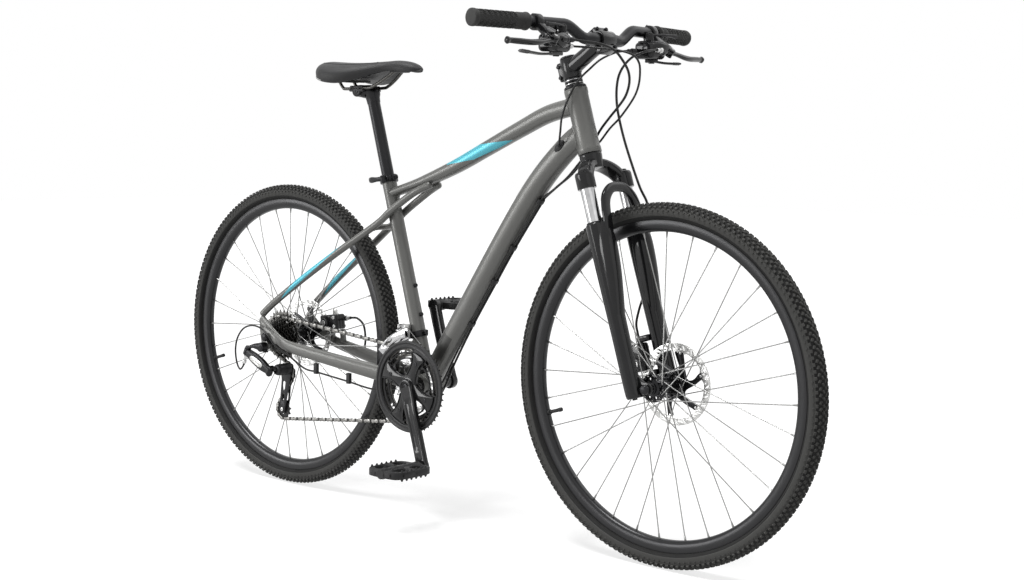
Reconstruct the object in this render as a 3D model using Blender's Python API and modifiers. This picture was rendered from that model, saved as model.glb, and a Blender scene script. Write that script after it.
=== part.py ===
"""Hybrid bike with a suspension fork, disc brakes and a 3 x 7 derailleur drive.

Frame of the model: +X is forward, +Y is the rider's left, +Z is up. The origin lies on the
ground midway between the axles. Lengths are in metres. One object is one sub-part, and each
moving piece hangs on an empty that stands on its joint's axis.
"""
import math

import bmesh
import bpy
from mathutils import Matrix, Vector

MM = 0.001
GAP = 0.3 * MM                    # clearance between pieces that touch

# Frame geometry
WHEELBASE = 1.0694
BEAD_SEAT_RADIUS = 0.311
TYRE_HEIGHT = 0.039               # over the bead seat
WHEEL_RADIUS = BEAD_SEAT_RADIUS + TYRE_HEIGHT
BB_DROP = 0.066                   # bottom bracket below the axles
REAR_CENTRE = 0.4497              # rear axle to bottom bracket, level
SEAT_ANGLE = math.radians(73.7)
HEAD_ANGLE = math.radians(72.4)
FORK_RAKE = 0.048

# Tubes
HEAD_TUBE_RADIUS = 0.0225
HEAD_TUBE_FLARE = 0.001
HEAD_TUBE_FOOT = WHEEL_RADIUS + 0.1235    # along the steering axis from the rake foot
HEAD_TUBE_LENGTH = 0.131
SEAT_TUBE_RADIUS = 0.0159
SEAT_TUBE_TOP = 0.4615            # along the seat tube from the bottom bracket
BB_SHELL_RADIUS = 0.0205
BB_SHELL_HALF = 0.034
BB_CUP_RADIUS = 0.0185
BB_CUP_WIDTH = 0.0035
SPINDLE_RADIUS = 0.0085
DOWN_TUBE_DEPTH = 0.047
STAY_RADIUS = 0.008
DROPOUT_THICKNESS = 0.007

# Wheels
TYRE_WIDTH = 0.038
TYRE_WALL = 0.0026
BEAD_THICKNESS = 0.003
RIM_WIDTH = 0.022
RIM_FLANGE = 0.006
RIM_DEPTH = 0.023
RIM_WALL = 0.0015
SPOKE_COUNT = 32
SPOKE_RADIUS = 0.00115
CROSSES = 3
WHEEL_STEPS = 24
FRONT_OLD = 0.100                 # hub width over the locknuts
REAR_OLD = 0.135
AXLE_RADIUS = 0.005
SKEWER_RADIUS = 0.0025
ROTOR_RADIUS = 0.080
ROTOR_THICKNESS = 0.0018
FRONT_ROTOR_Y = 0.0395
REAR_ROTOR_Y = 0.052

# Drive
PITCH = 0.0127
RING_TEETH = {"small": 28, "middle": 38, "large": 48}
RING_Y = {"small": -0.0425, "middle": -0.0500, "large": -0.0575}
RING_THICKNESS = 0.0022
SPROCKET_TEETH = [14, 16, 18, 20, 22, 24, 28]
SPROCKET_SPACING = 0.005
OUTER_SPROCKET_Y = -0.056
SPROCKET_THICKNESS = 0.0019
CHAIN_SPROCKET = 4                # the chain lies on this one, counted from the outer
PULLEY_TEETH = 11
CRANK_LENGTH = 0.170
CRANK_ANGLE = math.radians(20.8)  # right crank forward of straight down
CRANK_THICKNESS = 0.0125
GUARD_RADIUS = 0.1035
GUARD_Y = -0.0622
GUARD_THICKNESS = 0.0062

# Fork
LEG_Y = 0.060
LEG_OFFSET = 0.020                # legs forward of the steering axis
STANCHION_RADIUS = 0.014
LOWER_RADIUS = 0.019
LOWER_FOOT_RADIUS = 0.017
LOWERS_TOP = WHEEL_RADIUS - 0.018         # along the steering axis from the rake foot
CROWN_BOTTOM = WHEEL_RADIUS + 0.0475
CROWN_TOP = WHEEL_RADIUS + 0.082
STEERER_RADIUS = 0.0143
FORK_TRAVEL = 0.060

# Cockpit
SPACER_HEIGHT = 0.022
STEM_CLAMP_HEIGHT = 0.040
STEM_REACH = 0.0956
STEM_RISE = math.radians(34.3)
BAR_HALF = 0.329
BAR_CLAMP_RADIUS = 0.0127
BAR_RADIUS = 0.0111
BAR_RISE = 0.024
BAR_SWEEP = 0.146                 # rearward per metre outward
GRIP_LENGTH = 0.128
GRIP_RADIUS = 0.0155
CONTROL_Y = BAR_HALF - GRIP_LENGTH - 0.023
LEVER_TILT = {-1: math.radians(34), 1: math.radians(40)}

# Saddle and post
POST_RADIUS = 0.0136
POST_BOTTOM = 0.310               # along the seat tube from the bottom bracket
SADDLE_NOSE_AHEAD = 0.170         # of the seat post's clamp
SADDLE_LENGTH = 0.280
SADDLE_RISE = 0.065               # above the seat post's clamp
RAIL_RADIUS = 0.0035
RAIL_Y = 0.022

# Colours: name, base colour, roughness, metallic
FINISHES = {
    "frame_paint": ((0.125, 0.125, 0.118), 0.38, 0.55),
    "black_paint": ((0.012, 0.012, 0.013), 0.28, 0.10),
    "black_anodised": ((0.020, 0.020, 0.021), 0.42, 0.60),
    "black_plastic": ((0.022, 0.022, 0.023), 0.55, 0.0),
    "grey_plastic": ((0.060, 0.060, 0.060), 0.50, 0.0),
    "rubber": ((0.018, 0.018, 0.018), 0.85, 0.0),
    "grip_rubber": ((0.022, 0.022, 0.022), 0.80, 0.0),
    "chrome": ((0.80, 0.80, 0.80), 0.10, 1.0),
    "steel": ((0.45, 0.45, 0.44), 0.32, 1.0),
    "dark_steel": ((0.075, 0.073, 0.070), 0.40, 0.9),
    "saddle_vinyl": ((0.020, 0.020, 0.021), 0.60, 0.0),
}

REAR_AXLE = Vector((-WHEELBASE / 2, 0.0, WHEEL_RADIUS))
FRONT_AXLE = Vector((WHEELBASE / 2, 0.0, WHEEL_RADIUS))
BB = Vector((REAR_AXLE.x + REAR_CENTRE, 0.0, WHEEL_RADIUS - BB_DROP))
SEAT_UP = Vector((-math.cos(SEAT_ANGLE), 0.0, math.sin(SEAT_ANGLE)))
STEER_UP = Vector((-math.cos(HEAD_ANGLE), 0.0, math.sin(HEAD_ANGLE)))
STEER_FORWARD = Vector((math.sin(HEAD_ANGLE), 0.0, math.cos(HEAD_ANGLE)))
STEER_FOOT = FRONT_AXLE - FORK_RAKE * STEER_FORWARD
X = Vector((1.0, 0.0, 0.0))
Y = Vector((0.0, 1.0, 0.0))
Z = Vector((0.0, 0.0, 1.0))


def on_seat_tube(length, aside=0.0, ahead=0.0):
    """Point at a length along the seat tube, ahead of it or to its side."""
    forward = Vector((SEAT_UP.z, 0.0, -SEAT_UP.x))
    return BB + length * SEAT_UP + ahead * forward + aside * Y


def on_fork(ahead, aside, up):
    """Point in the fork's own frame: forward of, beside and along the steering axis."""
    return STEER_FOOT + ahead * STEER_FORWARD + aside * Y + up * STEER_UP


# Scene, collections and materials

def clear_objects():
    for obj in list(bpy.data.objects):
        bpy.data.objects.remove(obj, do_unlink=True)


def make_collection(name):
    collection = bpy.data.collections.new(name)
    bpy.context.scene.collection.children.link(collection)
    return collection


clear_objects()
PARTS = make_collection("hybrid_bike")
CUTTERS = make_collection("cutters")


def material(name):
    found = bpy.data.materials.get(name)
    if found:
        return found
    colour, roughness, metallic = FINISHES[name]
    made = bpy.data.materials.new(name)
    made.use_nodes = True
    shader = made.node_tree.nodes["Principled BSDF"]
    shader.inputs["Base Color"].default_value = (*colour, 1.0)
    shader.inputs["Roughness"].default_value = roughness
    shader.inputs["Metallic"].default_value = metallic
    made.diffuse_color = (*colour, 1.0)
    return made


# Working solids

def from_bmesh(bm):
    bmesh.ops.recalc_face_normals(bm, faces=bm.faces)
    mesh = bpy.data.meshes.new("solid")
    bm.to_mesh(mesh)
    bm.free()
    obj = bpy.data.objects.new("solid", mesh)
    CUTTERS.objects.link(obj)
    return obj


def settle(obj, matrix=None):
    """Turn a curve, or an object with modifiers, into a plain welded mesh."""
    bpy.context.view_layer.update()
    graph = bpy.context.evaluated_depsgraph_get()
    mesh = bpy.data.meshes.new_from_object(obj.evaluated_get(graph))
    if matrix:
        mesh.transform(matrix)
    bpy.data.objects.remove(obj, do_unlink=True)
    bm = bmesh.new()
    bm.from_mesh(mesh)
    bpy.data.meshes.remove(mesh)
    bmesh.ops.remove_doubles(bm, verts=bm.verts, dist=0.002 * MM)
    return from_bmesh(bm)


def axes_matrix(origin, along, across=X):
    """Matrix whose local Z runs along one direction and whose X lies nearest another."""
    z_axis = along.normalized()
    x_axis = (across - across.dot(z_axis) * z_axis).normalized()
    y_axis = z_axis.cross(x_axis)
    turn = Matrix((x_axis, y_axis, z_axis)).transposed()
    return Matrix.Translation(origin) @ turn.to_4x4()


def box(size, centre, bevel=0.0, matrix=None):
    bm = bmesh.new()
    bmesh.ops.create_cube(bm, size=1.0)
    bmesh.ops.scale(bm, vec=Vector(size), verts=bm.verts)
    if bevel:
        bmesh.ops.bevel(bm, geom=bm.edges[:], offset=bevel, segments=1, affect="EDGES")
    bmesh.ops.translate(bm, vec=Vector(centre), verts=bm.verts)
    if matrix:
        bmesh.ops.transform(bm, matrix=matrix, verts=bm.verts)
    return from_bmesh(bm)


def rod(start, end, radius, sides=16, end_radius=None, across=X):
    start = Vector(start)
    end = Vector(end)
    bm = bmesh.new()
    second = radius if end_radius is None else end_radius
    bmesh.ops.create_cone(bm, cap_ends=True, segments=sides, radius1=radius, radius2=second,
                          depth=(end - start).length)
    if abs((end - start).normalized().dot(across)) > 0.99:
        across = Z
    bmesh.ops.transform(bm, matrix=axes_matrix((start + end) / 2, end - start, across),
                        verts=bm.verts)
    return from_bmesh(bm)


def drill(start, end, radius, sides=12, end_radius=None, across=X):
    """Cutter whose flats clear a rod of this radius by the gap, however the rod turns."""
    return rod(start, end, (radius + GAP) / math.cos(math.pi / sides), sides, end_radius, across)


def turned(profile, origin, along, steps=24, closed=False, across=X):
    """Solid of revolution of (radius, height) points, from the top down the outer side."""
    mesh = bpy.data.meshes.new("profile")
    count = len(profile)
    edges = [(i, i + 1) for i in range(count - 1)]
    if closed:
        edges.append((count - 1, 0))
    mesh.from_pydata([(radius, 0.0, height) for radius, height in profile], edges, [])
    obj = bpy.data.objects.new("turned", mesh)
    CUTTERS.objects.link(obj)
    screw = obj.modifiers.new("turn", "SCREW")
    screw.steps = steps
    screw.render_steps = steps
    screw.use_merge_vertices = True
    screw.merge_threshold = 0.00001
    return settle(obj, axes_matrix(origin, along, across))


def tube(points, radius, resolution=2, radii=None):
    """Round tube along points; radii scales the radius at each point."""
    curve = bpy.data.curves.new("tube", "CURVE")
    curve.dimensions = "3D"
    curve.bevel_depth = radius
    curve.bevel_resolution = resolution
    curve.use_fill_caps = True
    spline = curve.splines.new("POLY")
    spline.points.add(len(points) - 1)
    for i, point in enumerate(points):
        spline.points[i].co = (*point, 1.0)
        if radii:
            spline.points[i].radius = radii[i]
    obj = bpy.data.objects.new("tube", curve)
    CUTTERS.objects.link(obj)
    return settle(obj)


def plate(outline, thickness, matrix, holes=()):
    """Flat plate: a 2D outline with holes, extruded about its own plane."""
    curve = bpy.data.curves.new("plate", "CURVE")
    curve.dimensions = "2D"
    curve.fill_mode = "BOTH"
    curve.extrude = thickness / 2
    for loop in (outline, *holes):
        spline = curve.splines.new("POLY")
        spline.points.add(len(loop) - 1)
        for i, point in enumerate(loop):
            spline.points[i].co = (point[0], point[1], 0.0, 1.0)
        spline.use_cyclic_u = True
    obj = bpy.data.objects.new("plate", curve)
    CUTTERS.objects.link(obj)
    return settle(obj, matrix)


def side_plane(y):
    """Matrix that lays a plate's x and y along the bike's X and Z, at one y."""
    return Matrix(((1, 0, 0, 0), (0, 0, -1, y), (0, 1, 0, 0), (0, 0, 0, 1)))


def loft(rings):
    """Closed solid through rings of points, each ring with the same count."""
    bm = bmesh.new()
    loops = [[bm.verts.new(point) for point in ring] for ring in rings]
    count = len(loops[0])
    for first, second in zip(loops, loops[1:]):
        for i in range(count):
            j = (i + 1) % count
            bm.faces.new((first[i], first[j], second[j], second[i]))
    bm.faces.new(loops[0])
    bm.faces.new(list(reversed(loops[-1])))
    return from_bmesh(bm)


def smooth(stations, steps):
    """Catmull-Rom curve through tuples of any size."""
    values = [Vector(station) for station in stations]
    result = []
    for i in range(len(values) - 1):
        before = values[max(i - 1, 0)]
        start = values[i]
        end = values[i + 1]
        after = values[min(i + 2, len(values) - 1)]
        for k in range(steps):
            t = k / steps
            result.append(0.5 * (2 * start + (end - before) * t
                                 + (2 * before - 5 * start + 4 * end - after) * t * t
                                 + (3 * start - before - 3 * end + after) * t * t * t))
    result.append(values[-1])
    return result


def shaped_tube(stations, steps=1, count=14, power=2.0, lateral=Y, grow=0.0):
    """Tube through (x, y, z, width, height) stations; the width lies along the lateral."""
    path = smooth(stations, steps)
    rings = []
    for i, station in enumerate(path):
        centre = Vector(station[:3])
        ahead = Vector(path[min(i + 1, len(path) - 1)][:3])
        behind = Vector(path[max(i - 1, 0)][:3])
        tangent = (ahead - behind).normalized()
        side = (lateral - lateral.dot(tangent) * tangent).normalized()
        up = tangent.cross(side)
        ring = []
        for k in range(count):
            angle = 2 * math.pi * k / count
            c = math.cos(angle)
            s = math.sin(angle)
            across = math.copysign(abs(c) ** (2 / power), c) * (station[3] / 2 + grow)
            rise = math.copysign(abs(s) ** (2 / power), s) * (station[4] / 2 + grow)
            ring.append(centre + across * side + rise * up)
        rings.append(ring)
    return loft(rings)


def combine(target, others, operation):
    for other in others:
        other.hide_render = True
        other.display_type = "WIRE"
        modifier = target.modifiers.new("combine", "BOOLEAN")
        modifier.operation = operation
        modifier.object = other
        modifier.solver = "EXACT"
    result = settle(target)
    for other in others:
        bpy.data.objects.remove(other, do_unlink=True)
    return result


def fuse(first, *others):
    return combine(first, others, "UNION")


def carve(target, *cutters):
    return combine(target, cutters, "DIFFERENCE")


def gather(solids):
    """One working mesh of several solids that don't touch each other."""
    bm = bmesh.new()
    for solid in solids:
        bm.from_mesh(solid.data)
        bpy.data.objects.remove(solid, do_unlink=True)
    return from_bmesh(bm)


def mirrored(solid):
    """The same solid on the other side of the bike."""
    bm = bmesh.new()
    bm.from_mesh(solid.data)
    bmesh.ops.scale(bm, vec=Vector((1.0, -1.0, 1.0)), verts=bm.verts)
    bpy.data.objects.remove(solid, do_unlink=True)
    return from_bmesh(bm)


PIVOTS = {}
PIVOT_PLACES = {}


def pivot(name, location, parent=None):
    """An empty that stands on a joint's axis, under the joint that carries it."""
    if name not in PIVOTS:
        empty = bpy.data.objects.new(name, None)
        empty.empty_display_size = 0.02
        PIVOT_PLACES[name] = Vector(location)
        empty.location = location
        if parent:
            empty.parent = parent
            empty.location = Vector(location) - PIVOT_PLACES[parent.name]
        PARTS.objects.link(empty)
        PIVOTS[name] = empty
    return PIVOTS[name]


def finish(name, solid, finish_name, parent=None):
    """Name a solid, give it its material and hang it on its joint's empty."""
    bm = bmesh.new()
    bm.from_mesh(solid.data)
    bmesh.ops.dissolve_degenerate(bm, edges=bm.edges, dist=0.001 * MM)
    bmesh.ops.dissolve_limit(bm, angle_limit=math.radians(0.05), verts=bm.verts, edges=bm.edges)
    bm.to_mesh(solid.data)
    bm.free()
    solid.name = name
    solid.data.name = name
    CUTTERS.objects.unlink(solid)
    PARTS.objects.link(solid)
    solid.data.materials.append(material(finish_name))
    solid.data.shade_smooth()
    solid.data.set_sharp_from_angle(angle=math.radians(35))
    if parent:
        solid.data.transform(Matrix.Translation(-PIVOT_PLACES[parent.name]))
        solid.parent = parent
    return solid


# Frame

def spread(start, end, rows):
    """Stations given by share of the way, rise above the line, y and then their sizes."""
    line = end - start
    above = line.normalized().cross(Y)
    if above.z < 0:
        above.negate()
    stations = []
    for share, rise, y, *sizes in rows:
        point = start + share * line + rise * above
        stations.append((point.x, y, point.z, *sizes))
    return stations


SEAT_JOINT = on_seat_tube(0.423)
TOP_JOINT = on_fork(0, 0, HEAD_TUBE_FOOT + 0.0977)
DOWN_JOINT = on_fork(0, 0, HEAD_TUBE_FOOT + 0.0411)
TOP_TUBE = spread(SEAT_JOINT, TOP_JOINT, [
    (-0.00302, 0.00061, 0.0000, 0.030, 0.020),
    (0.10107, -0.00340, 0.0000, 0.034, 0.021),
    (0.19490, -0.00694, 0.0000, 0.036, 0.025),
    (0.37239, -0.00610, 0.0000, 0.034, 0.029),
    (0.54820, 0.00093, 0.0000, 0.033, 0.031),
    (0.72000, 0.00771, 0.0000, 0.033, 0.033),
    (0.86076, 0.01118, 0.0000, 0.034, 0.035),
    (0.99285, 0.00150, 0.0000, 0.034, 0.036),
])
DOWN_TUBE = spread(DOWN_JOINT, BB, [
    (0.00120, 0.00107, 0.0000, 0.036, 0.046),
    (0.05262, 0.01558, 0.0000, 0.042, DOWN_TUBE_DEPTH),
    (0.20190, 0.03017, 0.0000, 0.048, DOWN_TUBE_DEPTH),
    (0.38535, 0.02923, 0.0000, 0.048, DOWN_TUBE_DEPTH),
    (0.72246, 0.01403, 0.0000, 0.047, DOWN_TUBE_DEPTH),
    (1.00000, 0.00000, 0.0000, 0.047, DOWN_TUBE_DEPTH - 0.006),
])


def down_tube_place(station, share):
    """X and Z on the down tube's centre line, part of the way past one station."""
    here = Vector(DOWN_TUBE[station][:3])
    point = here.lerp(Vector(DOWN_TUBE[station + 1][:3]), share)
    return point.x, point.z


GUIDE_PLACES = [down_tube_place(station, share)
                for station, share in ((2, 0.3158), (3, 0.1473), (3, 0.5271), (3, 1.0155))]
GUIDE_DROP = DOWN_TUBE_DEPTH / 2 + 0.0035
HOUSING_RADIUS = {"brake": 0.0025, "shift": 0.0021}
GUIDE_Y = {"brake": 0.0040, "shift": -0.0040}
PORT = Vector(DOWN_TUBE[1][:3]) + Vector((-0.0140, -0.0215, -0.0060))
BOTTLE_BOSSES = (0.150, 0.214)    # along the seat tube, on its front
BOSS_RADIUS = 0.0048
BOSS_HEIGHT = 0.0035


def down_tube_normal():
    """Unit vector out of the straight part of the down tube's underside."""
    along = Vector((DOWN_TUBE[4][0] - DOWN_TUBE[3][0], 0.0, DOWN_TUBE[4][2] - DOWN_TUBE[3][2]))
    return along.normalized().cross(Y)


def guide_point(index, kind):
    x, z = GUIDE_PLACES[index]
    return Vector((x, GUIDE_Y[kind], z)) + GUIDE_DROP * down_tube_normal()


def front_frame():
    """Head, top, down and seat tubes with the bottom bracket shell, guides and bosses."""
    top = HEAD_TUBE_LENGTH
    flare = HEAD_TUBE_RADIUS + HEAD_TUBE_FLARE
    head = turned([(0.0, top), (flare, top), (flare, top - 0.010), (HEAD_TUBE_RADIUS, top - 0.018),
                   (HEAD_TUBE_RADIUS, 0.018), (flare, 0.010), (flare, 0.0), (0.0, 0.0)],
                  on_fork(0, 0, HEAD_TUBE_FOOT), STEER_UP, 14)
    top_tube = shaped_tube(TOP_TUBE, 1, 10, 2.3)
    down_tube = shaped_tube(DOWN_TUBE, 1, 10, 2.3)
    seat = rod(BB, on_seat_tube(SEAT_TUBE_TOP), SEAT_TUBE_RADIUS, 12)
    shell = rod(BB - BB_SHELL_HALF * Y, BB + BB_SHELL_HALF * Y, BB_SHELL_RADIUS, 14)
    cup_end = BB_SHELL_HALF + BB_CUP_WIDTH
    cups = rod(BB - cup_end * Y, BB + cup_end * Y, BB_CUP_RADIUS, 14)
    frame = fuse(shell, cups, seat, down_tube, top_tube, head)
    extras = [cable_guide(i) for i in range(len(GUIDE_PLACES))]
    extras.append(cable_port())
    extras += [rod(on_seat_tube(place, 0, SEAT_TUBE_RADIUS - 0.002),
                   on_seat_tube(place, 0, SEAT_TUBE_RADIUS + BOSS_HEIGHT), BOSS_RADIUS, 8)
               for place in BOTTLE_BOSSES]
    frame = fuse(frame, *extras)
    head_bore = drill(on_fork(0, 0, HEAD_TUBE_FOOT - 0.01),
                    on_fork(0, 0, HEAD_TUBE_FOOT + HEAD_TUBE_LENGTH + 0.01),
                    STEERER_RADIUS, 12)
    post_bore = drill(on_seat_tube(0.150), on_seat_tube(SEAT_TUBE_TOP + 0.01), POST_RADIUS, 12)
    spindle_bore = drill(BB - 0.06 * Y, BB + 0.06 * Y, SPINDLE_RADIUS, 10)
    return carve(frame, head_bore, post_bore, spindle_bore, *guide_openings(), port_bore())


def cable_guide(index):
    """Clip on the down tube's underside that holds the two long housings."""
    x, z = GUIDE_PLACES[index]
    normal = down_tube_normal()
    along = normal.cross(Y)
    centre = Vector((x, 0.0, z)) + (GUIDE_DROP - 0.0030) * normal
    return box((0.010, 0.017, 0.0140), (0, 0, 0), 0.0,
               axes_matrix(centre, normal, along))


def guide_openings():
    """One wide opening through each clip for both housings."""
    normal = down_tube_normal()
    openings = []
    for x, z in GUIDE_PLACES:
        centre = Vector((x, 0.0, z)) + GUIDE_DROP * normal
        openings.append(box((0.020, 0.0138, 2 * HOUSING_RADIUS["brake"] + 2 * GAP), (0, 0, 0), 0.0,
                            axes_matrix(centre, normal, normal.cross(Y))))
    return openings


def port_direction():
    return Vector((-0.50, 0.62, -0.60)).normalized()


def cable_port():
    """Oval pad on the drive side where the front derailleur's housing goes in."""
    outline = [(0.015 * math.cos(a), 0.0075 * math.sin(a))
               for a in (2 * math.pi * k / 10 for k in range(10))]
    along = Vector((DOWN_TUBE[1][0] - DOWN_TUBE[2][0], 0.0, DOWN_TUBE[1][2] - DOWN_TUBE[2][2]))
    return plate(outline, 0.008, axes_matrix(PORT + 0.0015 * Y, -Y, along))


def port_bore():
    return drill(PORT - 0.01 * port_direction(), PORT + 0.008 * port_direction(),
               HOUSING_RADIUS["shift"], 6)


CHAIN_STAY = spread(BB, REAR_AXLE, [
    (0.01120, 0.00026, 0.0250, 0.018, 0.030),
    (0.14389, -0.00202, 0.0300, 0.018, 0.034),
    (0.28374, -0.00276, 0.0385, 0.018, 0.034),
    (0.53234, -0.00418, 0.0540, 0.018, 0.030),
    (0.76538, -0.00557, 0.0660, 0.015, 0.027),
    (0.86621, -0.00320, 0.0716, 0.0090, 0.025),
    (0.95266, 0.00973, 0.0713, 0.0066, 0.024),
    (1.05915, 0.03648, 0.0713, 0.0066, 0.024),
])
SEAT_STAY = spread(SEAT_JOINT.lerp(TOP_JOINT, 0.25), REAR_AXLE, [
    (0.02777, -0.01793, 0.0130),
    (0.09785, -0.00597, 0.0215),
    (0.22322, 0.00524, 0.0242),
    (0.31568, 0.00893, 0.0265),
    (0.53265, 0.02601, 0.0460),
    (0.73751, 0.04087, 0.0590),
    (0.88948, 0.04856, 0.0690),
    (0.96389, 0.04965, 0.0720),
])
DROPOUT_Y = REAR_OLD / 2 + GAP + DROPOUT_THICKNESS / 2
HANGER = REAR_AXLE + Vector((-0.0063, 0.0, -0.0240))
HANGER_RADIUS = 0.010
HANGER_BOLT = 0.0050
STAY_GUIDES = []
for STATION, SHARE in ((3, 0.524), (2, 0.643)):
    PLACE = Vector(CHAIN_STAY[STATION][:3]).lerp(Vector(CHAIN_STAY[STATION + 1][:3]), SHARE)
    STAY_GUIDES.append((PLACE.x, PLACE.z, PLACE.y))


REAR_CALIPER_AT = REAR_AXLE + Vector((0.0867, 0.0, 0.0320))
REAR_CALIPER_ANGLE = math.radians(8)
CALIPER_POSTS = (-0.0180, 0.0180)  # along the caliper from its middle
CALIPER_HEIGHT = 0.036


def caliper_posts():
    """Two posts on the left chain stay that the rear caliper's foot is bolted to."""
    posts = []
    for along in CALIPER_POSTS:
        place = Vector((REAR_CALIPER_AT.x, 0.0640, REAR_CALIPER_AT.z))
        matrix = Matrix.Translation(place) @ Matrix.Rotation(-REAR_CALIPER_ANGLE, 4, "Y")
        top = -CALIPER_HEIGHT / 2 - GAP
        posts.append(box((0.011, 0.011, 0.030), (along, 0, top - 0.015), 0.0, matrix))
    return posts


def arc_points(centre, radius, start, end, count):
    """Points on a circle between two angles in degrees."""
    return [(centre[0] + radius * math.cos(math.radians(start + (end - start) * k / (count - 1))),
             centre[1] + radius * math.sin(math.radians(start + (end - start) * k / (count - 1))))
            for k in range(count)]


def dropout_outline(hanger):
    """Dropout plate in the bike's X and Z: under the stay's hook, round the axle slot."""
    axle = (REAR_AXLE.x, REAR_AXLE.z)
    outline = [(axle[0] + 0.0547, axle[1] - 0.0100), (axle[0] + 0.0197, axle[1] + 0.0070),
               (axle[0] - 0.0213, axle[1] + 0.0400)]
    if hanger:
        outline += [(axle[0] - 0.0253, axle[1] + 0.0200)]
        outline += arc_points((HANGER.x, HANGER.z), HANGER_RADIUS, 180, 340, 7)
        outline += [(axle[0] + 0.012, axle[1] - 0.012), (axle[0] + 0.0297, axle[1] - 0.0150)]
    else:
        outline += [(axle[0] - 0.0213, axle[1] + 0.0200)]
        outline += arc_points(axle, 0.0150, 190, 330, 6)
        outline += [(axle[0] + 0.0347, axle[1] - 0.0170)]
    return outline


def dropout(hanger):
    solid = plate(dropout_outline(hanger), DROPOUT_THICKNESS, side_plane(DROPOUT_Y))
    axle = Vector((REAR_AXLE.x, DROPOUT_Y, REAR_AXLE.z))
    mouth = Vector((0.62, 0.0, -0.785)) if hanger else Vector((0.0, 0.0, -1.0))
    width = 2 * (AXLE_RADIUS + GAP)
    deep = 2 * DROPOUT_THICKNESS
    slot = box((0.030, deep, width), (0.015, 0, 0), 0.0,
               axes_matrix(axle, mouth.cross(Y), mouth))
    seat = rod(axle - deep / 2 * Y, axle + deep / 2 * Y, width / 2, 12)
    cutters = [slot, seat]
    if hanger:
        bolt = Vector((HANGER.x, DROPOUT_Y, HANGER.z))
        cutters.append(drill(bolt - deep / 2 * Y, bolt + deep / 2 * Y, HANGER_BOLT, 10))
    return carve(solid, *cutters)


def stay_side(hanger):
    """Chain stay, seat stay and dropout, built on the left (+Y)."""
    chain_stay = shaped_tube(CHAIN_STAY, 1, 8, 2.6)
    seat_stay = shaped_tube([(*point, 2 * STAY_RADIUS, 2 * STAY_RADIUS) for point in SEAT_STAY],
                            1, 8)
    return fuse(chain_stay, seat_stay, dropout(hanger))


def wishbone():
    """Curved bridge that ties the seat stays above the tyre."""
    x, y, z = SEAT_STAY[3][:3]
    half = [(x - 0.0130, y + 0.0025, z - 0.0080), (x - 0.0040, y - 0.0085, z - 0.0060),
            (x - 0.0010, 0.0, z - 0.0055)]
    points = half + [(x, -y, z) for x, y, z in reversed(half[:-1])]
    return shaped_tube([(*p, 0.013, 0.018) for p in points], 1, 8, 2.0, Z)


def stay_guide(place):
    """Stop under the drive-side chain stay that holds the rear shift housing."""
    x, z, y = place
    return box((0.010, 0.008, 0.012), (x, -y, z - 0.0185))


def shift_under_stay(x):
    """Centre line of the rear shift housing where it runs under the chain stay."""
    (x1, z1, y1), (x0, z0, y0) = STAY_GUIDES
    t = (x - x0) / (x1 - x0)
    return Vector((x, -(y0 + t * (y1 - y0)), z0 + t * (z1 - z0) - 0.0205))


def rear_stays():
    """Both sides of the rear triangle, cut to meet the front frame with a fine gap."""
    left = stay_side(False)
    right = mirrored(stay_side(True))
    bridge_x, stay_y, stay_z = (CHAIN_STAY[1][0] + 0.008, CHAIN_STAY[1][1], CHAIN_STAY[1][2])
    chain_bridge = rod((bridge_x, -stay_y - 0.004, stay_z - 0.001), (bridge_x, stay_y + 0.004, stay_z - 0.001),
                       0.0085, 10)
    guides = [stay_guide(place) for place in STAY_GUIDES]
    stays = fuse(left, right, wishbone(), chain_bridge, *guides, *caliper_posts())
    shell = drill(BB - 0.05 * Y, BB + 0.05 * Y, BB_SHELL_RADIUS, 14)
    top_tube = shaped_tube(TOP_TUBE, 1, 10, 2.3, Y, GAP)
    seat = drill(BB, on_seat_tube(SEAT_TUBE_TOP), SEAT_TUBE_RADIUS, 12)
    bores = [drill(shift_under_stay(place[0] - 0.02), shift_under_stay(place[0] + 0.02),
                 HOUSING_RADIUS["shift"], 6) for place in STAY_GUIDES]
    return carve(stays, shell, top_tube, seat, *bores)


finish("front_frame", front_frame(), "frame_paint")
finish("rear_stays", rear_stays(), "frame_paint")


# Wheels

RIM_INNER_RADIUS = BEAD_SEAT_RADIUS + RIM_FLANGE - RIM_DEPTH
FRONT_FLANGES = {"left": 0.0215, "right": -0.0335}
REAR_FLANGES = {"left": 0.0340, "right": -0.0195}
FLANGE_THICKNESS = 0.0060
SPOKE_STAGGER = 0.0017            # crossing spokes sit this far either side of a flange's middle
SPOKE_CIRCLE = 0.0235
FLANGE_RADIUS = 0.0275
DISC_SEAT_RADIUS = 0.0225
HUB_END_RADIUS = 0.0115
HUB_STEPS = 12


def tyre(axle):
    """Open tyre section: tread, side walls and two beads that sit inside the rim."""
    half = TYRE_WIDTH / 2
    centre = WHEEL_RADIUS - half
    bead = RIM_WIDTH / 2 - RIM_WALL - GAP
    seat = BEAD_SEAT_RADIUS + GAP
    flange_top = BEAD_SEAT_RADIUS + RIM_FLANGE
    outer = [(centre, -half), (WHEEL_RADIUS, -0.4 * half), (WHEEL_RADIUS, 0.4 * half), (centre, half)]
    crown = WHEEL_RADIUS - 2 * TYRE_WALL
    inner = [(crown, 0.35 * half), (crown, -0.35 * half)]
    clear = flange_top + 2 * GAP
    right = [(seat, -bead + BEAD_THICKNESS), (seat, -bead), (clear, -bead)]
    left = [(clear, bead), (seat, bead), (seat, bead - BEAD_THICKNESS)]
    return turned(right + outer + left + inner, axle, Y, WHEEL_STEPS, True)


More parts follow.
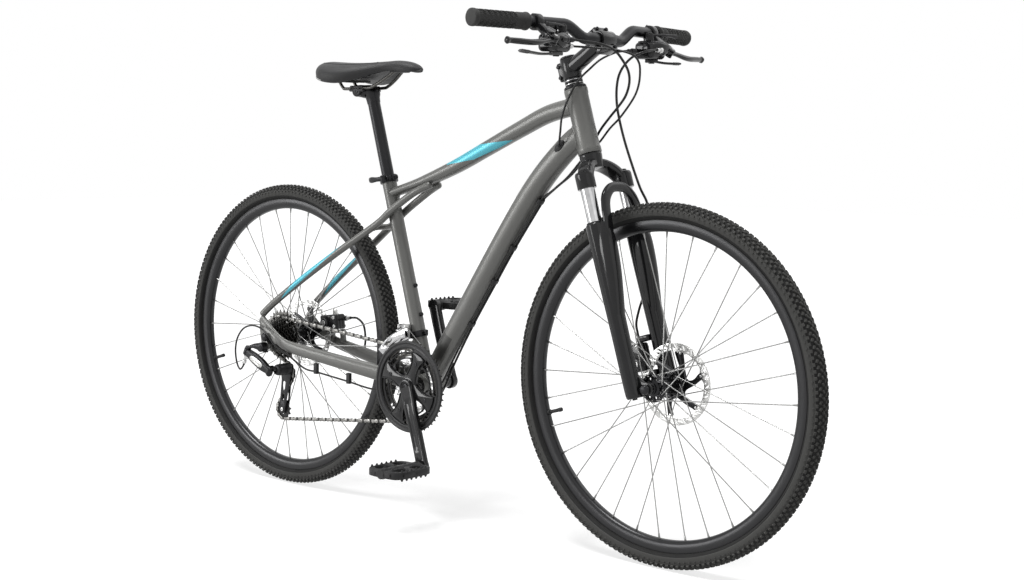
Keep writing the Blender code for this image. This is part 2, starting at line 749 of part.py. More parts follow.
def rim(axle):
    """Double-wall rim section with a bead seat between its two flanges."""
    half = RIM_WIDTH / 2
    top = BEAD_SEAT_RADIUS + RIM_FLANGE
    shoulder = BEAD_SEAT_RADIUS - 0.008
    side = [(BEAD_SEAT_RADIUS, half - RIM_WALL), (top, half), (shoulder, half),
            (RIM_INNER_RADIUS, 0.5 * half)]
    section = side + [(r, -a) for r, a in reversed(side)]
    return turned(section, axle, Y, WHEEL_STEPS, True)


def rim_reach(angle):
    """Where a spoke at this angle stops, short of the many-sided rim's inner face."""
    step = 2 * math.pi / WHEEL_STEPS
    off_flat = angle % step - step / 2
    return RIM_INNER_RADIUS * math.cos(step / 2) / math.cos(off_flat) - 2 * GAP


def spokes(axle, flanges):
    """Crossed spokes that spring from both flanges and end at the rim."""
    solids = []
    per_side = SPOKE_COUNT // 2
    cross = 2 * math.pi * CROSSES / per_side
    for i in range(SPOKE_COUNT):
        flange = flanges["left" if i % 2 else "right"]
        trailing = 1 if (i // 2) % 2 else -1
        angle = 2 * math.pi * i / SPOKE_COUNT
        at_hub = angle + trailing * cross
        inward = -math.copysign(1.0, flange) * trailing
        hub_y = flange + inward * SPOKE_STAGGER
        rim_y = math.copysign(0.002, flange)
        outer = rim_reach(angle)
        start = axle + Vector((SPOKE_CIRCLE * math.cos(at_hub), hub_y,
                               SPOKE_CIRCLE * math.sin(at_hub)))
        end = axle + Vector((outer * math.cos(angle), rim_y, outer * math.sin(angle)))
        solids.append(rod(start, end, SPOKE_RADIUS, 3, None, Y))
    return gather(solids)


def front_hub():
    """Hub shell with two drilled flanges, a disc seat and its laced spokes."""
    end = FRONT_OLD / 2 - 0.0058
    seat = FRONT_ROTOR_Y - ROTOR_THICKNESS / 2 - GAP
    half = FLANGE_THICKNESS / 2
    bore = AXLE_RADIUS + GAP
    left = FRONT_FLANGES["left"]
    right = FRONT_FLANGES["right"]
    profile = [(bore, end), (HUB_END_RADIUS, end), (HUB_END_RADIUS, seat),
               (DISC_SEAT_RADIUS, seat), (DISC_SEAT_RADIUS, seat - 0.004),
               (0.0150, left + half + 0.004), (FLANGE_RADIUS, left + half),
               (FLANGE_RADIUS, left - half), (0.0135, left - half - 0.004),
               (0.0135, right + half + 0.004), (FLANGE_RADIUS, right + half),
               (FLANGE_RADIUS, right - half), (HUB_END_RADIUS, right - half - 0.004),
               (HUB_END_RADIUS, -end), (bore, -end)]
    shell = turned(profile, FRONT_AXLE, Y, HUB_STEPS, True)
    return fuse(shell, spokes(FRONT_AXLE, FRONT_FLANGES))


def rear_hub():
    """Wider hub shell whose drive side leaves room for the freewheel body."""
    end = REAR_OLD / 2 - 0.0063
    seat = REAR_ROTOR_Y - ROTOR_THICKNESS / 2 - GAP
    half = FLANGE_THICKNESS / 2
    bore = AXLE_RADIUS + GAP
    left = REAR_FLANGES["left"]
    right = REAR_FLANGES["right"]
    profile = [(bore, end), (HUB_END_RADIUS, end), (HUB_END_RADIUS, seat),
               (DISC_SEAT_RADIUS, seat), (DISC_SEAT_RADIUS, seat - 0.004),
               (0.0170, left + half + 0.004), (FLANGE_RADIUS, left + half),
               (FLANGE_RADIUS, left - half), (0.0160, left - half - 0.005),
               (0.0160, right + half + 0.004), (FLANGE_RADIUS, right + half),
               (FLANGE_RADIUS, right - half), (bore, right - half)]
    shell = turned(profile, REAR_AXLE, Y, HUB_STEPS, True)
    return fuse(shell, spokes(REAR_AXLE, REAR_FLANGES))


def circle(radius, count, start=0.0, centre=(0.0, 0.0)):
    return [(centre[0] + radius * math.cos(start + 2 * math.pi * k / count),
             centre[1] + radius * math.sin(start + 2 * math.pi * k / count))
            for k in range(count)]


def ring_window(inner, outer, start, end, steps):
    """Closed window between two radii and two angles, all on one centre."""
    angles = [start + (end - start) * k / steps for k in range(steps + 1)]
    near = [(inner * math.cos(a), inner * math.sin(a)) for a in angles]
    far = [(outer * math.cos(a), outer * math.sin(a)) for a in reversed(angles)]
    return near + far


ROTOR_BAND = 0.0145               # width of the braking band
ROTOR_ARMS = 6


def rotor(axle, y):
    """Brake disc: band on slanted arms round the hub's disc seat."""
    windows = []
    inner = DISC_SEAT_RADIUS + 0.004
    outer = ROTOR_RADIUS - ROTOR_BAND
    for k in range(ROTOR_ARMS):
        start = 2 * math.pi * k / ROTOR_ARMS
        end = 2 * math.pi * (k + 1) / ROTOR_ARMS
        near = [(inner * math.cos(a), inner * math.sin(a)) for a in (start + 0.16, end - 0.16)]
        slant = 0.42
        far = [(outer * math.cos(a), outer * math.sin(a))
               for a in (end + slant - 0.07, (start + end) / 2 + slant, start + slant + 0.07)]
        windows.append(near + far)
    hole = circle(HUB_END_RADIUS + 0.001, 10)
    matrix = Matrix.Translation(axle) @ side_plane(y)
    return plate(circle(ROTOR_RADIUS, 28), ROTOR_THICKNESS, matrix, [hole, *windows])


def locknut_axle(axle, old, plate_thickness, clear_y):
    """Axle with locknuts, the quick-release skewer through it and the skewer's nut."""
    half = old / 2
    outside = half + GAP + plate_thickness
    core = rod(axle - (outside - 0.001) * Y, axle + (outside - 0.001) * Y, AXLE_RADIUS, 8)
    nuts = [rod(axle + side * (half - 0.006 + GAP) * Y, axle + side * half * Y,
                HUB_END_RADIUS - 0.002, 6) for side in (-1, 1)]
    skewer = rod(axle - (outside + 0.012) * Y, axle + (outside + 0.003) * Y, SKEWER_RADIUS, 6)
    knob = turned([(0.0, 0.0), (0.0095, 0.0), (0.0100, -0.006), (0.0070, -clear_y), (0.0, -clear_y)],
                  axle - (outside + GAP) * Y, Y, 8)
    washer = rod(axle + (outside + GAP) * Y, axle + (outside + 0.0055) * Y, 0.0090, 8)
    return fuse(core, *nuts, skewer, knob, washer)


LEVER_DRUM_RADIUS = 0.0060


def quick_release(centre, outward, pointing, length):
    """Cam drum and curved lever; the drum's axis is the lever's hinge."""
    hinge = outward.cross(pointing)
    drum = rod(centre - 0.0075 * hinge, centre + 0.0075 * hinge, LEVER_DRUM_RADIUS, 10,
               None, outward)
    stations = []
    for k, (ahead, out, wide, thick) in enumerate(((0.0, 0.0, 0.012, 0.007),
                                                  (0.35, 0.06, 0.010, 0.006),
                                                  (0.75, 0.03, 0.013, 0.005),
                                                  (1.0, -0.03, 0.011, 0.004))):
        point = centre + ahead * length * pointing + out * length * outward
        stations.append((*point, wide, thick))
    arm = shaped_tube(stations, 1, 8, 2.4, hinge)
    return fuse(drum, arm)


STOP_ASIDE = 0.0190               # cable stop outward of the rotor's plane
STOP_UP = 0.0060
STOP_LENGTH = 0.0120              # beyond the caliper's end
STOP_DEPTH = 0.0080               # housing inside the stop
CALIPER_HALF = 0.0150
PISTON_AT = -0.0120               # along the caliper from its middle
PISTON_REACH = 0.0180             # outward of the rotor's plane


def caliper_matrix(centre, angle, rotor_y):
    """Frame of a caliper: X along it, Y outward, at the rotor's plane."""
    return Matrix.Translation(Vector((centre.x, rotor_y, centre.z))) @ Matrix.Rotation(-angle, 4, "Y")


def brake_caliper(centre, angle, axle, rotor_y, width, height):
    """Mechanical caliper body that straddles the rotor, with its piston housing."""
    matrix = caliper_matrix(centre, angle, rotor_y)
    body = box((width, 2 * CALIPER_HALF, height), (0, 0, 0), 0.004, matrix)
    piston = rod(matrix @ Vector((PISTON_AT, -0.017, 0)),
                 matrix @ Vector((PISTON_AT, PISTON_REACH, 0)), 0.0160, 12)
    stop = rod(matrix @ Vector((width / 2 - 0.012, STOP_ASIDE, STOP_UP)),
               matrix @ Vector((width / 2 + STOP_LENGTH, STOP_ASIDE, STOP_UP)), 0.0046, 8)
    hole = drill(matrix @ Vector((width / 2 + STOP_LENGTH - STOP_DEPTH, STOP_ASIDE, STOP_UP)),
               matrix @ Vector((width / 2 + STOP_LENGTH + 0.01, STOP_ASIDE, STOP_UP)),
               HOUSING_RADIUS["brake"], 6)
    tab = box((0.012, 0.014, 0.012), (width / 2 - 0.007, 0.014, STOP_UP), 0.0, matrix)
    caliper = fuse(body, piston, tab, stop)
    slot_centre = Vector((axle.x, rotor_y, axle.z))
    slot = rod(slot_centre - 0.0018 * Y, slot_centre + 0.0018 * Y, ROTOR_RADIUS + 0.002, 28)
    return carve(caliper, slot, hole)


STEERING = pivot("steering", on_fork(0, 0, HEAD_TUBE_FOOT))
SUSPENSION = pivot("fork_travel", on_fork(0, 0, 0.2), STEERING)
FRONT_SPIN = pivot("front_wheel_spin", FRONT_AXLE, SUSPENSION)
REAR_SPIN = pivot("rear_wheel_spin", REAR_AXLE)

finish("front_tyre", tyre(FRONT_AXLE), "rubber", FRONT_SPIN)
finish("front_rim", rim(FRONT_AXLE), "black_anodised", FRONT_SPIN)
finish("front_hub", front_hub(), "black_anodised", FRONT_SPIN)
finish("front_rotor", rotor(FRONT_AXLE, FRONT_ROTOR_Y), "steel", FRONT_SPIN)
finish("rear_tyre", tyre(REAR_AXLE), "rubber", REAR_SPIN)
finish("rear_rim", rim(REAR_AXLE), "black_anodised", REAR_SPIN)
finish("rear_hub", rear_hub(), "black_anodised", REAR_SPIN)
finish("rear_rotor", rotor(REAR_AXLE, REAR_ROTOR_Y), "steel", REAR_SPIN)

KNOB_LENGTH = 0.0105
LUG_THICKNESS = 0.007
finish("rear_axle", locknut_axle(REAR_AXLE, REAR_OLD, DROPOUT_THICKNESS, KNOB_LENGTH), "black_anodised")
finish("front_axle", locknut_axle(FRONT_AXLE, FRONT_OLD, LUG_THICKNESS, KNOB_LENGTH), "black_anodised",
       SUSPENSION)


def lever_centre(axle, old, plate_thickness):
    return axle + (old / 2 + GAP + plate_thickness + 0.0055 + GAP + LEVER_DRUM_RADIUS) * Y


FRONT_LEVER_AT = lever_centre(FRONT_AXLE, FRONT_OLD, LUG_THICKNESS)
REAR_LEVER_AT = lever_centre(REAR_AXLE, REAR_OLD, DROPOUT_THICKNESS)
finish("front_qr_lever", quick_release(FRONT_LEVER_AT, Y, STEER_UP, 0.060), "black_anodised",
       pivot("front_qr", FRONT_LEVER_AT, SUSPENSION))
finish("rear_qr_lever", quick_release(REAR_LEVER_AT, Y, -X, 0.060), "black_anodised",
       pivot("rear_qr", REAR_LEVER_AT))


# Drive

ROLLER_RADIUS = 0.0040
TOOTH_TIP = 0.0030                # above the pitch circle
CHAIN_WIDE = 0.0069
CHAIN_NARROW = 0.0047
CHAIN_DEPTH = 0.0084
CHAIN_SLOT = 0.0031
CAGE_PIVOT = REAR_AXLE + Vector((0.0397, 0.0, -0.0730))
GUIDE_ARM = 0.0165                # cage pivot to guide pulley
GUIDE_TURN = math.radians(-134)
PULLEY_SPACING = 0.087
TENSION_TURN = math.radians(-96)  # guide pulley to tension pulley, before the chain is fitted
CAGE_SEARCH = math.radians(9)


def pitch_radius(teeth):
    return PITCH / (2 * math.sin(math.pi / teeth))


def sprocket_y(index):
    return OUTER_SPROCKET_Y + SPROCKET_SPACING * index


CHAIN_REAR_Y = sprocket_y(CHAIN_SPROCKET)
CHAIN_RING_Y = RING_Y["middle"]


def flat(point):
    """A point's X and Z as a plane vector."""
    return Vector((point.x, point.z))


def heading(angle):
    return Vector((math.cos(angle), math.sin(angle)))


def cage_places(turn):
    """Guide and tension pulley centres when the cage is turned by an angle."""
    guide = flat(CAGE_PIVOT) + GUIDE_ARM * heading(GUIDE_TURN + turn)
    tension = guide + PULLEY_SPACING * heading(TENSION_TURN + turn)
    return guide, tension


def tangent_angle(first, second):
    """Heading of the chain run that leaves one toothed circle and meets the next."""
    gap = second["centre"] - first["centre"]
    reach = second["turn"] * second["radius"] - first["turn"] * first["radius"]
    return math.atan2(gap.y, gap.x) - math.asin(reach / gap.length)


def chain_circles(turn):
    guide, tension = cage_places(turn)
    pulley = pitch_radius(PULLEY_TEETH)
    return [
        {"centre": flat(REAR_AXLE), "radius": pitch_radius(SPROCKET_TEETH[CHAIN_SPROCKET]),
         "teeth": SPROCKET_TEETH[CHAIN_SPROCKET], "turn": -1, "y": CHAIN_REAR_Y},
        {"centre": flat(BB), "radius": pitch_radius(RING_TEETH["middle"]),
         "teeth": RING_TEETH["middle"], "turn": -1, "y": CHAIN_RING_Y},
        {"centre": tension, "radius": pulley, "teeth": PULLEY_TEETH, "turn": -1,
         "y": CHAIN_REAR_Y},
        {"centre": guide, "radius": pulley, "teeth": PULLEY_TEETH, "turn": 1,
         "y": CHAIN_REAR_Y},
    ]


def chain_segments(turn):
    """Runs and wraps of the chain in the order it moves, each with its length in pitches."""
    circles = chain_circles(turn)
    count = len(circles)
    angles = [tangent_angle(circles[i], circles[(i + 1) % count]) for i in range(count)]
    segments = []
    for i in range(count):
        here = circles[i]
        after = circles[(i + 1) % count]
        side = Vector((-math.sin(angles[i]), math.cos(angles[i])))
        start = here["centre"] - here["turn"] * here["radius"] * side
        end = after["centre"] - after["turn"] * after["radius"] * side
        run = Vector((end.x - start.x, after["y"] - here["y"], end.y - start.y))
        segments.append({"kind": "run", "start": start, "end": end, "y": (here["y"], after["y"]),
                         "pitches": run.length / PITCH})
        sweep = (angles[(i + 1) % count] - angles[i]) * after["turn"]
        sweep %= 2 * math.pi
        offset = end - after["centre"]
        segments.append({"kind": "wrap", "circle": after, "from": math.atan2(offset.y, offset.x),
                         "sweep": sweep, "pitches": sweep * after["teeth"] / (2 * math.pi)})
    return segments


def chain_pitches(turn):
    return sum(segment["pitches"] for segment in chain_segments(turn))


def fit_cage():
    """Cage turn at which the chain closes on an even number of links."""
    low, high = -CAGE_SEARCH, CAGE_SEARCH
    wanted = 2 * round(chain_pitches(0.0) / 2)
    rising = chain_pitches(high) > chain_pitches(low)
    for _ in range(60):
        middle = (low + high) / 2
        if (chain_pitches(middle) < wanted) == rising:
            low = middle
        else:
            high = middle
    return (low + high) / 2, wanted


CAGE_TURN, LINKS = fit_cage()
GUIDE_AT, TENSION_AT = cage_places(CAGE_TURN)


def chain_point(place):
    """Point of the chain's pitch line at a distance in pitches."""
    for segment in chain_segments(CAGE_TURN):
        if place <= segment["pitches"] + 1e-9:
            share = place / segment["pitches"]
            if segment["kind"] == "run":
                spot = segment["start"].lerp(segment["end"], share)
                y0, y1 = segment["y"]
                return Vector((spot.x, y0 + share * (y1 - y0), spot.y))
            circle_ = segment["circle"]
            angle = segment["from"] + circle_["turn"] * share * segment["sweep"]
            spot = circle_["centre"] + circle_["radius"] * heading(angle)
            return Vector((spot.x, circle_["y"], spot.y))
        place -= segment["pitches"]
    return chain_point(0.0)


def roller_phase(index):
    """Angle of a roller on the toothed circle that ends the run of that index."""
    before = 0.0
    segments = chain_segments(CAGE_TURN)
    for segment in segments[:2 * index + 1]:
        before += segment["pitches"]
    wrap = segments[2 * index + 1]
    circle_ = wrap["circle"]
    late = (math.ceil(before) - before) / circle_["teeth"] * 2 * math.pi
    return wrap["from"] + circle_["turn"] * late


RING_PHASE = roller_phase(0)
TENSION_PHASE = roller_phase(1)
GUIDE_PHASE = roller_phase(2)
SPROCKET_PHASE = roller_phase(3)


TOOTH = ((0.0, -ROLLER_RADIUS), (0.50, TOOTH_TIP))


def toothed(teeth, phase, tooth=TOOTH):
    """Outline of a chain wheel whose first hollow holds a roller at the phase angle."""
    radius = pitch_radius(teeth)
    step = 2 * math.pi / teeth
    outline = []
    for k in range(teeth):
        hollow = phase + k * step
        for turn, reach in tooth:
            angle = hollow + turn * step
            outline.append(((radius + reach) * math.cos(angle), (radius + reach) * math.sin(angle)))
    return outline


def wheel_plate(centre, y, outline, thickness, holes=()):
    matrix = Matrix.Translation(Vector((centre.x, 0.0, centre.y))) @ side_plane(y)
    return plate(outline, thickness, matrix, holes)


def chain():
    """Closed band, broad at every second link, slotted where teeth enter it."""
    rings = []
    for k in range(LINKS):
        start = chain_point(k)
        end = chain_point((k + 1) % LINKS)
        along = (end - start).normalized()
        out = along.cross(Y).normalized()
        side = out.cross(along)
        width = CHAIN_WIDE if k % 2 else CHAIN_NARROW
        centre = start.lerp(end, 0.5)
        rings.append([centre + sx * width / 2 * side + sz * CHAIN_DEPTH / 2 * out
                      for sx, sz in ((1, 1), (-1, 1), (-1, -1), (1, -1))])
    bm = bmesh.new()
    loops = [[bm.verts.new(point) for point in ring] for ring in rings]
    for first, second in zip(loops, loops[1:] + loops[:1]):
        for i in range(4):
            j = (i + 1) % 4
            bm.faces.new((first[i], first[j], second[j], second[i]))
    band = from_bmesh(bm)
    cutters = []
    for circle_ in chain_circles(CAGE_TURN):
        centre = Vector((circle_["centre"].x, circle_["y"], circle_["centre"].y))
        sides = 12 if circle_["teeth"] == PULLEY_TEETH else circle_["teeth"] // 2 * 2
        reach = (circle_["radius"] + TOOTH_TIP + 0.0003) / math.cos(math.pi / sides)
        cutters.append(rod(centre - CHAIN_SLOT / 2 * Y, centre + CHAIN_SLOT / 2 * Y, reach, sides))
    return carve(band, *cutters)


CASSETTE_CORE = 0.0165
LOCKRING_Y = 0.0605


def cassette():
    """Freewheel body with seven sprockets and the lockring."""
    inner = REAR_FLANGES["right"] - FLANGE_THICKNESS / 2 - GAP
    bore = AXLE_RADIUS + GAP
    core = turned([(bore, inner), (CASSETTE_CORE, inner), (CASSETTE_CORE, -0.0560), (0.0190, -0.0560),
                   (0.0190, -LOCKRING_Y), (bore, -LOCKRING_Y)], REAR_AXLE, Y, 10, True)
    plates = []
    for i, teeth in enumerate(SPROCKET_TEETH):
        plates.append(wheel_plate(flat(REAR_AXLE), sprocket_y(i),
                                  toothed(teeth, SPROCKET_PHASE), SPROCKET_THICKNESS,
                                  [circle(CASSETTE_CORE - 0.0015, 6)]))
    return fuse(core, gather(plates))


SPIDER_REACH = 0.056
BOLT_CIRCLE = 0.0515
SPIDER_Y = (-0.0505, RING_Y["large"] + RING_THICKNESS / 2 + GAP)
CRANK_OUT = {-1: Vector((math.sin(CRANK_ANGLE), 0.0, -math.cos(CRANK_ANGLE))),
             1: Vector((-math.sin(CRANK_ANGLE), 0.0, math.cos(CRANK_ANGLE)))}
ARM_Y = ((0.0, 0.0680), (0.030, 0.0700), (0.060, 0.0727), (0.104, 0.0745), (0.140, 0.0770),
         (CRANK_LENGTH, 0.0795))
ARM_WIDTH = (0.033, 0.030, 0.027, 0.0255, 0.0265, 0.028)
BOSS_RADIUS_CRANK = 0.0175
PEDAL_INNER = 0.0950
PEDAL_OUTER = 0.2030
PEDAL_SPINDLE = 0.0055


def crank_arm(side):
    """Tapered arm from the boss to the pedal eye, stepping outward on the way."""
    out = CRANK_OUT[side]
    lateral = out.cross(Y)
    stations = [(*(BB + reach * out + side * y * Y), width, CRANK_THICKNESS)
                for (reach, y), width in zip(ARM_Y, ARM_WIDTH)]
    arm = shaped_tube(stations, 1, 8, 5.0, lateral)
    boss_y = ARM_Y[0][1]
    half = CRANK_THICKNESS / 2
    boss = rod(BB + side * (boss_y - half - 0.001) * Y, BB + side * (boss_y + half) * Y,
               BOSS_RADIUS_CRANK, 14)
    eye_at = BB + CRANK_LENGTH * out
    eye_y = ARM_Y[-1][1]
    eye = rod(eye_at + side * (eye_y - half) * Y, eye_at + side * (eye_y + half) * Y, 0.0145, 12)
    spindle = rod(eye_at + side * eye_y * Y, eye_at + side * (PEDAL_OUTER - 0.040) * Y,
                  PEDAL_SPINDLE, 8)
    collar = rod(eye_at + side * eye_y * Y, eye_at + side * (PEDAL_INNER - 0.0045 - GAP) * Y,
                 0.0078, 8)
    recess = rod(BB + side * (boss_y + half - 0.003) * Y, BB + side * (boss_y + half + 0.01) * Y,
                 0.0085, 10)
    return carve(fuse(boss, arm, eye, collar, spindle), recess)


def spider():
    """Four arms that carry the chainrings, either side of the crank."""
    first = math.atan2(CRANK_OUT[-1].z, CRANK_OUT[-1].x) + math.pi / 4
    outline = []
    for k in range(4):
        middle = first + k * math.pi / 2
        for radius, turn in ((0.0200, -0.55), (0.0360, -0.20), (SPIDER_REACH - 0.006, -0.24),
                             (SPIDER_REACH, -0.12), (SPIDER_REACH, 0.12),
                             (SPIDER_REACH - 0.006, 0.24), (0.0360, 0.20), (0.0200, 0.55)):
            outline.append((radius * math.cos(middle + turn), radius * math.sin(middle + turn)))
    thickness = SPIDER_Y[0] - SPIDER_Y[1]
    return wheel_plate(flat(BB), (SPIDER_Y[0] + SPIDER_Y[1]) / 2, outline, thickness)


def spider_angles():
    first = math.atan2(CRANK_OUT[-1].z, CRANK_OUT[-1].x) + math.pi / 4
    return [first + k * math.pi / 2 for k in range(4)]


def right_crank():
    """Drive-side arm with its spider, the two smaller rings and the pedal spindle."""
    arm = crank_arm(-1)
    hub = rod(BB - 0.0420 * Y, BB - 0.0640 * Y, 0.0190, 14)
    middle = wheel_plate(flat(BB), RING_Y["middle"], toothed(RING_TEETH["middle"], RING_PHASE),
                         RING_THICKNESS, [circle(SPIDER_REACH - 0.007, 20)])
    small = wheel_plate(flat(BB), RING_Y["small"], toothed(RING_TEETH["small"], RING_PHASE),
                        RING_THICKNESS, [circle(0.0340, 16)])
    posts = []
    for angle in spider_angles():
        spot = BB + Vector((0.0385 * math.cos(angle), 0.0, 0.0385 * math.sin(angle)))
        posts.append(rod(spot + RING_Y["small"] * Y, spot + (SPIDER_Y[0] - 0.002) * Y, 0.0040, 6))
    crank = fuse(hub, spider(), middle, small, *posts, arm)
    bore = drill(BB - 0.030 * Y, BB - (ARM_Y[0][1] - 0.004) * Y, SPINDLE_RADIUS, 12)
    return carve(crank, bore)


def left_crank():
    """Left arm with the spindle that runs through the bottom bracket."""
    half = CRANK_THICKNESS / 2
    spindle = rod(BB + ARM_Y[0][1] * Y, BB - (ARM_Y[0][1] - 0.004 - GAP) * Y, SPINDLE_RADIUS, 12)
    collar = rod(BB + (ARM_Y[0][1] - half) * Y, BB + (BB_SHELL_HALF + BB_CUP_WIDTH + GAP) * Y,
                 0.0140, 12)
    return fuse(crank_arm(1), collar, spindle)


def large_chainring():
    """Outer ring, bolted to the spider's outer face."""
    return wheel_plate(flat(BB), RING_Y["large"], toothed(RING_TEETH["large"], RING_PHASE),
                       RING_THICKNESS, [circle(SPIDER_REACH - 0.009, 24)])


def chainguard():
    """Moulded guard ring: outer band, curved windows and four tabs over the spider arms."""
    inner = SPIDER_REACH - 0.009
    windows = []
    for angle in spider_angles():
        start = angle + 0.27
        end = angle + math.pi / 2 - 0.27
        windows.append(ring_window(0.0640, 0.0740, start, end, 3))
        windows.append(ring_window(0.0770, 0.0840, start + 0.04, end - 0.04, 3))
    inner_y = RING_Y["large"] - RING_THICKNESS / 2 - GAP
    y = inner_y - GUARD_THICKNESS / 2
    return wheel_plate(flat(BB), y, circle(GUARD_RADIUS, 32), GUARD_THICKNESS,
                       [circle(inner, 24), *windows])


def pedal(side):
    """Platform pedal: bearing barrel, toothed cage and ribs, on the crank's spindle."""
    centre = BB + CRANK_LENGTH * CRANK_OUT[side]
    inner, outer = PEDAL_INNER, PEDAL_OUTER
    width = outer - inner
    half_x = 0.0480
    outline = [(-half_x + 0.010, inner), (half_x - 0.010, inner), (half_x, inner + 0.014),
               (half_x, outer - 0.016), (half_x - 0.014, outer), (-half_x + 0.014, outer),
               (-half_x, outer - 0.016), (-half_x, inner + 0.014)]
    windows = []
    for sign in (-1, 1):
        for low, high in ((inner + 0.010, inner + 0.046), (inner + 0.054, outer - 0.010)):
            near = 0.0125
            far = half_x - 0.009
            windows.append([(sign * near, low), (sign * far, low + 0.004), (sign * far, high - 0.006),
                            (sign * near, high)])
    matrix = Matrix.Translation(centre) @ Matrix.Scale(side, 4, Y)
    cage = plate(outline, 0.0180, matrix, windows)
    if side < 0:
        cage = from_mirror_fix(cage)
    barrel = rod(centre + side * (inner - 0.0045) * Y, centre + side * (outer - 0.004) * Y, 0.0115, 8)
    teeth = []
    for sign in (-1, 1):
        for up in (-1, 1):
            for k in range(3):
                spot = centre + Vector((sign * (half_x - 0.0045), side * (inner + 0.026 + 0.028 * k), 0))
                teeth.append(rod(spot + up * 0.0080 * Z, spot + up * 0.0130 * Z, 0.0026, 4, 0.0012))
    body = fuse(cage, barrel, gather(teeth))
    bore = drill(centre + side * (inner - 0.02) * Y, centre + side * (outer - 0.038) * Y,
               PEDAL_SPINDLE, 8)
    return carve(body, bore)


def from_mirror_fix(solid):
    """Faces point outward again after a mirrored placement."""
    bm = bmesh.new()
    bm.from_mesh(solid.data)
    bpy.data.objects.remove(solid, do_unlink=True)
    return from_bmesh(bm)


CRANK_SPIN = pivot("crank_spin", BB)
finish("right_crank", right_crank(), "black_anodised", CRANK_SPIN)
finish("left_crank", left_crank(), "black_anodised", CRANK_SPIN)
finish("large_chainring", large_chainring(), "dark_steel", CRANK_SPIN)
finish("chainguard", chainguard(), "grey_plastic", CRANK_SPIN)
for SIDE, LABEL in ((-1, "right"), (1, "left")):
    AT = BB + CRANK_LENGTH * CRANK_OUT[SIDE] + SIDE * PEDAL_INNER * Y
    finish(LABEL + "_pedal", pedal(SIDE), "black_plastic",
           pivot(LABEL + "_pedal_spin", AT, CRANK_SPIN))
finish("cassette", cassette(), "dark_steel", pivot("cassette_spin", REAR_AXLE))
finish("chain", chain(), "dark_steel")


# Fork, all in the fork's own frame: ahead, aside, up

FORK_MATRIX = Matrix.Translation(STEER_FOOT) @ Matrix((STEER_FORWARD, Y, STEER_UP)).transposed().to_4x4()
HEAD_TOP = HEAD_TUBE_FOOT + HEAD_TUBE_LENGTH
STEM_FOOT = HEAD_TOP + SPACER_HEIGHT
STEM_HEAD = STEM_FOOT + STEM_CLAMP_HEIGHT
STANCHION_TOP = CROWN_TOP - 0.006
STANCHION_BOTTOM = WHEEL_RADIUS - 0.180
SOCKET_RADIUS = 0.0185
ARCH_TOP = WHEEL_RADIUS + 0.045
LOWERS_FOOT = -0.012


def fork_tube(stations, steps, count, power=2.4, lateral=STEER_FORWARD):
    """Shaped tube given in the fork's frame."""
    placed = [(*on_fork(*station[:3]), station[3], station[4]) for station in stations]
    return shaped_tube(placed, steps, count, power, lateral)


def fork_crown():
    """Forged crown with two stanchion sockets, the steerer, spacers and top cap."""
    column = turned([(0.0, STEM_HEAD + 0.006), (0.0120, STEM_HEAD + 0.006), (0.0175, STEM_HEAD + 0.003),
                     (0.0175, STEM_HEAD + GAP), (STEERER_RADIUS, STEM_HEAD + GAP),
                     (STEERER_RADIUS, STEM_FOOT - GAP), (0.0180, STEM_FOOT - GAP),
                     (0.0180, HEAD_TOP + GAP), (STEERER_RADIUS, HEAD_TOP + GAP),
                     (STEERER_RADIUS, HEAD_TUBE_FOOT - GAP), (0.0215, HEAD_TUBE_FOOT - GAP),
                     (0.0225, HEAD_TUBE_FOOT - 0.006), (0.0205, CROWN_TOP + 0.010), (0.0, CROWN_TOP + 0.010)],
                    STEER_FOOT, STEER_UP, 12)
    half = [(0.0190, 0.0560, CROWN_TOP - 0.017, 0.031, 0.020), (0.0130, 0.043, CROWN_TOP + 0.002, 0.033, 0.022),
            (0.0050, 0.024, CROWN_TOP + 0.016, 0.034, 0.022)]
    other = [(f, -y, t, wide, high) for f, y, t, wide, high in reversed(half)]
    middle = [(0.0, 0.0, CROWN_TOP + 0.020, 0.034, 0.022)]
    solids = [fork_tube(half + middle + other, 1, 8)]
    for side in (-1, 1):
        solids.append(turned([(0.0, CROWN_TOP), (0.0130, CROWN_TOP), (SOCKET_RADIUS, CROWN_TOP - 0.005),
                              (SOCKET_RADIUS, CROWN_BOTTOM), (0.0, CROWN_BOTTOM)],
                             on_fork(LEG_OFFSET, side * LEG_Y, 0), STEER_UP, 12))
    crown = fuse(column, *solids)
    bores = [drill(on_fork(LEG_OFFSET, side * LEG_Y, CROWN_BOTTOM - 0.02),
                 on_fork(LEG_OFFSET, side * LEG_Y, STANCHION_TOP + GAP),
                 STANCHION_RADIUS, 12) for side in (-1, 1)]
    return carve(crown, *bores)


def stanchion(side):
    return rod(on_fork(LEG_OFFSET, side * LEG_Y, STANCHION_BOTTOM),
               on_fork(LEG_OFFSET, side * LEG_Y, STANCHION_TOP), STANCHION_RADIUS, 12)


def lower_leg(side):
    """Sliding leg: wiper collar, tapering tube and foot."""
    return turned([(0.0, LOWERS_TOP), (0.0165, LOWERS_TOP), (LOWER_RADIUS, LOWERS_TOP - 0.004),
                   (LOWER_RADIUS, LOWERS_TOP - 0.080), (LOWER_FOOT_RADIUS, 0.100),
                   (LOWER_FOOT_RADIUS - 0.001, LOWERS_FOOT + 0.004),
                   (LOWER_FOOT_RADIUS - 0.004, LOWERS_FOOT), (0.0, LOWERS_FOOT)],
                  on_fork(LEG_OFFSET, side * LEG_Y, 0), STEER_UP, 12)


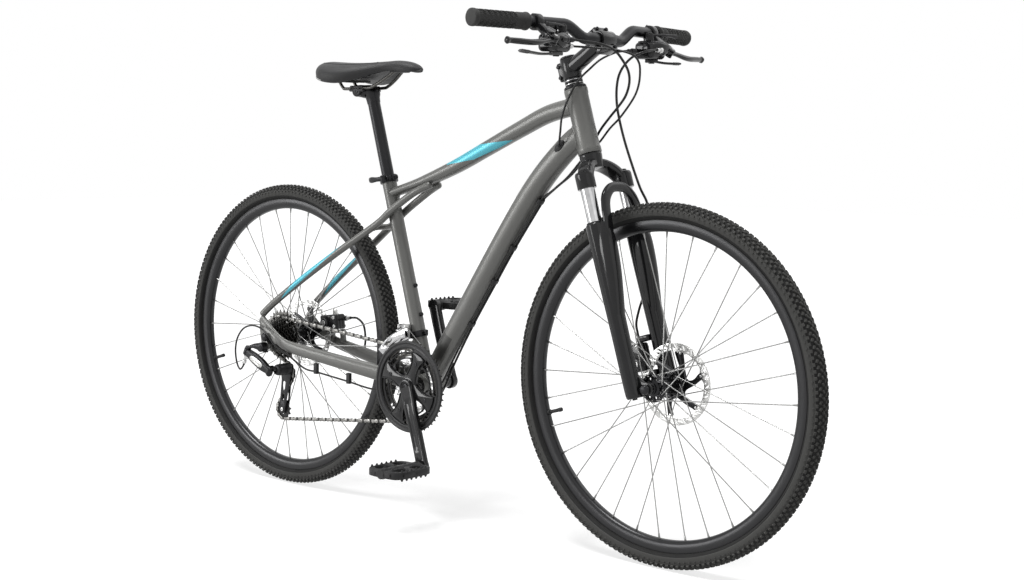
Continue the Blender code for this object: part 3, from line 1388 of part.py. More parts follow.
def fork_dropout(side):
    """Lug ahead of the leg's foot, with an open slot for the axle."""
    y = side * (FRONT_OLD / 2 + GAP + LUG_THICKNESS / 2)
    outline = [(LEG_OFFSET - 0.006, -0.010), (LEG_OFFSET + 0.010, -0.012)]
    outline += arc_points((FORK_RAKE, 0.0), 0.0135, -110, 95, 8)
    outline += [(LEG_OFFSET + 0.012, 0.034), (LEG_OFFSET - 0.004, 0.060)]
    matrix = FORK_MATRIX @ side_plane(y)
    lug = plate(outline, LUG_THICKNESS, matrix)
    width = 2 * (AXLE_RADIUS + GAP)
    slot = box((width, 0.02, 0.030), (FORK_RAKE, y, -0.015), 0.0, FORK_MATRIX)
    seat = rod(on_fork(FORK_RAKE, y - 0.01, 0), on_fork(FORK_RAKE, y + 0.01, 0), width / 2, 10)
    return carve(lug, slot, seat)


def fork_lowers():
    """Both legs, the arch in front of the stanchions, dropouts and brake mounts."""
    arch_front = LEG_OFFSET + LOWER_RADIUS + 0.0062
    half = [(LEG_OFFSET + 0.0120, LEG_Y - 0.0040, LOWERS_TOP - 0.062, 0.014, 0.013),
            (arch_front - 0.0060, LEG_Y - 0.0060, LOWERS_TOP - 0.014, 0.014, 0.014),
            (arch_front, LEG_Y - 0.0090, LOWERS_TOP + 0.013, 0.0110, 0.014),
            (arch_front, LEG_Y - 0.0180, LOWERS_TOP + 0.042, 0.0110, 0.015),
            (arch_front, LEG_Y - 0.0380, ARCH_TOP - 0.003, 0.0110, 0.016),
            (arch_front, 0.0, ARCH_TOP, 0.0110, 0.017)]
    other = [(station[0], -station[1], *station[2:]) for station in reversed(half[:-1])]
    arch = fork_tube(half + other, 1, 8)
    solids = [lower_leg(1), fork_dropout(-1), fork_dropout(1), arch]
    for low in CALIPER_LUGS:
        solids.append(box((0.030, 0.012, LUG_HEIGHT), (-0.008, LEG_Y - 0.012, low), 0.0, FORK_MATRIX))
    lowers = fuse(lower_leg(-1), *solids)
    bores = [drill(on_fork(LEG_OFFSET, side * LEG_Y, STANCHION_BOTTOM - FORK_TRAVEL - 0.004),
                 on_fork(LEG_OFFSET, side * LEG_Y, LOWERS_TOP + 0.01),
                 STANCHION_RADIUS, 12) for side in (-1, 1)]
    return carve(lowers, *bores)


CALIPER_SIZE = (0.056, CALIPER_HEIGHT)
CALIPER_UP = 0.0662
FRONT_CALIPER_AT = on_fork(-0.0219, 0.0, CALIPER_UP)
FRONT_CALIPER_ANGLE = math.pi - HEAD_ANGLE
LUG_HEIGHT = 0.013
LUG_FROM_MIDDLE = CALIPER_SIZE[0] / 2 + GAP + LUG_HEIGHT / 2
CALIPER_LUGS = (CALIPER_UP - LUG_FROM_MIDDLE, CALIPER_UP + LUG_FROM_MIDDLE)


def front_caliper():
    return brake_caliper(FRONT_CALIPER_AT, FRONT_CALIPER_ANGLE, FRONT_AXLE, FRONT_ROTOR_Y, *CALIPER_SIZE)


def rear_caliper():
    return brake_caliper(REAR_CALIPER_AT, REAR_CALIPER_ANGLE, REAR_AXLE, REAR_ROTOR_Y, *CALIPER_SIZE)


finish("fork_crown", fork_crown(), "black_paint", STEERING)
finish("right_stanchion", stanchion(-1), "chrome", STEERING)
finish("left_stanchion", stanchion(1), "chrome", STEERING)
finish("fork_lowers", fork_lowers(), "black_paint", SUSPENSION)


# Stem and handlebar

STEM_CENTRE = on_fork(0, 0, STEM_FOOT + STEM_CLAMP_HEIGHT / 2)
STEM_OUT = Vector((math.cos(STEM_RISE), 0.0, math.sin(STEM_RISE)))
BAR_CENTRE = STEM_CENTRE + STEM_REACH * STEM_OUT
STEM_CLAMP_RADIUS = 0.0185
BAR_CLAMP_WIDTH = 0.042
BAR_CLAMP_OUTER = 0.0180


def stem():
    """Steerer clamp with two pinch bolts behind it, a round extension and a bar seat."""
    clamp = rod(on_fork(0, 0, STEM_FOOT), on_fork(0, 0, STEM_HEAD), STEM_CLAMP_RADIUS, 14)
    extension = rod(STEM_CENTRE, BAR_CENTRE - 0.006 * STEM_OUT, 0.0165, 12, 0.0155)
    block = box((0.014, 0.014, STEM_CLAMP_HEIGHT - 0.002), (-STEM_CLAMP_RADIUS - 0.003, 0,
                STEM_FOOT + STEM_CLAMP_HEIGHT / 2), 0.0, FORK_MATRIX)
    bolts = [rod(on_fork(-STEM_CLAMP_RADIUS - 0.0055, -0.0105, STEM_FOOT + place),
                 on_fork(-STEM_CLAMP_RADIUS - 0.0055, 0.0105, STEM_FOOT + place), 0.0042, 6)
             for place in (0.009, STEM_CLAMP_HEIGHT - 0.009)]
    seat = rod(BAR_CENTRE - BAR_CLAMP_WIDTH / 2 * Y, BAR_CENTRE + BAR_CLAMP_WIDTH / 2 * Y,
               BAR_CLAMP_OUTER, 14)
    ears = clamp_ears(-0.006)
    solid = fuse(clamp, extension, block, *bolts, seat, ears)
    steerer = drill(on_fork(0, 0, STEM_FOOT - 0.01), on_fork(0, 0, STEM_HEAD + 0.01),
                  STEERER_RADIUS, 12)
    bar = drill(BAR_CENTRE - 0.05 * Y, BAR_CENTRE + 0.05 * Y, BAR_CLAMP_RADIUS, 12)
    front = box((0.05, 0.08, 0.08), (0.025 - GAP / 2, 0, 0), 0.0, bar_matrix())
    slit = box((0.03, 0.002, 0.08), (-0.030, 0, STEM_FOOT + STEM_CLAMP_HEIGHT / 2), 0.0, FORK_MATRIX)
    above = rod(on_fork(0, 0, STEM_HEAD), on_fork(0, 0, STEM_HEAD + 0.02), STEM_CLAMP_RADIUS + 0.0005, 14)
    return carve(solid, steerer, bar, front, slit, above)


def bar_matrix():
    """Frame at the bar's clamp with X along the stem's extension."""
    return Matrix.Translation(BAR_CENTRE) @ Matrix.Rotation(-STEM_RISE, 4, "Y")


def clamp_ears(middle):
    """Block whose top and bottom carry the four face plate bolts."""
    return box((0.016, BAR_CLAMP_WIDTH, 2 * BAR_CLAMP_OUTER + 0.012), (middle, 0, 0), 0.002,
               bar_matrix())


def stem_faceplate():
    """Front half of the bar clamp with four bolt heads."""
    cover = rod(BAR_CENTRE - BAR_CLAMP_WIDTH / 2 * Y, BAR_CENTRE + BAR_CLAMP_WIDTH / 2 * Y,
                BAR_CLAMP_OUTER, 14)
    bolts = [rod(bar_matrix() @ Vector((0.004, y, up * (BAR_CLAMP_OUTER + 0.001))),
                 bar_matrix() @ Vector((0.0105, y, up * (BAR_CLAMP_OUTER + 0.001))), 0.0038, 6)
             for y in (-0.014, 0.014) for up in (-1, 1)]
    solid = fuse(cover, clamp_ears(0.0), *bolts)
    bar = drill(BAR_CENTRE - 0.05 * Y, BAR_CENTRE + 0.05 * Y, BAR_CLAMP_RADIUS, 12)
    back = box((0.05, 0.08, 0.08), (-0.025 + GAP / 2, 0, 0), 0.0, bar_matrix())
    window = box((0.03, 0.014, 0.016), (0.020, 0, 0), 0.0, bar_matrix())
    return carve(solid, bar, back, window)


def bar_point(y):
    """Centre line of the riser bar at a distance from the middle."""
    reach = abs(y)
    x = BAR_CENTRE.x - max(reach - 0.040, 0.0) * BAR_SWEEP
    share = min(max((reach - 0.050) / 0.060, 0.0), 1.0)
    rise = BAR_RISE * share * share * (3 - 2 * share)
    return Vector((x, y, BAR_CENTRE.z + rise))


def handlebar():
    half = [0.0, 0.026, 0.040, 0.058, 0.074, 0.090, 0.112, BAR_HALF]
    places = [-y for y in reversed(half[1:])] + half
    radii = [1.0 if abs(y) < 0.035 else BAR_RADIUS / BAR_CLAMP_RADIUS for y in places]
    return tube([bar_point(y) for y in places], BAR_CLAMP_RADIUS, 2, radii)


def bar_axis(side):
    """Unit vector outward along one end of the bar."""
    return (bar_point(side * BAR_HALF) - bar_point(side * CONTROL_Y)).normalized()


def grip(side):
    """Rubber grip with a flanged inner end and a closed outer end."""
    radius = GRIP_RADIUS
    bore = (BAR_RADIUS + GAP) / math.cos(math.pi / 12)
    end = bar_point(side * BAR_HALF)
    profile = [(0.0, 0.004), (radius - 0.001, 0.004), (radius + 0.001, 0.002), (radius + 0.001, -0.004),
               (radius, -0.008), (radius, -GRIP_LENGTH + 0.006), (radius + 0.0015, -GRIP_LENGTH + 0.004),
               (radius + 0.0015, -GRIP_LENGTH), (bore, -GRIP_LENGTH), (bore, GAP), (0.0, GAP)]
    return turned(profile, end, bar_axis(side), 12)


finish("stem", stem(), "black_paint", STEERING)
finish("stem_faceplate", stem_faceplate(), "black_paint", STEERING)
finish("handlebar", handlebar(), "black_paint", STEERING)
finish("right_grip", grip(-1), "grip_rubber", STEERING)
finish("left_grip", grip(1), "grip_rubber", STEERING)


# Seat clamp, post and saddle

CLAMP_HEIGHT = 0.014
CLAMP_OUTER = 0.020
CLAMP_MIDDLE = SEAT_TUBE_TOP - CLAMP_HEIGHT / 2
EAR_OUT = 0.022
EAR_TURN = math.radians(-30)
SEAT_FORWARD = Vector((SEAT_UP.z, 0.0, -SEAT_UP.x))
EAR_WAY = math.cos(EAR_TURN) * SEAT_FORWARD + math.sin(EAR_TURN) * Y
EAR_SKEWER = SEAT_UP.cross(EAR_WAY)
EAR_CENTRE = on_seat_tube(CLAMP_MIDDLE) + EAR_OUT * EAR_WAY
EAR_HALF = 0.0065
CAM_WASHER = 0.0120


def seat_clamp():
    """Split collar on the seat tube's top with two ears, a skewer and its nut."""
    collar = rod(on_seat_tube(CLAMP_MIDDLE - CLAMP_HEIGHT / 2),
                 on_seat_tube(CLAMP_MIDDLE + CLAMP_HEIGHT / 2), CLAMP_OUTER, 14)
    matrix = axes_matrix(EAR_CENTRE, SEAT_UP, EAR_WAY)
    ears = box((0.010, 2 * EAR_HALF, CLAMP_HEIGHT - 0.002), (-0.001, 0, 0), 0.0, matrix)
    skewer = rod(EAR_CENTRE - CAM_WASHER * EAR_SKEWER, EAR_CENTRE + 0.014 * EAR_SKEWER, 0.0028, 6)
    nut = rod(EAR_CENTRE + EAR_HALF * EAR_SKEWER, EAR_CENTRE + 0.0150 * EAR_SKEWER, 0.0060, 8)
    washer = rod(EAR_CENTRE - CAM_WASHER * EAR_SKEWER, EAR_CENTRE - EAR_HALF * EAR_SKEWER, 0.0058, 8)
    slit = box((0.014, 0.0016, 0.02), (-0.003, 0, 0), 0.0, matrix)
    bore = drill(on_seat_tube(SEAT_TUBE_TOP - 0.03), on_seat_tube(SEAT_TUBE_TOP + 0.01),
               SEAT_TUBE_RADIUS, 12)
    return fuse(carve(fuse(collar, ears), bore, slit), skewer, nut, washer)


SEAT_LEVER_AT = EAR_CENTRE - (CAM_WASHER + GAP + LEVER_DRUM_RADIUS) * EAR_SKEWER
SEAT_LEVER_WAY = Vector((-0.0470, 0.0040, -0.0050)).normalized()
finish("seat_clamp", seat_clamp(), "black_anodised")
finish("seat_clamp_lever", quick_release(SEAT_LEVER_AT, -EAR_SKEWER, SEAT_LEVER_WAY, 0.048),
       "black_anodised", pivot("seat_clamp_hinge", SEAT_LEVER_AT))


POST_TOP = 0.6480                 # along the seat tube from the bottom bracket
HEAD_CENTRE = on_seat_tube(POST_TOP) + Vector((-0.0221, 0.0, 0.0070))
RAIL_CLAMPED = (HEAD_CENTRE + Vector((-0.0360, 0.0, 0.0048)), HEAD_CENTRE + Vector((0.0330, 0.0, 0.0070)))
SADDLE_NOSE_X = HEAD_CENTRE.x + SADDLE_NOSE_AHEAD
SADDLE_TOP = HEAD_CENTRE.z + SADDLE_RISE
POST_SLIDE = pivot("seatpost_height", on_seat_tube(SEAT_TUBE_TOP))


def seatpost():
    """Post with a two-sided clamp head whose cheeks grip the saddle's rails."""
    post = rod(on_seat_tube(POST_BOTTOM), on_seat_tube(POST_TOP), POST_RADIUS, 12)
    neck = shaped_tube([(*on_seat_tube(POST_TOP - 0.012), 0.0270, 0.0270),
                        (*on_seat_tube(POST_TOP + 0.004), 0.0280, 0.0270),
                        (HEAD_CENTRE.x + 0.004, 0.0, HEAD_CENTRE.z, 0.036, 0.024)], 1, 12)
    head = rod(HEAD_CENTRE - 0.028 * Y, HEAD_CENTRE + 0.028 * Y, 0.0135, 12)
    jaws = [box((0.034, 0.013, 0.013), (HEAD_CENTRE.x - 0.001, side * RAIL_Y, HEAD_CENTRE.z + 0.006))
            for side in (-1, 1)]
    bores = []
    for side in (-1, 1):
        along = RAIL_CLAMPED[1] - RAIL_CLAMPED[0]
        middle = (RAIL_CLAMPED[1] + RAIL_CLAMPED[0]) / 2 + side * RAIL_Y * Y
        bores.append(drill(middle - along, middle + along, RAIL_RADIUS, 6))
    return carve(fuse(post, neck, head, *jaws), *bores)


# Saddle sections from tail to nose: x, half width, height of the top, height of the skirt's edge
SADDLE = [
    (0.000, 0.018, -0.008, -0.018),
    (0.006, 0.044, -0.002, -0.025),
    (0.022, 0.067, 0.001, -0.036),
    (0.046, 0.079, 0.000, -0.044),
    (0.080, 0.0805, -0.002, -0.048),
    (0.112, 0.073, -0.003, -0.046),
    (0.142, 0.059, -0.003, -0.039),
    (0.168, 0.045, -0.002, -0.031),
    (0.194, 0.033, -0.001, -0.024),
    (0.220, 0.0265, 0.000, -0.022),
    (0.248, 0.0225, -0.003, -0.025),
    (0.268, 0.0170, -0.009, -0.025),
    (SADDLE_LENGTH, 0.0080, -0.016, -0.022),
]
# Half of a saddle section: share of the half width, and share of the way down to the edge
SADDLE_SHAPE = [(0.0, 0.0), (0.34, 0.03), (0.64, 0.12), (0.86, 0.30), (0.985, 0.55), (1.0, 0.78),
                (0.96, 1.0), (0.88, 1.0), (0.78, 0.84), (0.40, 0.76), (0.0, 0.76)]
PAN_THICKNESS = 0.003
PAN_SECTIONS = range(2, 12)


def saddle_section(station):
    """Ring of one saddle section, down one side and back up the other."""
    along, half, top, edge = station
    x = SADDLE_NOSE_X - SADDLE_LENGTH + along
    points = [Vector((x, share * half, SADDLE_TOP + top + down * (edge - top)))
              for share, down in SADDLE_SHAPE]
    others = [Vector((p.x, -p.y, p.z)) for p in reversed(points) if p.y > 1e-9]
    return points + others


def saddle_cover():
    return loft([saddle_section(station) for station in SADDLE])


def saddle_base():
    """Pan under the cushion and the two rails that spring from it."""
    pan = loft([saddle_pan_ring(SADDLE[i]) for i in PAN_SECTIONS])
    rails = [tube([(x, side * y, z) for x, y, z in RAIL_PATH], RAIL_RADIUS, 1) for side in (-1, 1)]
    return fuse(pan, *rails)


def saddle_pan_ring(station):
    """Thin curved strip under the cushion, across one section."""
    along, half, top, edge = station
    x = SADDLE_NOSE_X - SADDLE_LENGTH + along
    upper = [(0.76, 0.84), (0.40, 0.76), (-0.40, 0.76), (-0.76, 0.84)]
    ring = []
    for lower, shares in ((2 * GAP, upper), (2 * GAP + PAN_THICKNESS, list(reversed(upper)))):
        for share, down in shares:
            ring.append(Vector((x, share * half, SADDLE_TOP + top + down * (edge - top) - lower)))
    return ring


RAIL_ROUTE = [
    (-0.0645, RAIL_Y, 0.0282),
    (-0.0580, RAIL_Y, 0.0190),
    (-0.0480, RAIL_Y, 0.0080),
    (-0.0360, RAIL_Y, 0.0048),
    (0.0330, RAIL_Y, 0.0070),
    (0.0490, 0.0215, 0.0105),
    (0.0740, 0.0180, 0.0230),
    (0.0960, 0.0135, 0.0370),
    (0.1055, 0.0120, 0.0438),
]
RAIL_PATH = [(HEAD_CENTRE.x + x, y, HEAD_CENTRE.z + z) for x, y, z in RAIL_ROUTE]


finish("seatpost", seatpost(), "black_anodised", POST_SLIDE)
finish("saddle_base", saddle_base(), "black_plastic", POST_SLIDE)
finish("saddle_cover", saddle_cover(), "saddle_vinyl", POST_SLIDE)


# Controls on the bar; "right" is the rider's right, at -Y

def bar_frame(side):
    """Directions at a control: along the lever's reach, outward along the bar, and up."""
    out = bar_axis(side)
    level = Vector((abs(out.y), -side * out.x, 0.0)).normalized()
    reach = math.cos(LEVER_TILT[side]) * level - math.sin(LEVER_TILT[side]) * Z
    up = math.sin(LEVER_TILT[side]) * level + math.cos(LEVER_TILT[side]) * Z
    return reach, out, up


def on_bar(side, ahead, aside, up):
    """Point near a control, ahead of the bar, outward of the clamp and above the lever."""
    reach, out, rise = bar_frame(side)
    return bar_point(side * CONTROL_Y) + ahead * reach + aside * out + up * rise


def bar_matrix_at(side, ahead, aside, up):
    reach, _, rise = bar_frame(side)
    return axes_matrix(on_bar(side, ahead, aside, up), rise, reach)


LEVER_PIVOT = 0.060
LEVER_HALF = 0.0040
LEVER_PIN = 0.0025
BARREL_FROM = 0.0270
BARREL_TO = 0.0520
POD_SIZE = (0.046, 0.050, 0.036)
POD_Y = CONTROL_Y - 0.028
POD_OFFSET = Vector((0.0180, 0.0, -0.0360))
SHIFT_BARREL_Y = POD_Y - 0.063
TRIGGER_FROM = 0.0130             # inboard of the pod's middle
TRIGGER_HUB = 0.0080
TRIGGER_HIGH = 0.0136
THUMB_HUB = 0.0130
SHIFT_PIN = 0.0030


def pod_centre(side):
    return bar_point(side * POD_Y) + POD_OFFSET


def trigger_axis(side):
    """Foot of the trigger's upright axis, on the pod's top."""
    centre = pod_centre(side)
    return Vector((centre.x + 0.008, side * (POD_Y - TRIGGER_FROM), centre.z + POD_SIZE[2] / 2))


def thumb_axis(side):
    """Top of the thumb lever's upright axis, on the pod's underside."""
    centre = pod_centre(side)
    return Vector((centre.x + 0.004, centre.y, centre.z - POD_SIZE[2] / 2))


def control_body(side):
    """Bar clamp with the brake lever's bracket, the shifter pod and the cable barrels."""
    reach, out, up = bar_frame(side)
    ring = rod(on_bar(side, 0, -0.008, 0), on_bar(side, 0, 0.008, 0), 0.0158, 12)
    bracket = box((0.058, 0.040, 0.018), (0, 0, 0), 0.0, bar_matrix_at(side, 0.038, -0.009, 0))
    barrel = rod(on_bar(side, 0.057, -BARREL_FROM, 0), on_bar(side, 0.057, -BARREL_TO, 0), 0.0055, 8)
    pod = box(POD_SIZE, pod_centre(side), 0.006)
    centre = pod_centre(side)
    shift_at = Vector((centre.x - 0.008, centre.y, centre.z - 0.004))
    nose = rod((shift_at.x, side * (POD_Y - 0.020), shift_at.z),
               (shift_at.x, side * SHIFT_BARREL_Y, shift_at.z), 0.0050, 8)
    thumb_pin = rod(thumb_axis(side) + 0.004 * Z, thumb_axis(side) - 0.0066 * Z, SHIFT_PIN, 6)
    thumb_cap = rod(thumb_axis(side) - 0.0066 * Z, thumb_axis(side) - 0.0085 * Z, 0.0060, 8)
    pull_pin = rod(trigger_axis(side) - 0.004 * Z, trigger_axis(side) + (TRIGGER_HIGH + 2 * GAP) * Z, SHIFT_PIN, 6)
    pull_cap = rod(trigger_axis(side) + (TRIGGER_HIGH + 2 * GAP) * Z, trigger_axis(side) + 0.0160 * Z, 0.0055, 8)
    body = fuse(ring, bracket, barrel, pod, nose, thumb_pin, thumb_cap, pull_pin, pull_cap)
    bar = drill(bar_point(side * CONTROL_Y) - 0.080 * out, bar_point(side * CONTROL_Y) + 0.062 * out,
                BAR_RADIUS, 12)
    slot = box((0.040, 0.050, 2 * LEVER_HALF + 2 * GAP), (0, 0, 0), 0.0,
               bar_matrix_at(side, LEVER_PIVOT + 0.007, 0.004, 0))
    brake_hole = drill(on_bar(side, 0.057, -BARREL_TO + HOUSING_IN, 0), on_bar(side, 0.057, -0.07, 0),
                     HOUSING_RADIUS["brake"], 6)
    shift_hole = drill((shift_at.x, side * (SHIFT_BARREL_Y + HOUSING_IN), shift_at.z),
                     (shift_at.x, side * (SHIFT_BARREL_Y - 0.01), shift_at.z),
                     HOUSING_RADIUS["shift"], 6)
    carved = carve(body, bar, slot, brake_hole, shift_hole)
    pin = rod(on_bar(side, LEVER_PIVOT, 0, -0.0085), on_bar(side, LEVER_PIVOT, 0, 0.0085), LEVER_PIN, 6)
    return fuse(carved, pin)


HOUSING_IN = 0.0080               # housing inside a barrel


def brake_lever(side):
    """Blade that swings in its bracket, with a ball at its end."""
    reach, out, up = bar_frame(side)
    stations = [(0.062, 0.006, 0.011, 0.0078), (0.0650, 0.022, 0.012, 0.0078),
                (0.0730, 0.045, 0.012, 0.0095), (0.0760, 0.067, 0.010, 0.0105),
                (0.0750, 0.095, 0.009, 0.0115), (0.0740, 0.119, 0.009, 0.0110)]
    blade = shaped_tube([(*on_bar(side, ahead, aside, 0), wide, high)
                         for ahead, aside, wide, high in stations], 1, 8, 2.4, reach)
    hub = rod(on_bar(side, LEVER_PIVOT, 0, -LEVER_HALF), on_bar(side, LEVER_PIVOT, 0, LEVER_HALF),
              0.0085, 10)
    ball = rod(on_bar(side, 0.074, 0.1155, 0), on_bar(side, 0.074, 0.1250, 0), 0.0070, 8, 0.0045)
    bore = drill(on_bar(side, LEVER_PIVOT, 0, -0.02), on_bar(side, LEVER_PIVOT, 0, 0.02),
               LEVER_PIN, 8)
    return carve(fuse(hub, blade, ball), bore)


THUMB_PATHS = {
    -1: [(-0.004, 0.004, 0.0), (-0.0160, 0.0250, -0.0010), (-0.0240, 0.0450, 0.0010), (-0.0290, 0.0640, 0.0030)],
    1: [(0.002, 0.004, 0.0), (0.0140, 0.0200, -0.0030), (0.0260, 0.0330, -0.0040), (0.0340, 0.0450, -0.0040)],
}


def thumb_lever(side):
    """Disc under the pod with a paddle for the thumb."""
    top = thumb_axis(side) - GAP * Z
    hub = rod(top, top - 0.006 * Z, THUMB_HUB, 12)
    stations = [(top.x + x, top.y + side * y, top.z - 0.003 + z, wide, 0.0048)
                for (x, y, z), wide in zip(THUMB_PATHS[side], (0.018, 0.020, 0.024, 0.022))]
    across = Vector((1.0, side * 0.45, 0.0)) if side == -1 else Vector((-0.6, 0.8, 0.0))
    paddle = shaped_tube(stations, 1, 8, 3.0, across)
    bore = drill(top + 0.01 * Z, top - 0.02 * Z, SHIFT_PIN, 8)
    return carve(fuse(hub, paddle), bore)


def trigger(side):
    """Small lever above the pod for the forefinger."""
    foot = trigger_axis(side) + GAP * Z
    hub = rod(foot, foot + TRIGGER_HIGH * Z, TRIGGER_HUB, 10)
    high = foot.z + TRIGGER_HIGH - 0.0026
    stations = [(foot.x + 0.002, foot.y + side * 0.002, high, 0.009, 0.005),
                (foot.x + 0.0125, foot.y + side * 0.025, high + 0.001, 0.009, 0.005),
                (foot.x + 0.0160, foot.y + side * 0.050, high + 0.001, 0.009, 0.006),
                (foot.x + 0.0170, foot.y + side * 0.064, high, 0.008, 0.009)]
    arm = shaped_tube(stations, 1, 8, 2.6, X)
    bore = drill(foot - 0.01 * Z, foot + 0.02 * Z, SHIFT_PIN, 8)
    return carve(fuse(hub, arm), bore)


for SIDE, HAND in ((-1, "right"), (1, "left")):
    finish(f"{HAND}_control_body", control_body(SIDE), "black_plastic", STEERING)
    finish(f"{HAND}_brake_lever", brake_lever(SIDE), "black_anodised",
           pivot(f"{HAND}_brake", on_bar(SIDE, LEVER_PIVOT, 0, 0), STEERING))
    finish(f"{HAND}_thumb_lever", thumb_lever(SIDE), "grey_plastic",
           pivot(f"{HAND}_thumb", thumb_axis(SIDE), STEERING))
    finish(f"{HAND}_trigger", trigger(SIDE), "black_plastic",
           pivot(f"{HAND}_trigger_hinge", trigger_axis(SIDE), STEERING))


# Brake calipers and their arms

ARM_THICKNESS = 0.0045
ARM_LENGTH = 0.0300


def caliper_arm(centre, angle, rotor_y):
    """Arm outside the piston that the cable pulls toward its stop."""
    matrix = caliper_matrix(centre, angle, rotor_y)
    near = PISTON_REACH + GAP
    boss = rod(matrix @ Vector((PISTON_AT, near, 0)), matrix @ Vector((PISTON_AT, near + 0.008, 0)),
               0.0080, 10)
    outline = [(-0.0070, -0.0060), (0.0060, -0.0070), (0.0060, ARM_LENGTH - 0.010),
               (0.0050, ARM_LENGTH), (-0.0050, ARM_LENGTH), (-0.0070, ARM_LENGTH - 0.010)]
    flat_arm = plate(outline, ARM_THICKNESS,
                     matrix @ Matrix.Translation((PISTON_AT, near + ARM_THICKNESS / 2, 0)) @ side_plane(0))
    return fuse(boss, flat_arm)


finish("front_caliper", front_caliper(), "black_anodised", SUSPENSION)
finish("rear_caliper", rear_caliper(), "black_anodised")
FRONT_ARM_AT = caliper_matrix(FRONT_CALIPER_AT, FRONT_CALIPER_ANGLE, FRONT_ROTOR_Y) @ Vector((PISTON_AT, PISTON_REACH, 0))
REAR_ARM_AT = caliper_matrix(REAR_CALIPER_AT, REAR_CALIPER_ANGLE, REAR_ROTOR_Y) @ Vector((PISTON_AT, PISTON_REACH, 0))
finish("front_caliper_arm", caliper_arm(FRONT_CALIPER_AT, FRONT_CALIPER_ANGLE, FRONT_ROTOR_Y), "steel",
       pivot("front_caliper_hinge", FRONT_ARM_AT, SUSPENSION))
finish("rear_caliper_arm", caliper_arm(REAR_CALIPER_AT, REAR_CALIPER_ANGLE, REAR_ROTOR_Y), "steel",
       pivot("rear_caliper_hinge", REAR_ARM_AT))


# Rear derailleur

LINK_AXIS = Vector((0.438, 0.0, 0.899)).normalized()
LINK_TOP = REAR_AXLE + Vector((-0.0533, -0.0880, -0.0380))
LINK_END = REAR_AXLE + Vector((0.0267, -0.0880, -0.0770))
LINK_BARREL = 0.0065
LINK_HALF = 0.0080
LINK_PIN = 0.0025
CAGE_Y = {"outer": -0.0422, "inner": -0.0298}
CAGE_PLATE = 0.0015
KNUCKLE_Y = (-0.0433, -0.0800)
KNUCKLE_RADIUS = 0.0135
CAGE_SHAFT = 0.0040
PULLEY_THICKNESS = 0.0022
SHIFT_END = REAR_AXLE + Vector((-0.0658, -0.0870, -0.0660))


def link_pin(centre, lug_top):
    """Pivot pin through one end of the link, with a cap under it."""
    pin = rod(centre - (LINK_HALF + GAP + 0.0010) * LINK_AXIS, centre + lug_top * LINK_AXIS, LINK_PIN, 6)
    cap = rod(centre - (LINK_HALF + GAP + 0.0025) * LINK_AXIS, centre - (LINK_HALF + GAP) * LINK_AXIS,
              0.0048, 8)
    return [pin, cap]


def rd_bracket():
    """Hanger bolt and boss, the arm to the link's upper pivot and the cable barrel."""
    boss = rod((HANGER.x, -0.0751, HANGER.z), (HANGER.x, -0.0905, HANGER.z), 0.0110, 12)
    bolt = rod((HANGER.x, -0.0665, HANGER.z), (HANGER.x, -0.0800, HANGER.z), HANGER_BOLT, 10)
    lug_at = LINK_TOP + (LINK_HALF + GAP + 0.002) * LINK_AXIS
    lug = rod(lug_at - 0.002 * LINK_AXIS, lug_at + 0.002 * LINK_AXIS, 0.0068, 10)
    arm = shaped_tube([(HANGER.x, -0.0840, HANGER.z, 0.013, 0.010),
                       (HANGER.x - 0.022, -0.0865, HANGER.z + 0.0005, 0.012, 0.0055),
                       (*(lug_at + 0.0002 * LINK_AXIS), 0.012, 0.0036)], 1, 8, 3.0, Y)
    barrel = rod(LINK_TOP - (LINK_HALF + GAP + 0.001) * LINK_AXIS, SHIFT_END, 0.0046, 8)
    hole = drill(SHIFT_END + 0.006 * shift_end_way(), SHIFT_END - 0.01 * shift_end_way(),
               HOUSING_RADIUS["shift"], 6)
    return carve(fuse(boss, bolt, lug, arm, *link_pin(LINK_TOP, LINK_HALF + GAP + 0.0035), barrel), hole)


def shift_end_way():
    """Direction in which the shift housing enters its barrel."""
    return (LINK_TOP - LINK_HALF * LINK_AXIS - SHIFT_END).normalized()


def rd_outer_link():
    """Outer plate of the parallelogram with a barrel at each pivot."""
    top = rod(LINK_TOP - LINK_HALF * LINK_AXIS, LINK_TOP + LINK_HALF * LINK_AXIS, LINK_BARREL, 10)
    low = rod(LINK_END - LINK_HALF * LINK_AXIS, LINK_END + LINK_HALF * LINK_AXIS, LINK_BARREL, 10)
    body = shaped_tube([(*LINK_TOP, 0.0110, 0.0140), (*LINK_TOP.lerp(LINK_END, 0.3), 0.0120, 0.0200),
                        (*LINK_TOP.lerp(LINK_END, 0.7), 0.0120, 0.0200), (*LINK_END, 0.0110, 0.0140)],
                       1, 8, 3.0, Y)
    bores = [drill(place - 0.02 * LINK_AXIS, place + 0.02 * LINK_AXIS, LINK_PIN, 8)
             for place in (LINK_TOP, LINK_END)]
    return carve(fuse(top, low, body), *bores)


def rd_knuckle():
    """Lower body that carries the cage's spring and shaft."""
    body = rod((CAGE_PIVOT.x, KNUCKLE_Y[0], CAGE_PIVOT.z), (CAGE_PIVOT.x, KNUCKLE_Y[1], CAGE_PIVOT.z),
               KNUCKLE_RADIUS, 12)
    lug_at = LINK_END + (LINK_HALF + GAP + 0.002) * LINK_AXIS
    lug = box((0.0130, 0.0180, 0.0040), (0, 0.0020, 0), 0.0, axes_matrix(lug_at, LINK_AXIS))
    bore = drill((CAGE_PIVOT.x, KNUCKLE_Y[0] + 0.01, CAGE_PIVOT.z),
               (CAGE_PIVOT.x, KNUCKLE_Y[0] - 0.0203, CAGE_PIVOT.z), CAGE_SHAFT, 10)
    return carve(fuse(body, lug, *link_pin(LINK_END, LINK_HALF + GAP + 0.0035)), bore)


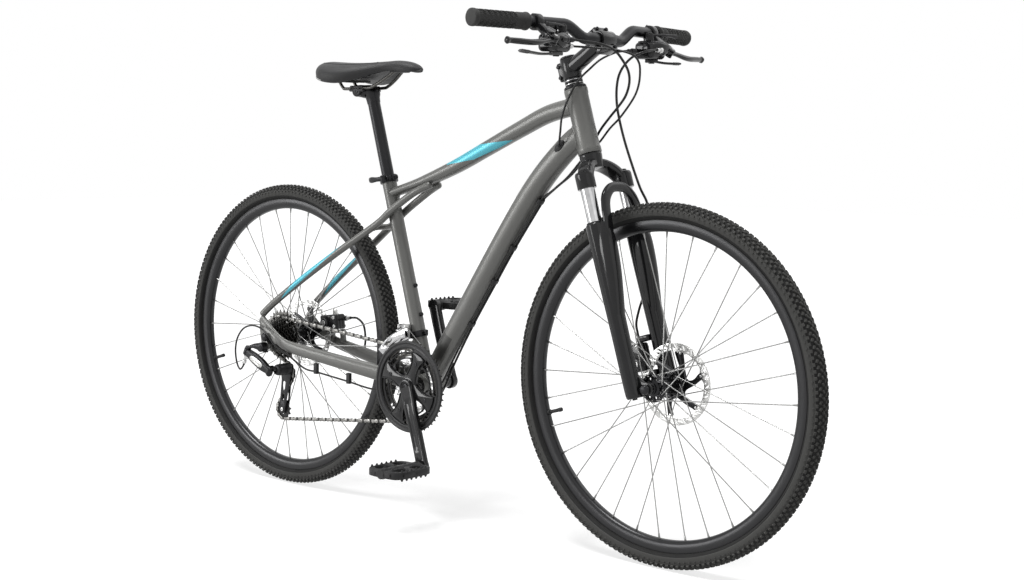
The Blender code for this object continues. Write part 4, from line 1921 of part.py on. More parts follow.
def hull(points):
    """Convex outline round 2D points."""
    ordered = sorted(points)
    outline = []
    for sequence in (ordered, list(reversed(ordered))):
        chain_ = []
        for point in sequence:
            while len(chain_) > 1 and turn_of(chain_[-2], chain_[-1], point) <= 1e-9:
                chain_.pop()
            chain_.append(point)
        outline += chain_[:-1]
    return outline


def turn_of(a, b, c):
    return (b[0] - a[0]) * (c[1] - a[1]) - (b[1] - a[1]) * (c[0] - a[0])


def rd_cage():
    """Two plates that hold the guide and tension pulleys on their pins."""
    pivot_at = flat(CAGE_PIVOT)
    wide = hull(circle(0.0120, 12, 0, pivot_at) + circle(0.0100, 12, 0, GUIDE_AT)
                + circle(0.0095, 12, 0, TENSION_AT))
    narrow = hull(circle(0.0095, 12, 0, GUIDE_AT) + circle(0.0095, 12, 0, TENSION_AT))
    window = hull(circle(0.0045, 8, 0, GUIDE_AT.lerp(TENSION_AT, 0.36))
                  + circle(0.0045, 8, 0, GUIDE_AT.lerp(TENSION_AT, 0.66)))
    outer = plate(wide, CAGE_PLATE, side_plane(CAGE_Y["outer"]), [window])
    inner = plate(narrow, CAGE_PLATE, side_plane(CAGE_Y["inner"]), [window])
    pins = [rod((spot.x, CAGE_Y["outer"], spot.y), (spot.x, CAGE_Y["inner"], spot.y), 0.0025, 6)
            for spot in (GUIDE_AT, TENSION_AT)]
    shaft = rod((CAGE_PIVOT.x, CAGE_Y["outer"], CAGE_PIVOT.z),
                (CAGE_PIVOT.x, KNUCKLE_Y[0] - 0.0200, CAGE_PIVOT.z), CAGE_SHAFT, 10)
    return fuse(outer, inner, *pins, shaft)


def pulley(centre, phase):
    """Eleven-tooth pulley with a wider hub."""
    wheel = wheel_plate(centre, CHAIN_REAR_Y, toothed(PULLEY_TEETH, phase, PULLEY_TOOTH), PULLEY_THICKNESS)
    half = (CAGE_Y["inner"] - CAGE_Y["outer"] - CAGE_PLATE) / 2 - GAP
    hub = rod((centre.x, CHAIN_REAR_Y - half, centre.y), (centre.x, CHAIN_REAR_Y + half, centre.y),
              0.0070, 10)
    bore = drill((centre.x, CHAIN_REAR_Y - 0.02, centre.y), (centre.x, CHAIN_REAR_Y + 0.02, centre.y),
               0.0025, 8)
    return carve(fuse(wheel, hub), bore)


PULLEY_TOOTH = ((0.0, -ROLLER_RADIUS), (0.42, 0.0015), (0.58, 0.0015))
DERAILLEUR = pivot("rd_shift", LINK_TOP)
KNUCKLE = pivot("rd_knuckle_turn", LINK_END, DERAILLEUR)
CAGE = pivot("rd_cage_swing", CAGE_PIVOT + KNUCKLE_Y[0] * Y, KNUCKLE)
finish("rd_bracket", rd_bracket(), "black_anodised")
finish("rd_outer_link", rd_outer_link(), "dark_steel", DERAILLEUR)
finish("rd_knuckle", rd_knuckle(), "black_anodised", KNUCKLE)
finish("rd_cage", rd_cage(), "black_anodised", CAGE)
finish("guide_pulley", pulley(GUIDE_AT, GUIDE_PHASE), "black_plastic",
       pivot("guide_pulley_spin", Vector((GUIDE_AT.x, CHAIN_REAR_Y, GUIDE_AT.y)), CAGE))
finish("tension_pulley", pulley(TENSION_AT, TENSION_PHASE), "black_plastic",
       pivot("tension_pulley_spin", Vector((TENSION_AT.x, CHAIN_REAR_Y, TENSION_AT.y)), CAGE))


# Front derailleur

FD_BAND = 0.1094                  # along the seat tube
FD_HINGE = on_seat_tube(FD_BAND) + Vector((-0.0193, -0.0300, 0.0160))
FD_HALF = 0.0080
FD_INNER_Y = -0.0418
FD_OUTER_Y = -0.0548
FD_PLATE = 0.0015
FD_SWEEP = (100, 145)
FD_RADIUS = 0.1045


def fd_clamp():
    """Band round the seat tube with the body and pin the cage hangs from."""
    band = rod(on_seat_tube(FD_BAND - 0.008), on_seat_tube(FD_BAND + 0.008), 0.0195, 14)
    body = box((0.024, 0.010, 0.032), (FD_HINGE.x, -0.0190, FD_HINGE.z - 0.010), 0.002)
    lugs = [box((0.0040, 0.0200, 0.0120), (FD_HINGE.x + end * (FD_HALF + GAP + 0.002), -0.0260, FD_HINGE.z),
                0.0) for end in (-1, 1)]
    pin = rod(FD_HINGE - (FD_HALF + 0.003) * X, FD_HINGE + (FD_HALF + 0.003) * X, 0.0025, 6, None, Z)
    seat = drill(BB, on_seat_tube(0.2), SEAT_TUBE_RADIUS, 12)
    return fuse(carve(fuse(band, body, *lugs), seat), pin)


def sector(inner, outer, start, end, steps):
    """Outline between two radii and two angles in degrees round the bottom bracket."""
    return ring_window(inner, outer, math.radians(start), math.radians(end), steps)


def fd_cage():
    """Two curved plates either side of the chain, joined above and behind it."""
    start, end = FD_SWEEP
    outer = wheel_plate(flat(BB), FD_OUTER_Y, sector(FD_RADIUS, FD_RADIUS + 0.017, start, end, 6), FD_PLATE)
    inner = wheel_plate(flat(BB), FD_INNER_Y, sector(FD_RADIUS - 0.006, FD_RADIUS + 0.020, start + 2, end, 6),
                        FD_PLATE)
    middle = (FD_OUTER_Y + FD_INNER_Y) / 2
    span = FD_INNER_Y - FD_OUTER_Y
    top = wheel_plate(flat(BB), middle, sector(FD_RADIUS + 0.0155, FD_RADIUS + 0.0175, start + 6, start + 18, 3),
                      span)
    tail = wheel_plate(flat(BB), middle, sector(FD_RADIUS - 0.0005, FD_RADIUS + 0.0020, end - 5, end - 1, 1), span)
    barrel = rod(FD_HINGE - FD_HALF * X, FD_HINGE + FD_HALF * X, 0.0055, 10, None, Z)
    arm = shaped_tube([(FD_HINGE.x, FD_HINGE.y, FD_HINGE.z, 0.014, 0.008),
                       (FD_HINGE.x, -0.0390, FD_HINGE.z - 0.0050, 0.013, 0.007),
                       (FD_HINGE.x, -0.0450, FD_HINGE.z - 0.0060, 0.013, 0.005)], 1, 8, 3.0, X)
    bore = drill(FD_HINGE - 0.02 * X, FD_HINGE + 0.02 * X, 0.0025, 8, None, Z)
    return carve(fuse(outer, inner, top, tail, barrel, arm), bore)


finish("fd_clamp", fd_clamp(), "black_anodised")
finish("fd_cage", fd_cage(), "steel", pivot("fd_swing", FD_HINGE))


# Cable housings, each whole along its route

def housing(points, kind):
    return tube([Vector(point) for point in points], HOUSING_RADIUS[kind], 1)


def barrel_run(side):
    """First points of a brake housing, out of the lever's barrel."""
    reach, out, up = bar_frame(side)
    start = on_bar(side, 0.057, -BARREL_TO + HOUSING_IN - 2 * GAP, 0)
    return [start, start - 0.014 * out]


def guide_run(kind):
    """Straight run of a housing through the clips under the down tube."""
    first = guide_point(0, kind)
    last = guide_point(len(GUIDE_PLACES) - 1, kind)
    along = (first - last).normalized()
    return [first + 0.010 * along] + [guide_point(i, kind) for i in range(len(GUIDE_PLACES))]


def shift_run(side):
    """First points of a shift housing, out of the pod's barrel."""
    centre = pod_centre(side)
    start = Vector((centre.x - 0.008, side * (SHIFT_BARREL_Y + HOUSING_IN - 2 * GAP), centre.z - 0.004))
    return [start, start - side * 0.012 * Y]


def caliper_run(centre, angle, rotor_y):
    """Last points of a brake housing, into the caliper's stop."""
    matrix = caliper_matrix(centre, angle, rotor_y)
    seat = CALIPER_SIZE[0] / 2 + STOP_LENGTH - STOP_DEPTH + 2 * GAP
    return [matrix @ Vector((seat + 0.016, STOP_ASIDE, STOP_UP)), matrix @ Vector((seat, STOP_ASIDE, STOP_UP))]


def rear_brake_housing():
    points = barrel_run(-1) + [(0.4330, -0.0860, 0.9920), (0.4420, -0.0560, 0.9820), (0.4420, -0.0300, 0.9651),
                               (0.4402, -0.0080, 0.9442), (0.4309, 0.0080, 0.9230), (0.4140, 0.0200, 0.8998),
                               (0.3921, 0.0270, 0.8795), (0.3676, 0.0320, 0.8588), (0.3420, 0.0340, 0.8320),
                               (0.3230, 0.0270, 0.7950), (0.2900, 0.0200, 0.7500), (0.2560, 0.0100, 0.7200)]
    points += guide_run("brake")
    points += [(-0.0120, 0.0050, 0.3390), (-0.0420, 0.0080, 0.2860), (-0.0650, 0.0120, 0.2600),
               (-0.0900, 0.0170, 0.2560), (-0.1500, 0.0290, 0.2690), (-0.2130, 0.0390, 0.2780),
               (-0.3000, 0.0520, 0.2900), (-0.3450, 0.0680, 0.2990), (-0.3660, 0.0770, 0.3200),
               (-0.3640, 0.0770, 0.3500), (-0.3680, 0.0745, 0.3800), (-0.3850, 0.0720, 0.3940)]
    points += caliper_run(REAR_CALIPER_AT, REAR_CALIPER_ANGLE, REAR_ROTOR_Y)
    return housing(points, "brake")


def rear_shift_housing():
    points = shift_run(-1) + [(0.3920, -0.0600, 0.9880), (0.4400, -0.0480, 0.9830), (0.4720, -0.0400, 0.9740),
                              (0.4806, -0.0300, 0.9600), (0.4706, -0.0120, 0.9402), (0.4545, 0.0050, 0.9159),
                              (0.4344, 0.0160, 0.8927), (0.3978, 0.0260, 0.8588), (0.3682, 0.0310, 0.8361),
                              (0.3420, 0.0310, 0.8080), (0.3180, 0.0160, 0.7800), (0.2870, 0.0040, 0.7400),
                              (0.2540, -0.0030, 0.7120)]
    points += guide_run("shift")
    points += [(-0.0120, -0.0050, 0.3390), (-0.0420, -0.0070, 0.2860), (-0.0650, -0.0080, 0.2600),
               (-0.0900, -0.0110, 0.2560), (-0.1500, -0.0240, 0.2675)]
    points += [shift_under_stay(x) for x in (-0.213, -0.285, -0.333, -0.380, -0.415)]
    points += [(-0.4550, -0.0760, 0.3140), (-0.4900, -0.0870, 0.3350), (-0.5150, -0.0900, 0.3600),
               (-0.5450, -0.0880, 0.3720), (-0.5780, -0.0850, 0.3730), (-0.6100, -0.0820, 0.3620),
               (-0.6330, -0.0800, 0.3380), (-0.6400, -0.0800, 0.3100), (-0.6330, -0.0820, 0.2820),
               (-0.6180, -0.0850, 0.2670)]
    way = shift_end_way()
    points += [SHIFT_END - 0.009 * way, SHIFT_END + (0.006 - 2 * GAP) * way]
    return housing(points, "shift")


def front_brake_housing():
    points = barrel_run(1) + [(0.4050, 0.0930, 0.9880), (0.3850, 0.0740, 0.9750), (0.3740, 0.0560, 0.9500),
                              (0.3716, 0.0470, 0.9200), (0.3763, 0.0430, 0.8799), (0.3898, 0.0430, 0.8314),
                              (0.4064, 0.0460, 0.7831), (0.4288, 0.0520, 0.7246)]
    points += [on_fork(0.0560, 0.0700, 0.3560), on_fork(0.0400, 0.0820, 0.3150), on_fork(0.0190, 0.0845, 0.2500),
               on_fork(-0.0030, 0.0790, 0.1950), on_fork(-0.0190, 0.0680, 0.1600), on_fork(-0.0270, 0.0600, 0.1350)]
    points += caliper_run(FRONT_CALIPER_AT, FRONT_CALIPER_ANGLE, FRONT_ROTOR_Y)
    return housing(points, "brake")


def front_shift_housing():
    points = shift_run(1) + [(0.3570, 0.0580, 0.9850), (0.3400, 0.0340, 0.9710), (0.3320, 0.0090, 0.9509),
                             (0.3263, -0.0120, 0.9326), (0.3200, -0.0270, 0.9097), (0.3080, -0.0320, 0.8818),
                             (0.3000, -0.0340, 0.8557), (0.2980, -0.0350, 0.8300)]
    way = port_direction()
    points += [PORT - 0.016 * way, PORT + 0.006 * way]
    return housing(points, "shift")


finish("rear_brake_housing", rear_brake_housing(), "black_plastic")
finish("rear_shift_housing", rear_shift_housing(), "black_plastic")
finish("front_shift_housing", front_shift_housing(), "black_plastic")
finish("front_brake_housing", front_brake_housing(), "black_plastic", SUSPENSION)
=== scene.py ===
"""Looks of the hybrid bike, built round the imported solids: finishes, rounded forms and fine detail."""
import math

import bmesh
import bpy
from mathutils import Matrix, Vector
from mathutils.bvhtree import BVHTree


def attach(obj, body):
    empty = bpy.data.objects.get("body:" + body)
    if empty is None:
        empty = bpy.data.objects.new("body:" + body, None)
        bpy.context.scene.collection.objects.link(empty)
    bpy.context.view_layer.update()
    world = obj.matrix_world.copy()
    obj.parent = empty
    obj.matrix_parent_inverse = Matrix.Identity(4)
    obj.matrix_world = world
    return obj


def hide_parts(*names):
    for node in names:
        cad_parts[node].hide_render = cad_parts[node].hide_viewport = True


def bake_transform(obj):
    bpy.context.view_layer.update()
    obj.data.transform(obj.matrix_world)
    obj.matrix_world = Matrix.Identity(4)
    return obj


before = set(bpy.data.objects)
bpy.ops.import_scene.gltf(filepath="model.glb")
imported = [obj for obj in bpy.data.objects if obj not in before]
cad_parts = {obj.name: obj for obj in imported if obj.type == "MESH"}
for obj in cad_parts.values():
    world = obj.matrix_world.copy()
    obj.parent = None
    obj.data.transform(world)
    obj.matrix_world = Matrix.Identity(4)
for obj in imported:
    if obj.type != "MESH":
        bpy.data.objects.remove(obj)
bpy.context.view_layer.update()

X = Vector((1.0, 0.0, 0.0))
Y = Vector((0.0, 1.0, 0.0))
Z = Vector((0.0, 0.0, 1.0))

# Main places, the same as the solids'
WHEEL_RADIUS = 0.35
REAR_AXLE = Vector((-0.5347, 0.0, WHEEL_RADIUS))
FRONT_AXLE = Vector((0.5347, 0.0, WHEEL_RADIUS))
BB = Vector((REAR_AXLE.x + 0.4497, 0.0, WHEEL_RADIUS - 0.066))
SEAT_ANGLE = math.radians(73.7)
HEAD_ANGLE = math.radians(72.4)
SEAT_UP = Vector((-math.cos(SEAT_ANGLE), 0.0, math.sin(SEAT_ANGLE)))
SEAT_FORWARD = Vector((SEAT_UP.z, 0.0, -SEAT_UP.x))
STEER_UP = Vector((-math.cos(HEAD_ANGLE), 0.0, math.sin(HEAD_ANGLE)))
STEER_FORWARD = Vector((math.sin(HEAD_ANGLE), 0.0, math.cos(HEAD_ANGLE)))
AXLE_AHEAD = 0.048
STEER_FOOT = FRONT_AXLE - AXLE_AHEAD * STEER_FORWARD


def on_seat_tube(length, aside=0.0, ahead=0.0):
    """A point along the seat tube from the bottom bracket, to its left and ahead of it."""
    return BB + length * SEAT_UP + ahead * SEAT_FORWARD + aside * Y


def on_fork(ahead, aside, up):
    """A point ahead of the steering axis, to its left, and up it from the front axle's level."""
    return STEER_FOOT + ahead * STEER_FORWARD + aside * Y + up * STEER_UP


# Shader maths

class Signal:
    """A number that varies over a surface; arithmetic on it adds Math nodes."""

    def __init__(self, sheet, socket):
        self.sheet = sheet
        self.socket = socket

    def _math(self, operation, first, second=None):
        sockets = {0: first} if second is None else {0: first, 1: second}
        return self.sheet.node("ShaderNodeMath", {"operation": operation}, sockets)

    def __add__(self, other):
        return self._math("ADD", self, other)

    __radd__ = __add__

    def __mul__(self, other):
        return self._math("MULTIPLY", self, other)

    __rmul__ = __mul__

    def __sub__(self, other):
        return self._math("SUBTRACT", self, other)

    def __rsub__(self, other):
        return self._math("SUBTRACT", other, self)

    def __truediv__(self, other):
        return self._math("DIVIDE", self, other)

    def __gt__(self, other):
        return self._math("GREATER_THAN", self, other)

    def __lt__(self, other):
        return self._math("LESS_THAN", self, other)

    def size(self):
        return self._math("ABSOLUTE", self)

    def sine(self):
        return self._math("SINE", self)

    def root(self):
        return self._math("SQRT", self)

    def power(self, exponent):
        return self._math("POWER", self, exponent)

    def between(self, low, high):
        """Rises smoothly from 0 at low to 1 at high."""
        settings = {"interpolation_type": "SMOOTHSTEP"}
        return self.sheet.node("ShaderNodeMapRange", settings, {"Value": self, "From Min": low, "From Max": high})


def feed(tree, socket, value):
    """Link a socket to a signal or to another socket, or set its value."""
    source = value.socket if isinstance(value, Signal) else value
    if isinstance(source, bpy.types.NodeSocket):
        tree.links.new(source, socket)
    else:
        socket.default_value = value


def add_node(tree, kind, settings=None, sockets=None):
    """A node of one type: its settings first, then the values or links of its sockets."""
    made = tree.nodes.new(kind)
    for key, value in (settings or {}).items():
        setattr(made, key, value)
    for key, value in (sockets or {}).items():
        feed(tree, made.inputs[key], value)
    return made


class Sheet:
    """One material's node tree."""

    def __init__(self, name):
        self.material = bpy.data.materials.new(name)
        self.material.use_nodes = True
        self.tree = self.material.node_tree
        self.shader = self.tree.nodes["Principled BSDF"]
        self.position = self.node("ShaderNodeTexCoord", output="Object")

    def node(self, kind, settings=None, sockets=None, output=0):
        """One output of a new node."""
        return Signal(self, add_node(self.tree, kind, settings, sockets).outputs[output])

    def set(self, **values):
        """Values or links of the main shader, by socket name with _ for a space."""
        for key, value in values.items():
            feed(self.tree, self.shader.inputs[key.replace("_", " ")], value)

    def along(self, direction, origin=(0, 0, 0)):
        """Distance from a point along a direction."""
        away = self.node("ShaderNodeVectorMath", {"operation": "SUBTRACT"}, {0: self.position, 1: tuple(origin)})
        return self.node("ShaderNodeVectorMath", {"operation": "DOT_PRODUCT"}, {0: away, 1: tuple(direction)},
                         "Value")

    def noise(self, scale, detail=2.0, rough=0.5, stretch=None):
        place = self.position
        if stretch:
            place = self.node("ShaderNodeMapping", None, {"Vector": place, "Scale": stretch})
        return self.node("ShaderNodeTexNoise", None,
                         {"Vector": place, "Scale": scale, "Detail": detail, "Roughness": rough})

    def cells(self, scale, feature="F1"):
        return self.node("ShaderNodeTexVoronoi", {"feature": feature}, {"Vector": self.position, "Scale": scale},
                         "Distance")

    def mix(self, first, second, factor):
        """Colour between two colours."""
        node = self.tree.nodes.new("ShaderNodeMix")
        node.data_type = "RGBA"
        colours = [socket for socket in node.inputs if socket.type == "RGBA"]
        for socket, value in zip(colours, (first, second)):
            feed(self.tree, socket, value if isinstance(value, Signal) else (*value, 1.0))
        feed(self.tree, node.inputs[0], factor)
        return Signal(self, [socket for socket in node.outputs if socket.type == "RGBA"][0])

    def bump(self, height, strength, distance):
        sockets = {"Height": height, "Strength": strength, "Distance": distance}
        self.set(Normal=self.node("ShaderNodeBump", None, sockets))


CHARCOAL = (0.128, 0.128, 0.121)
DARK_CHARCOAL = (0.04, 0.04, 0.038)
CYAN = (0.085, 0.48, 0.6)
PANEL_FOOT = Vector((-0.085, 0.0, 0.284))
DOWN_WAY = Vector((0.5577, 0.0, 0.83))
DOWN_OUT = Vector((0.83, 0.0, -0.5577))
FLASH_TOP = 1.02
FLASH_REAR = -0.0262
# Edges of the top tube's flash: x, z, slope and the side that is coloured
FLASH_EDGES = [(FLASH_REAR, 0.7567, 0.169, 1), (0.0496, 0.7695, 0.382, 1), (0.1164, 0.795, 0.44, 1),
               (0.0659, 0.801, 0.117, -1)]


def flash(sheet, start, end, half, top_from, low=-0.5):
    """Where the coloured flash lies that crosses a tube from its top edge to its lower edge."""
    line = end - start
    over = line.normalized().cross(Y)
    if over.z < 0:
        over.negate()
    share = sheet.along(line / line.length_squared, start)
    height = sheet.along(over, start) / half
    inside = (share > 0.0) * (share < 1.0)
    under = height > (FLASH_TOP - (1.0 - low) * share.power(0.5))
    below = height < (FLASH_TOP - (1.0 - low) * (share - top_from) / (1.0 - top_from))
    return inside * under * below


def frame_paint():
    """Charcoal metallic lacquer with cyan flashes and a darker panel low on the down tube."""
    sheet = Sheet("frame_paint")
    flake = sheet.cells(2600.0)
    cloud = sheet.noise(14.0, 3.0)
    base = sheet.mix(CHARCOAL, (0.185, 0.185, 0.176), flake.between(0.15, 0.75) * 0.55 + cloud * 0.25)
    panel = sheet.along(DOWN_WAY, PANEL_FOOT)
    across = sheet.along(-Y)
    oval = 1.0 - ((panel - 0.095).size() / 0.042).power(4.0) - ((across - 0.016).size() / 0.016).power(4.0)
    front = sheet.along(DOWN_OUT, PANEL_FOOT)
    dark = (oval > 0.0) * (front < 0.012) * (front > -0.028)
    base = sheet.mix(base, DARK_CHARCOAL, dark * 0.75)
    marks = sheet.along(X) > FLASH_REAR
    for x, z, slope, sign in FLASH_EDGES:
        marks = marks * (sheet.along(Vector((-slope, 0.0, 1.0)) * sign, Vector((x, 0.0, z))) > 0.0)
    stay = flash(sheet, Vector((-0.305, 0.0, 0.5715)), Vector((-0.492, 0.0, 0.446)), 0.0085, 0.7, -0.7)
    stay = stay * (sheet.along(Y).size() > 0.03)
    cyan = sheet.mix(CYAN, (0.12, 0.58, 0.7), flake.between(0.1, 0.8))
    base = sheet.mix(base, cyan, marks + stay)
    sheet.set(Base_Color=base, Metallic=0.3, Roughness=0.36 + cloud * 0.1, Coat_Weight=0.22, Coat_Roughness=0.12,
              Specular_IOR_Level=0.4)
    sheet.bump(sheet.noise(420.0, 1.0), 0.05, 0.0003)
    return sheet.material


def gloss_black():
    """Black lacquer with a fine orange peel and a little dust."""
    sheet = Sheet("gloss_black_paint")
    peel = sheet.noise(520.0, 1.0)
    dust = sheet.noise(30.0, 4.0)
    sheet.set(Base_Color=sheet.mix((0.008, 0.008, 0.009), (0.02, 0.02, 0.021), dust), Metallic=0.0,
              Roughness=0.16 + dust * 0.14, Coat_Weight=0.45, Coat_Roughness=0.04, Specular_IOR_Level=0.1)
    sheet.bump(peel, 0.06, 0.0003)
    return sheet.material


def anodised(name, dark, light, rough=0.34, metallic=0.75):
    """Anodised aluminium: fine grain under a thin even film."""
    sheet = Sheet(name)
    grain = sheet.noise(900.0, 2.0)
    cloud = sheet.noise(22.0, 3.0)
    sheet.set(Base_Color=sheet.mix(dark, light, grain * 0.5 + cloud * 0.5), Metallic=metallic,
              Roughness=rough - 0.08 + cloud * 0.16)
    sheet.bump(grain, 0.1, 0.0002)
    return sheet.material


def brushed(name, dark, light, stretch, rough=0.28):
    """Bare metal with fine lines along one direction."""
    sheet = Sheet(name)
    lines = sheet.noise(60.0, 4.0, 0.6, stretch)
    stain = sheet.noise(26.0, 4.0)
    sheet.set(Base_Color=sheet.mix(dark, light, lines * 0.7 + stain * 0.3), Metallic=1.0,
              Roughness=rough - 0.06 + lines * 0.16)
    sheet.bump(lines, 0.1, 0.0002)
    return sheet.material


def ground_ring(name, axle):
    """Steel ground in circles round an axle."""
    sheet = Sheet(name)
    across = sheet.along(X, axle)
    rise = sheet.along(Z, axle)
    radius = (across * across + rise * rise).root()
    rings = (radius * 9000.0).sine()
    smear = sheet.noise(45.0, 3.0)
    sheet.set(Base_Color=sheet.mix((0.42, 0.42, 0.41), (0.72, 0.72, 0.71), rings * 0.22 + smear * 0.7),
              Metallic=1.0, Roughness=0.25 + smear * 0.14)
    sheet.bump(rings, 0.06, 0.0002)
    return sheet.material


def chrome():
    """Bright plating under a thin uneven film."""
    sheet = Sheet("chrome")
    film = sheet.noise(60.0, 3.0)
    sheet.set(Base_Color=sheet.mix((0.3, 0.3, 0.31), (0.66, 0.66, 0.66), film), Metallic=1.0,
              Roughness=0.06 + film * 0.09)
    return sheet.material


def moulded(name, dark, light, rough=0.52, grain_size=1400.0, depth=0.22):
    """Moulded plastic or rubber with a fine spark-eroded grain."""
    sheet = Sheet(name)
    grain = sheet.noise(grain_size, 2.0, 0.6)
    wear = sheet.noise(35.0, 4.0)
    sheet.set(Base_Color=sheet.mix(dark, light, wear * 0.7 + grain * 0.3), Metallic=0.0,
              Roughness=rough - 0.08 + wear * 0.16, Specular_IOR_Level=0.3)
    sheet.bump(grain, depth, 0.0003)
    return sheet.material


def tyre_rubber(name, painted_groove_shade):
    """Matt, slightly dusty rubber, with painted shade: darker by a share in the tread's grooves."""
    sheet = Sheet(name)
    dust = sheet.noise(38.0, 5.0, 0.6)
    pores = sheet.noise(900.0, 2.0)
    rubber = sheet.mix((0.044, 0.044, 0.042), (0.092, 0.091, 0.087), dust * 0.8 + pores * 0.2)
    # painted shade: within the tread's width the casing between the knobs is darkened towards black
    sheet.set(Base_Color=sheet.mix(rubber, (0.005, 0.005, 0.005), (sheet.along(Y).size() < 0.0172) * painted_groove_shade),
              Metallic=0.0, Roughness=0.7 + dust * 0.18, Specular_IOR_Level=0.35)
    sheet.bump(pores + dust, 0.25, 0.0004)
    return sheet.material


def saddle_vinyl():
    """Soft cover with a leather-like grain of small cells and a satin sheen."""
    sheet = Sheet("saddle_vinyl")
    cells = sheet.cells(1100.0)
    folds = sheet.noise(60.0, 4.0)
    sheet.set(Base_Color=sheet.mix((0.017, 0.017, 0.018), (0.036, 0.036, 0.037), cells * 0.6 + folds * 0.4),
              Metallic=0.0, Roughness=0.42 + folds * 0.16, Specular_IOR_Level=0.3)
    sheet.bump(cells + folds * 0.4, 0.35, 0.0004)
    return sheet.material


def oiled_steel(name, dark, light):
    """Plate of a chain, in patches of more and less oil."""
    sheet = Sheet(name)
    oil = sheet.noise(190.0, 4.0, 0.6)
    sheet.set(Base_Color=sheet.mix(dark, light, oil.between(0.3, 0.75)),
              Metallic=1.0, Roughness=0.24 + oil * 0.24)
    sheet.bump(oil, 0.12, 0.0002)
    return sheet.material


# Each finish: its material and the slot that it belongs to
FINISH = {
    "paint": (frame_paint(), "frame_paint"),
    "gloss": (gloss_black(), "black_paint"),
    "black": (anodised("satin_black", (0.012, 0.012, 0.013), (0.03, 0.03, 0.032)), "black_anodised"),
    "rim": (anodised("rim_black", (0.014, 0.014, 0.015), (0.026, 0.026, 0.028), 0.3, 0.5), "black_anodised"),
    "hub": (anodised("hub_black", (0.01, 0.01, 0.011), (0.024, 0.024, 0.026), 0.24, 0.7), "black_anodised"),
    "silver": (anodised("silver_alloy", (0.42, 0.42, 0.42), (0.66, 0.66, 0.65), 0.3, 1.0), "steel"),
    "chrome": (chrome(), "chrome"),
    "spoke": (brushed("spoke_steel", (0.2, 0.2, 0.2), (0.38, 0.38, 0.37), (1, 1, 1), 0.3), "steel"),
    "steel": (brushed("pressed_steel", (0.4, 0.4, 0.39), (0.66, 0.66, 0.64), (1, 9, 1), 0.26), "steel"),
    "front_disc": (ground_ring("front_disc_steel", FRONT_AXLE), "steel"),
    "rear_disc": (ground_ring("rear_disc_steel", REAR_AXLE), "steel"),
    "sprocket": (brushed("sprocket_steel", (0.045, 0.044, 0.042), (0.115, 0.112, 0.106), (1, 1, 1), 0.34),
                 "dark_steel"),
    "chain": (oiled_steel("outer_plates", (0.11, 0.108, 0.104), (0.32, 0.315, 0.3)), "dark_steel"),
    "links": (oiled_steel("inner_plates", (0.016, 0.016, 0.015), (0.07, 0.068, 0.065)), "dark_steel"),
    "plastic": (moulded("black_plastic", (0.014, 0.014, 0.015), (0.03, 0.03, 0.031)), "black_plastic"),
    "guard": (moulded("guard_plastic", (0.022, 0.022, 0.023), (0.046, 0.046, 0.047), 0.46), "grey_plastic"),
    "grey": (moulded("grey_plastic", (0.13, 0.13, 0.13), (0.2, 0.2, 0.2), 0.5), "grey_plastic"),
    # the casing's finish carries painted shade in the tread's grooves; the knobs' finish has none
    "tyre": (tyre_rubber("tyre_rubber", 0.9), "tyre_rubber"),
    "tread": (tyre_rubber("tread_rubber", 0.0), "tyre_rubber"),
    "grip": (moulded("grip_rubber", (0.046, 0.046, 0.046), (0.08, 0.08, 0.078), 0.72, 800.0, 0.35),
             "grip_rubber"),
    "vinyl": (saddle_vinyl(), "saddle_vinyl"),
    "housing": (moulded("housing_black", (0.008, 0.008, 0.008), (0.018, 0.018, 0.018), 0.36, 500.0, 0.1),
                "black_plastic"),
    "piping": (moulded("pale_piping", (0.42, 0.42, 0.41), (0.58, 0.58, 0.57), 0.5), "grey_plastic"),
}


# Working forms: each returns a bmesh

def axes_matrix(origin, along, across=X):
    """Matrix whose local Z runs along one direction and whose X lies nearest another."""
    z_axis = along.normalized()
    if abs(z_axis.dot(across)) > 0.99:
        across = Z if abs(z_axis.z) < 0.9 else Y
    x_axis = (across - across.dot(z_axis) * z_axis).normalized()
    turn = Matrix((x_axis, z_axis.cross(x_axis), z_axis)).transposed()
    return Matrix.Translation(origin) @ turn.to_4x4()


def skin(rings, closed=False, caps=True):
    """Surface through rings of points; a ring of one point is a pole."""
    bm = bmesh.new()
    loops = [[bm.verts.new(point) for point in ring] for ring in rings]
    pairs = list(zip(loops, loops[1:]))
    if closed:
        pairs.append((loops[-1], loops[0]))
    for first, second in pairs:
        count = max(len(first), len(second))
        for i in range(count):
            j = (i + 1) % count
            corners = [first[i % len(first)], first[j % len(first)], second[j % len(second)], second[i % len(second)]]
            corners = list(dict.fromkeys(corners))
            if len(corners) > 2:
                bm.faces.new(corners)
    if caps and not closed:
        for loop in (loops[0], loops[-1]):
            if len(loop) > 2:
                bm.faces.new(loop)
    bmesh.ops.recalc_face_normals(bm, faces=bm.faces)
    return bm


def turned(profile, origin, along, steps=64, closed=False):
    """Solid of revolution of (radius, height) points."""
    matrix = axes_matrix(origin, along)
    rings = []
    for radius, height in profile:
        if radius < 1e-6:
            rings.append([matrix @ Vector((0.0, 0.0, height))])
            continue
        rings.append([matrix @ Vector((radius * math.cos(a), radius * math.sin(a), height))
                      for a in (2 * math.pi * k / steps for k in range(steps))])
    return skin(rings, closed)


def rod(start, end, radius, sides=24, edge=0.0006, end_radius=None):
    """Round bar with softened edges."""
    start = Vector(start)
    end = Vector(end)
    length = (end - start).length
    last = radius if end_radius is None else end_radius
    edge = min(edge, 0.4 * radius, 0.4 * last, 0.4 * length)
    profile = [(0.0, 0.0), (radius - edge, 0.0), (radius - 0.3 * edge, 0.3 * edge), (radius, edge),
               (last, length - edge), (last - 0.3 * edge, length - 0.3 * edge), (last - edge, length), (0.0, length)]
    return turned(profile, start, end - start, sides)


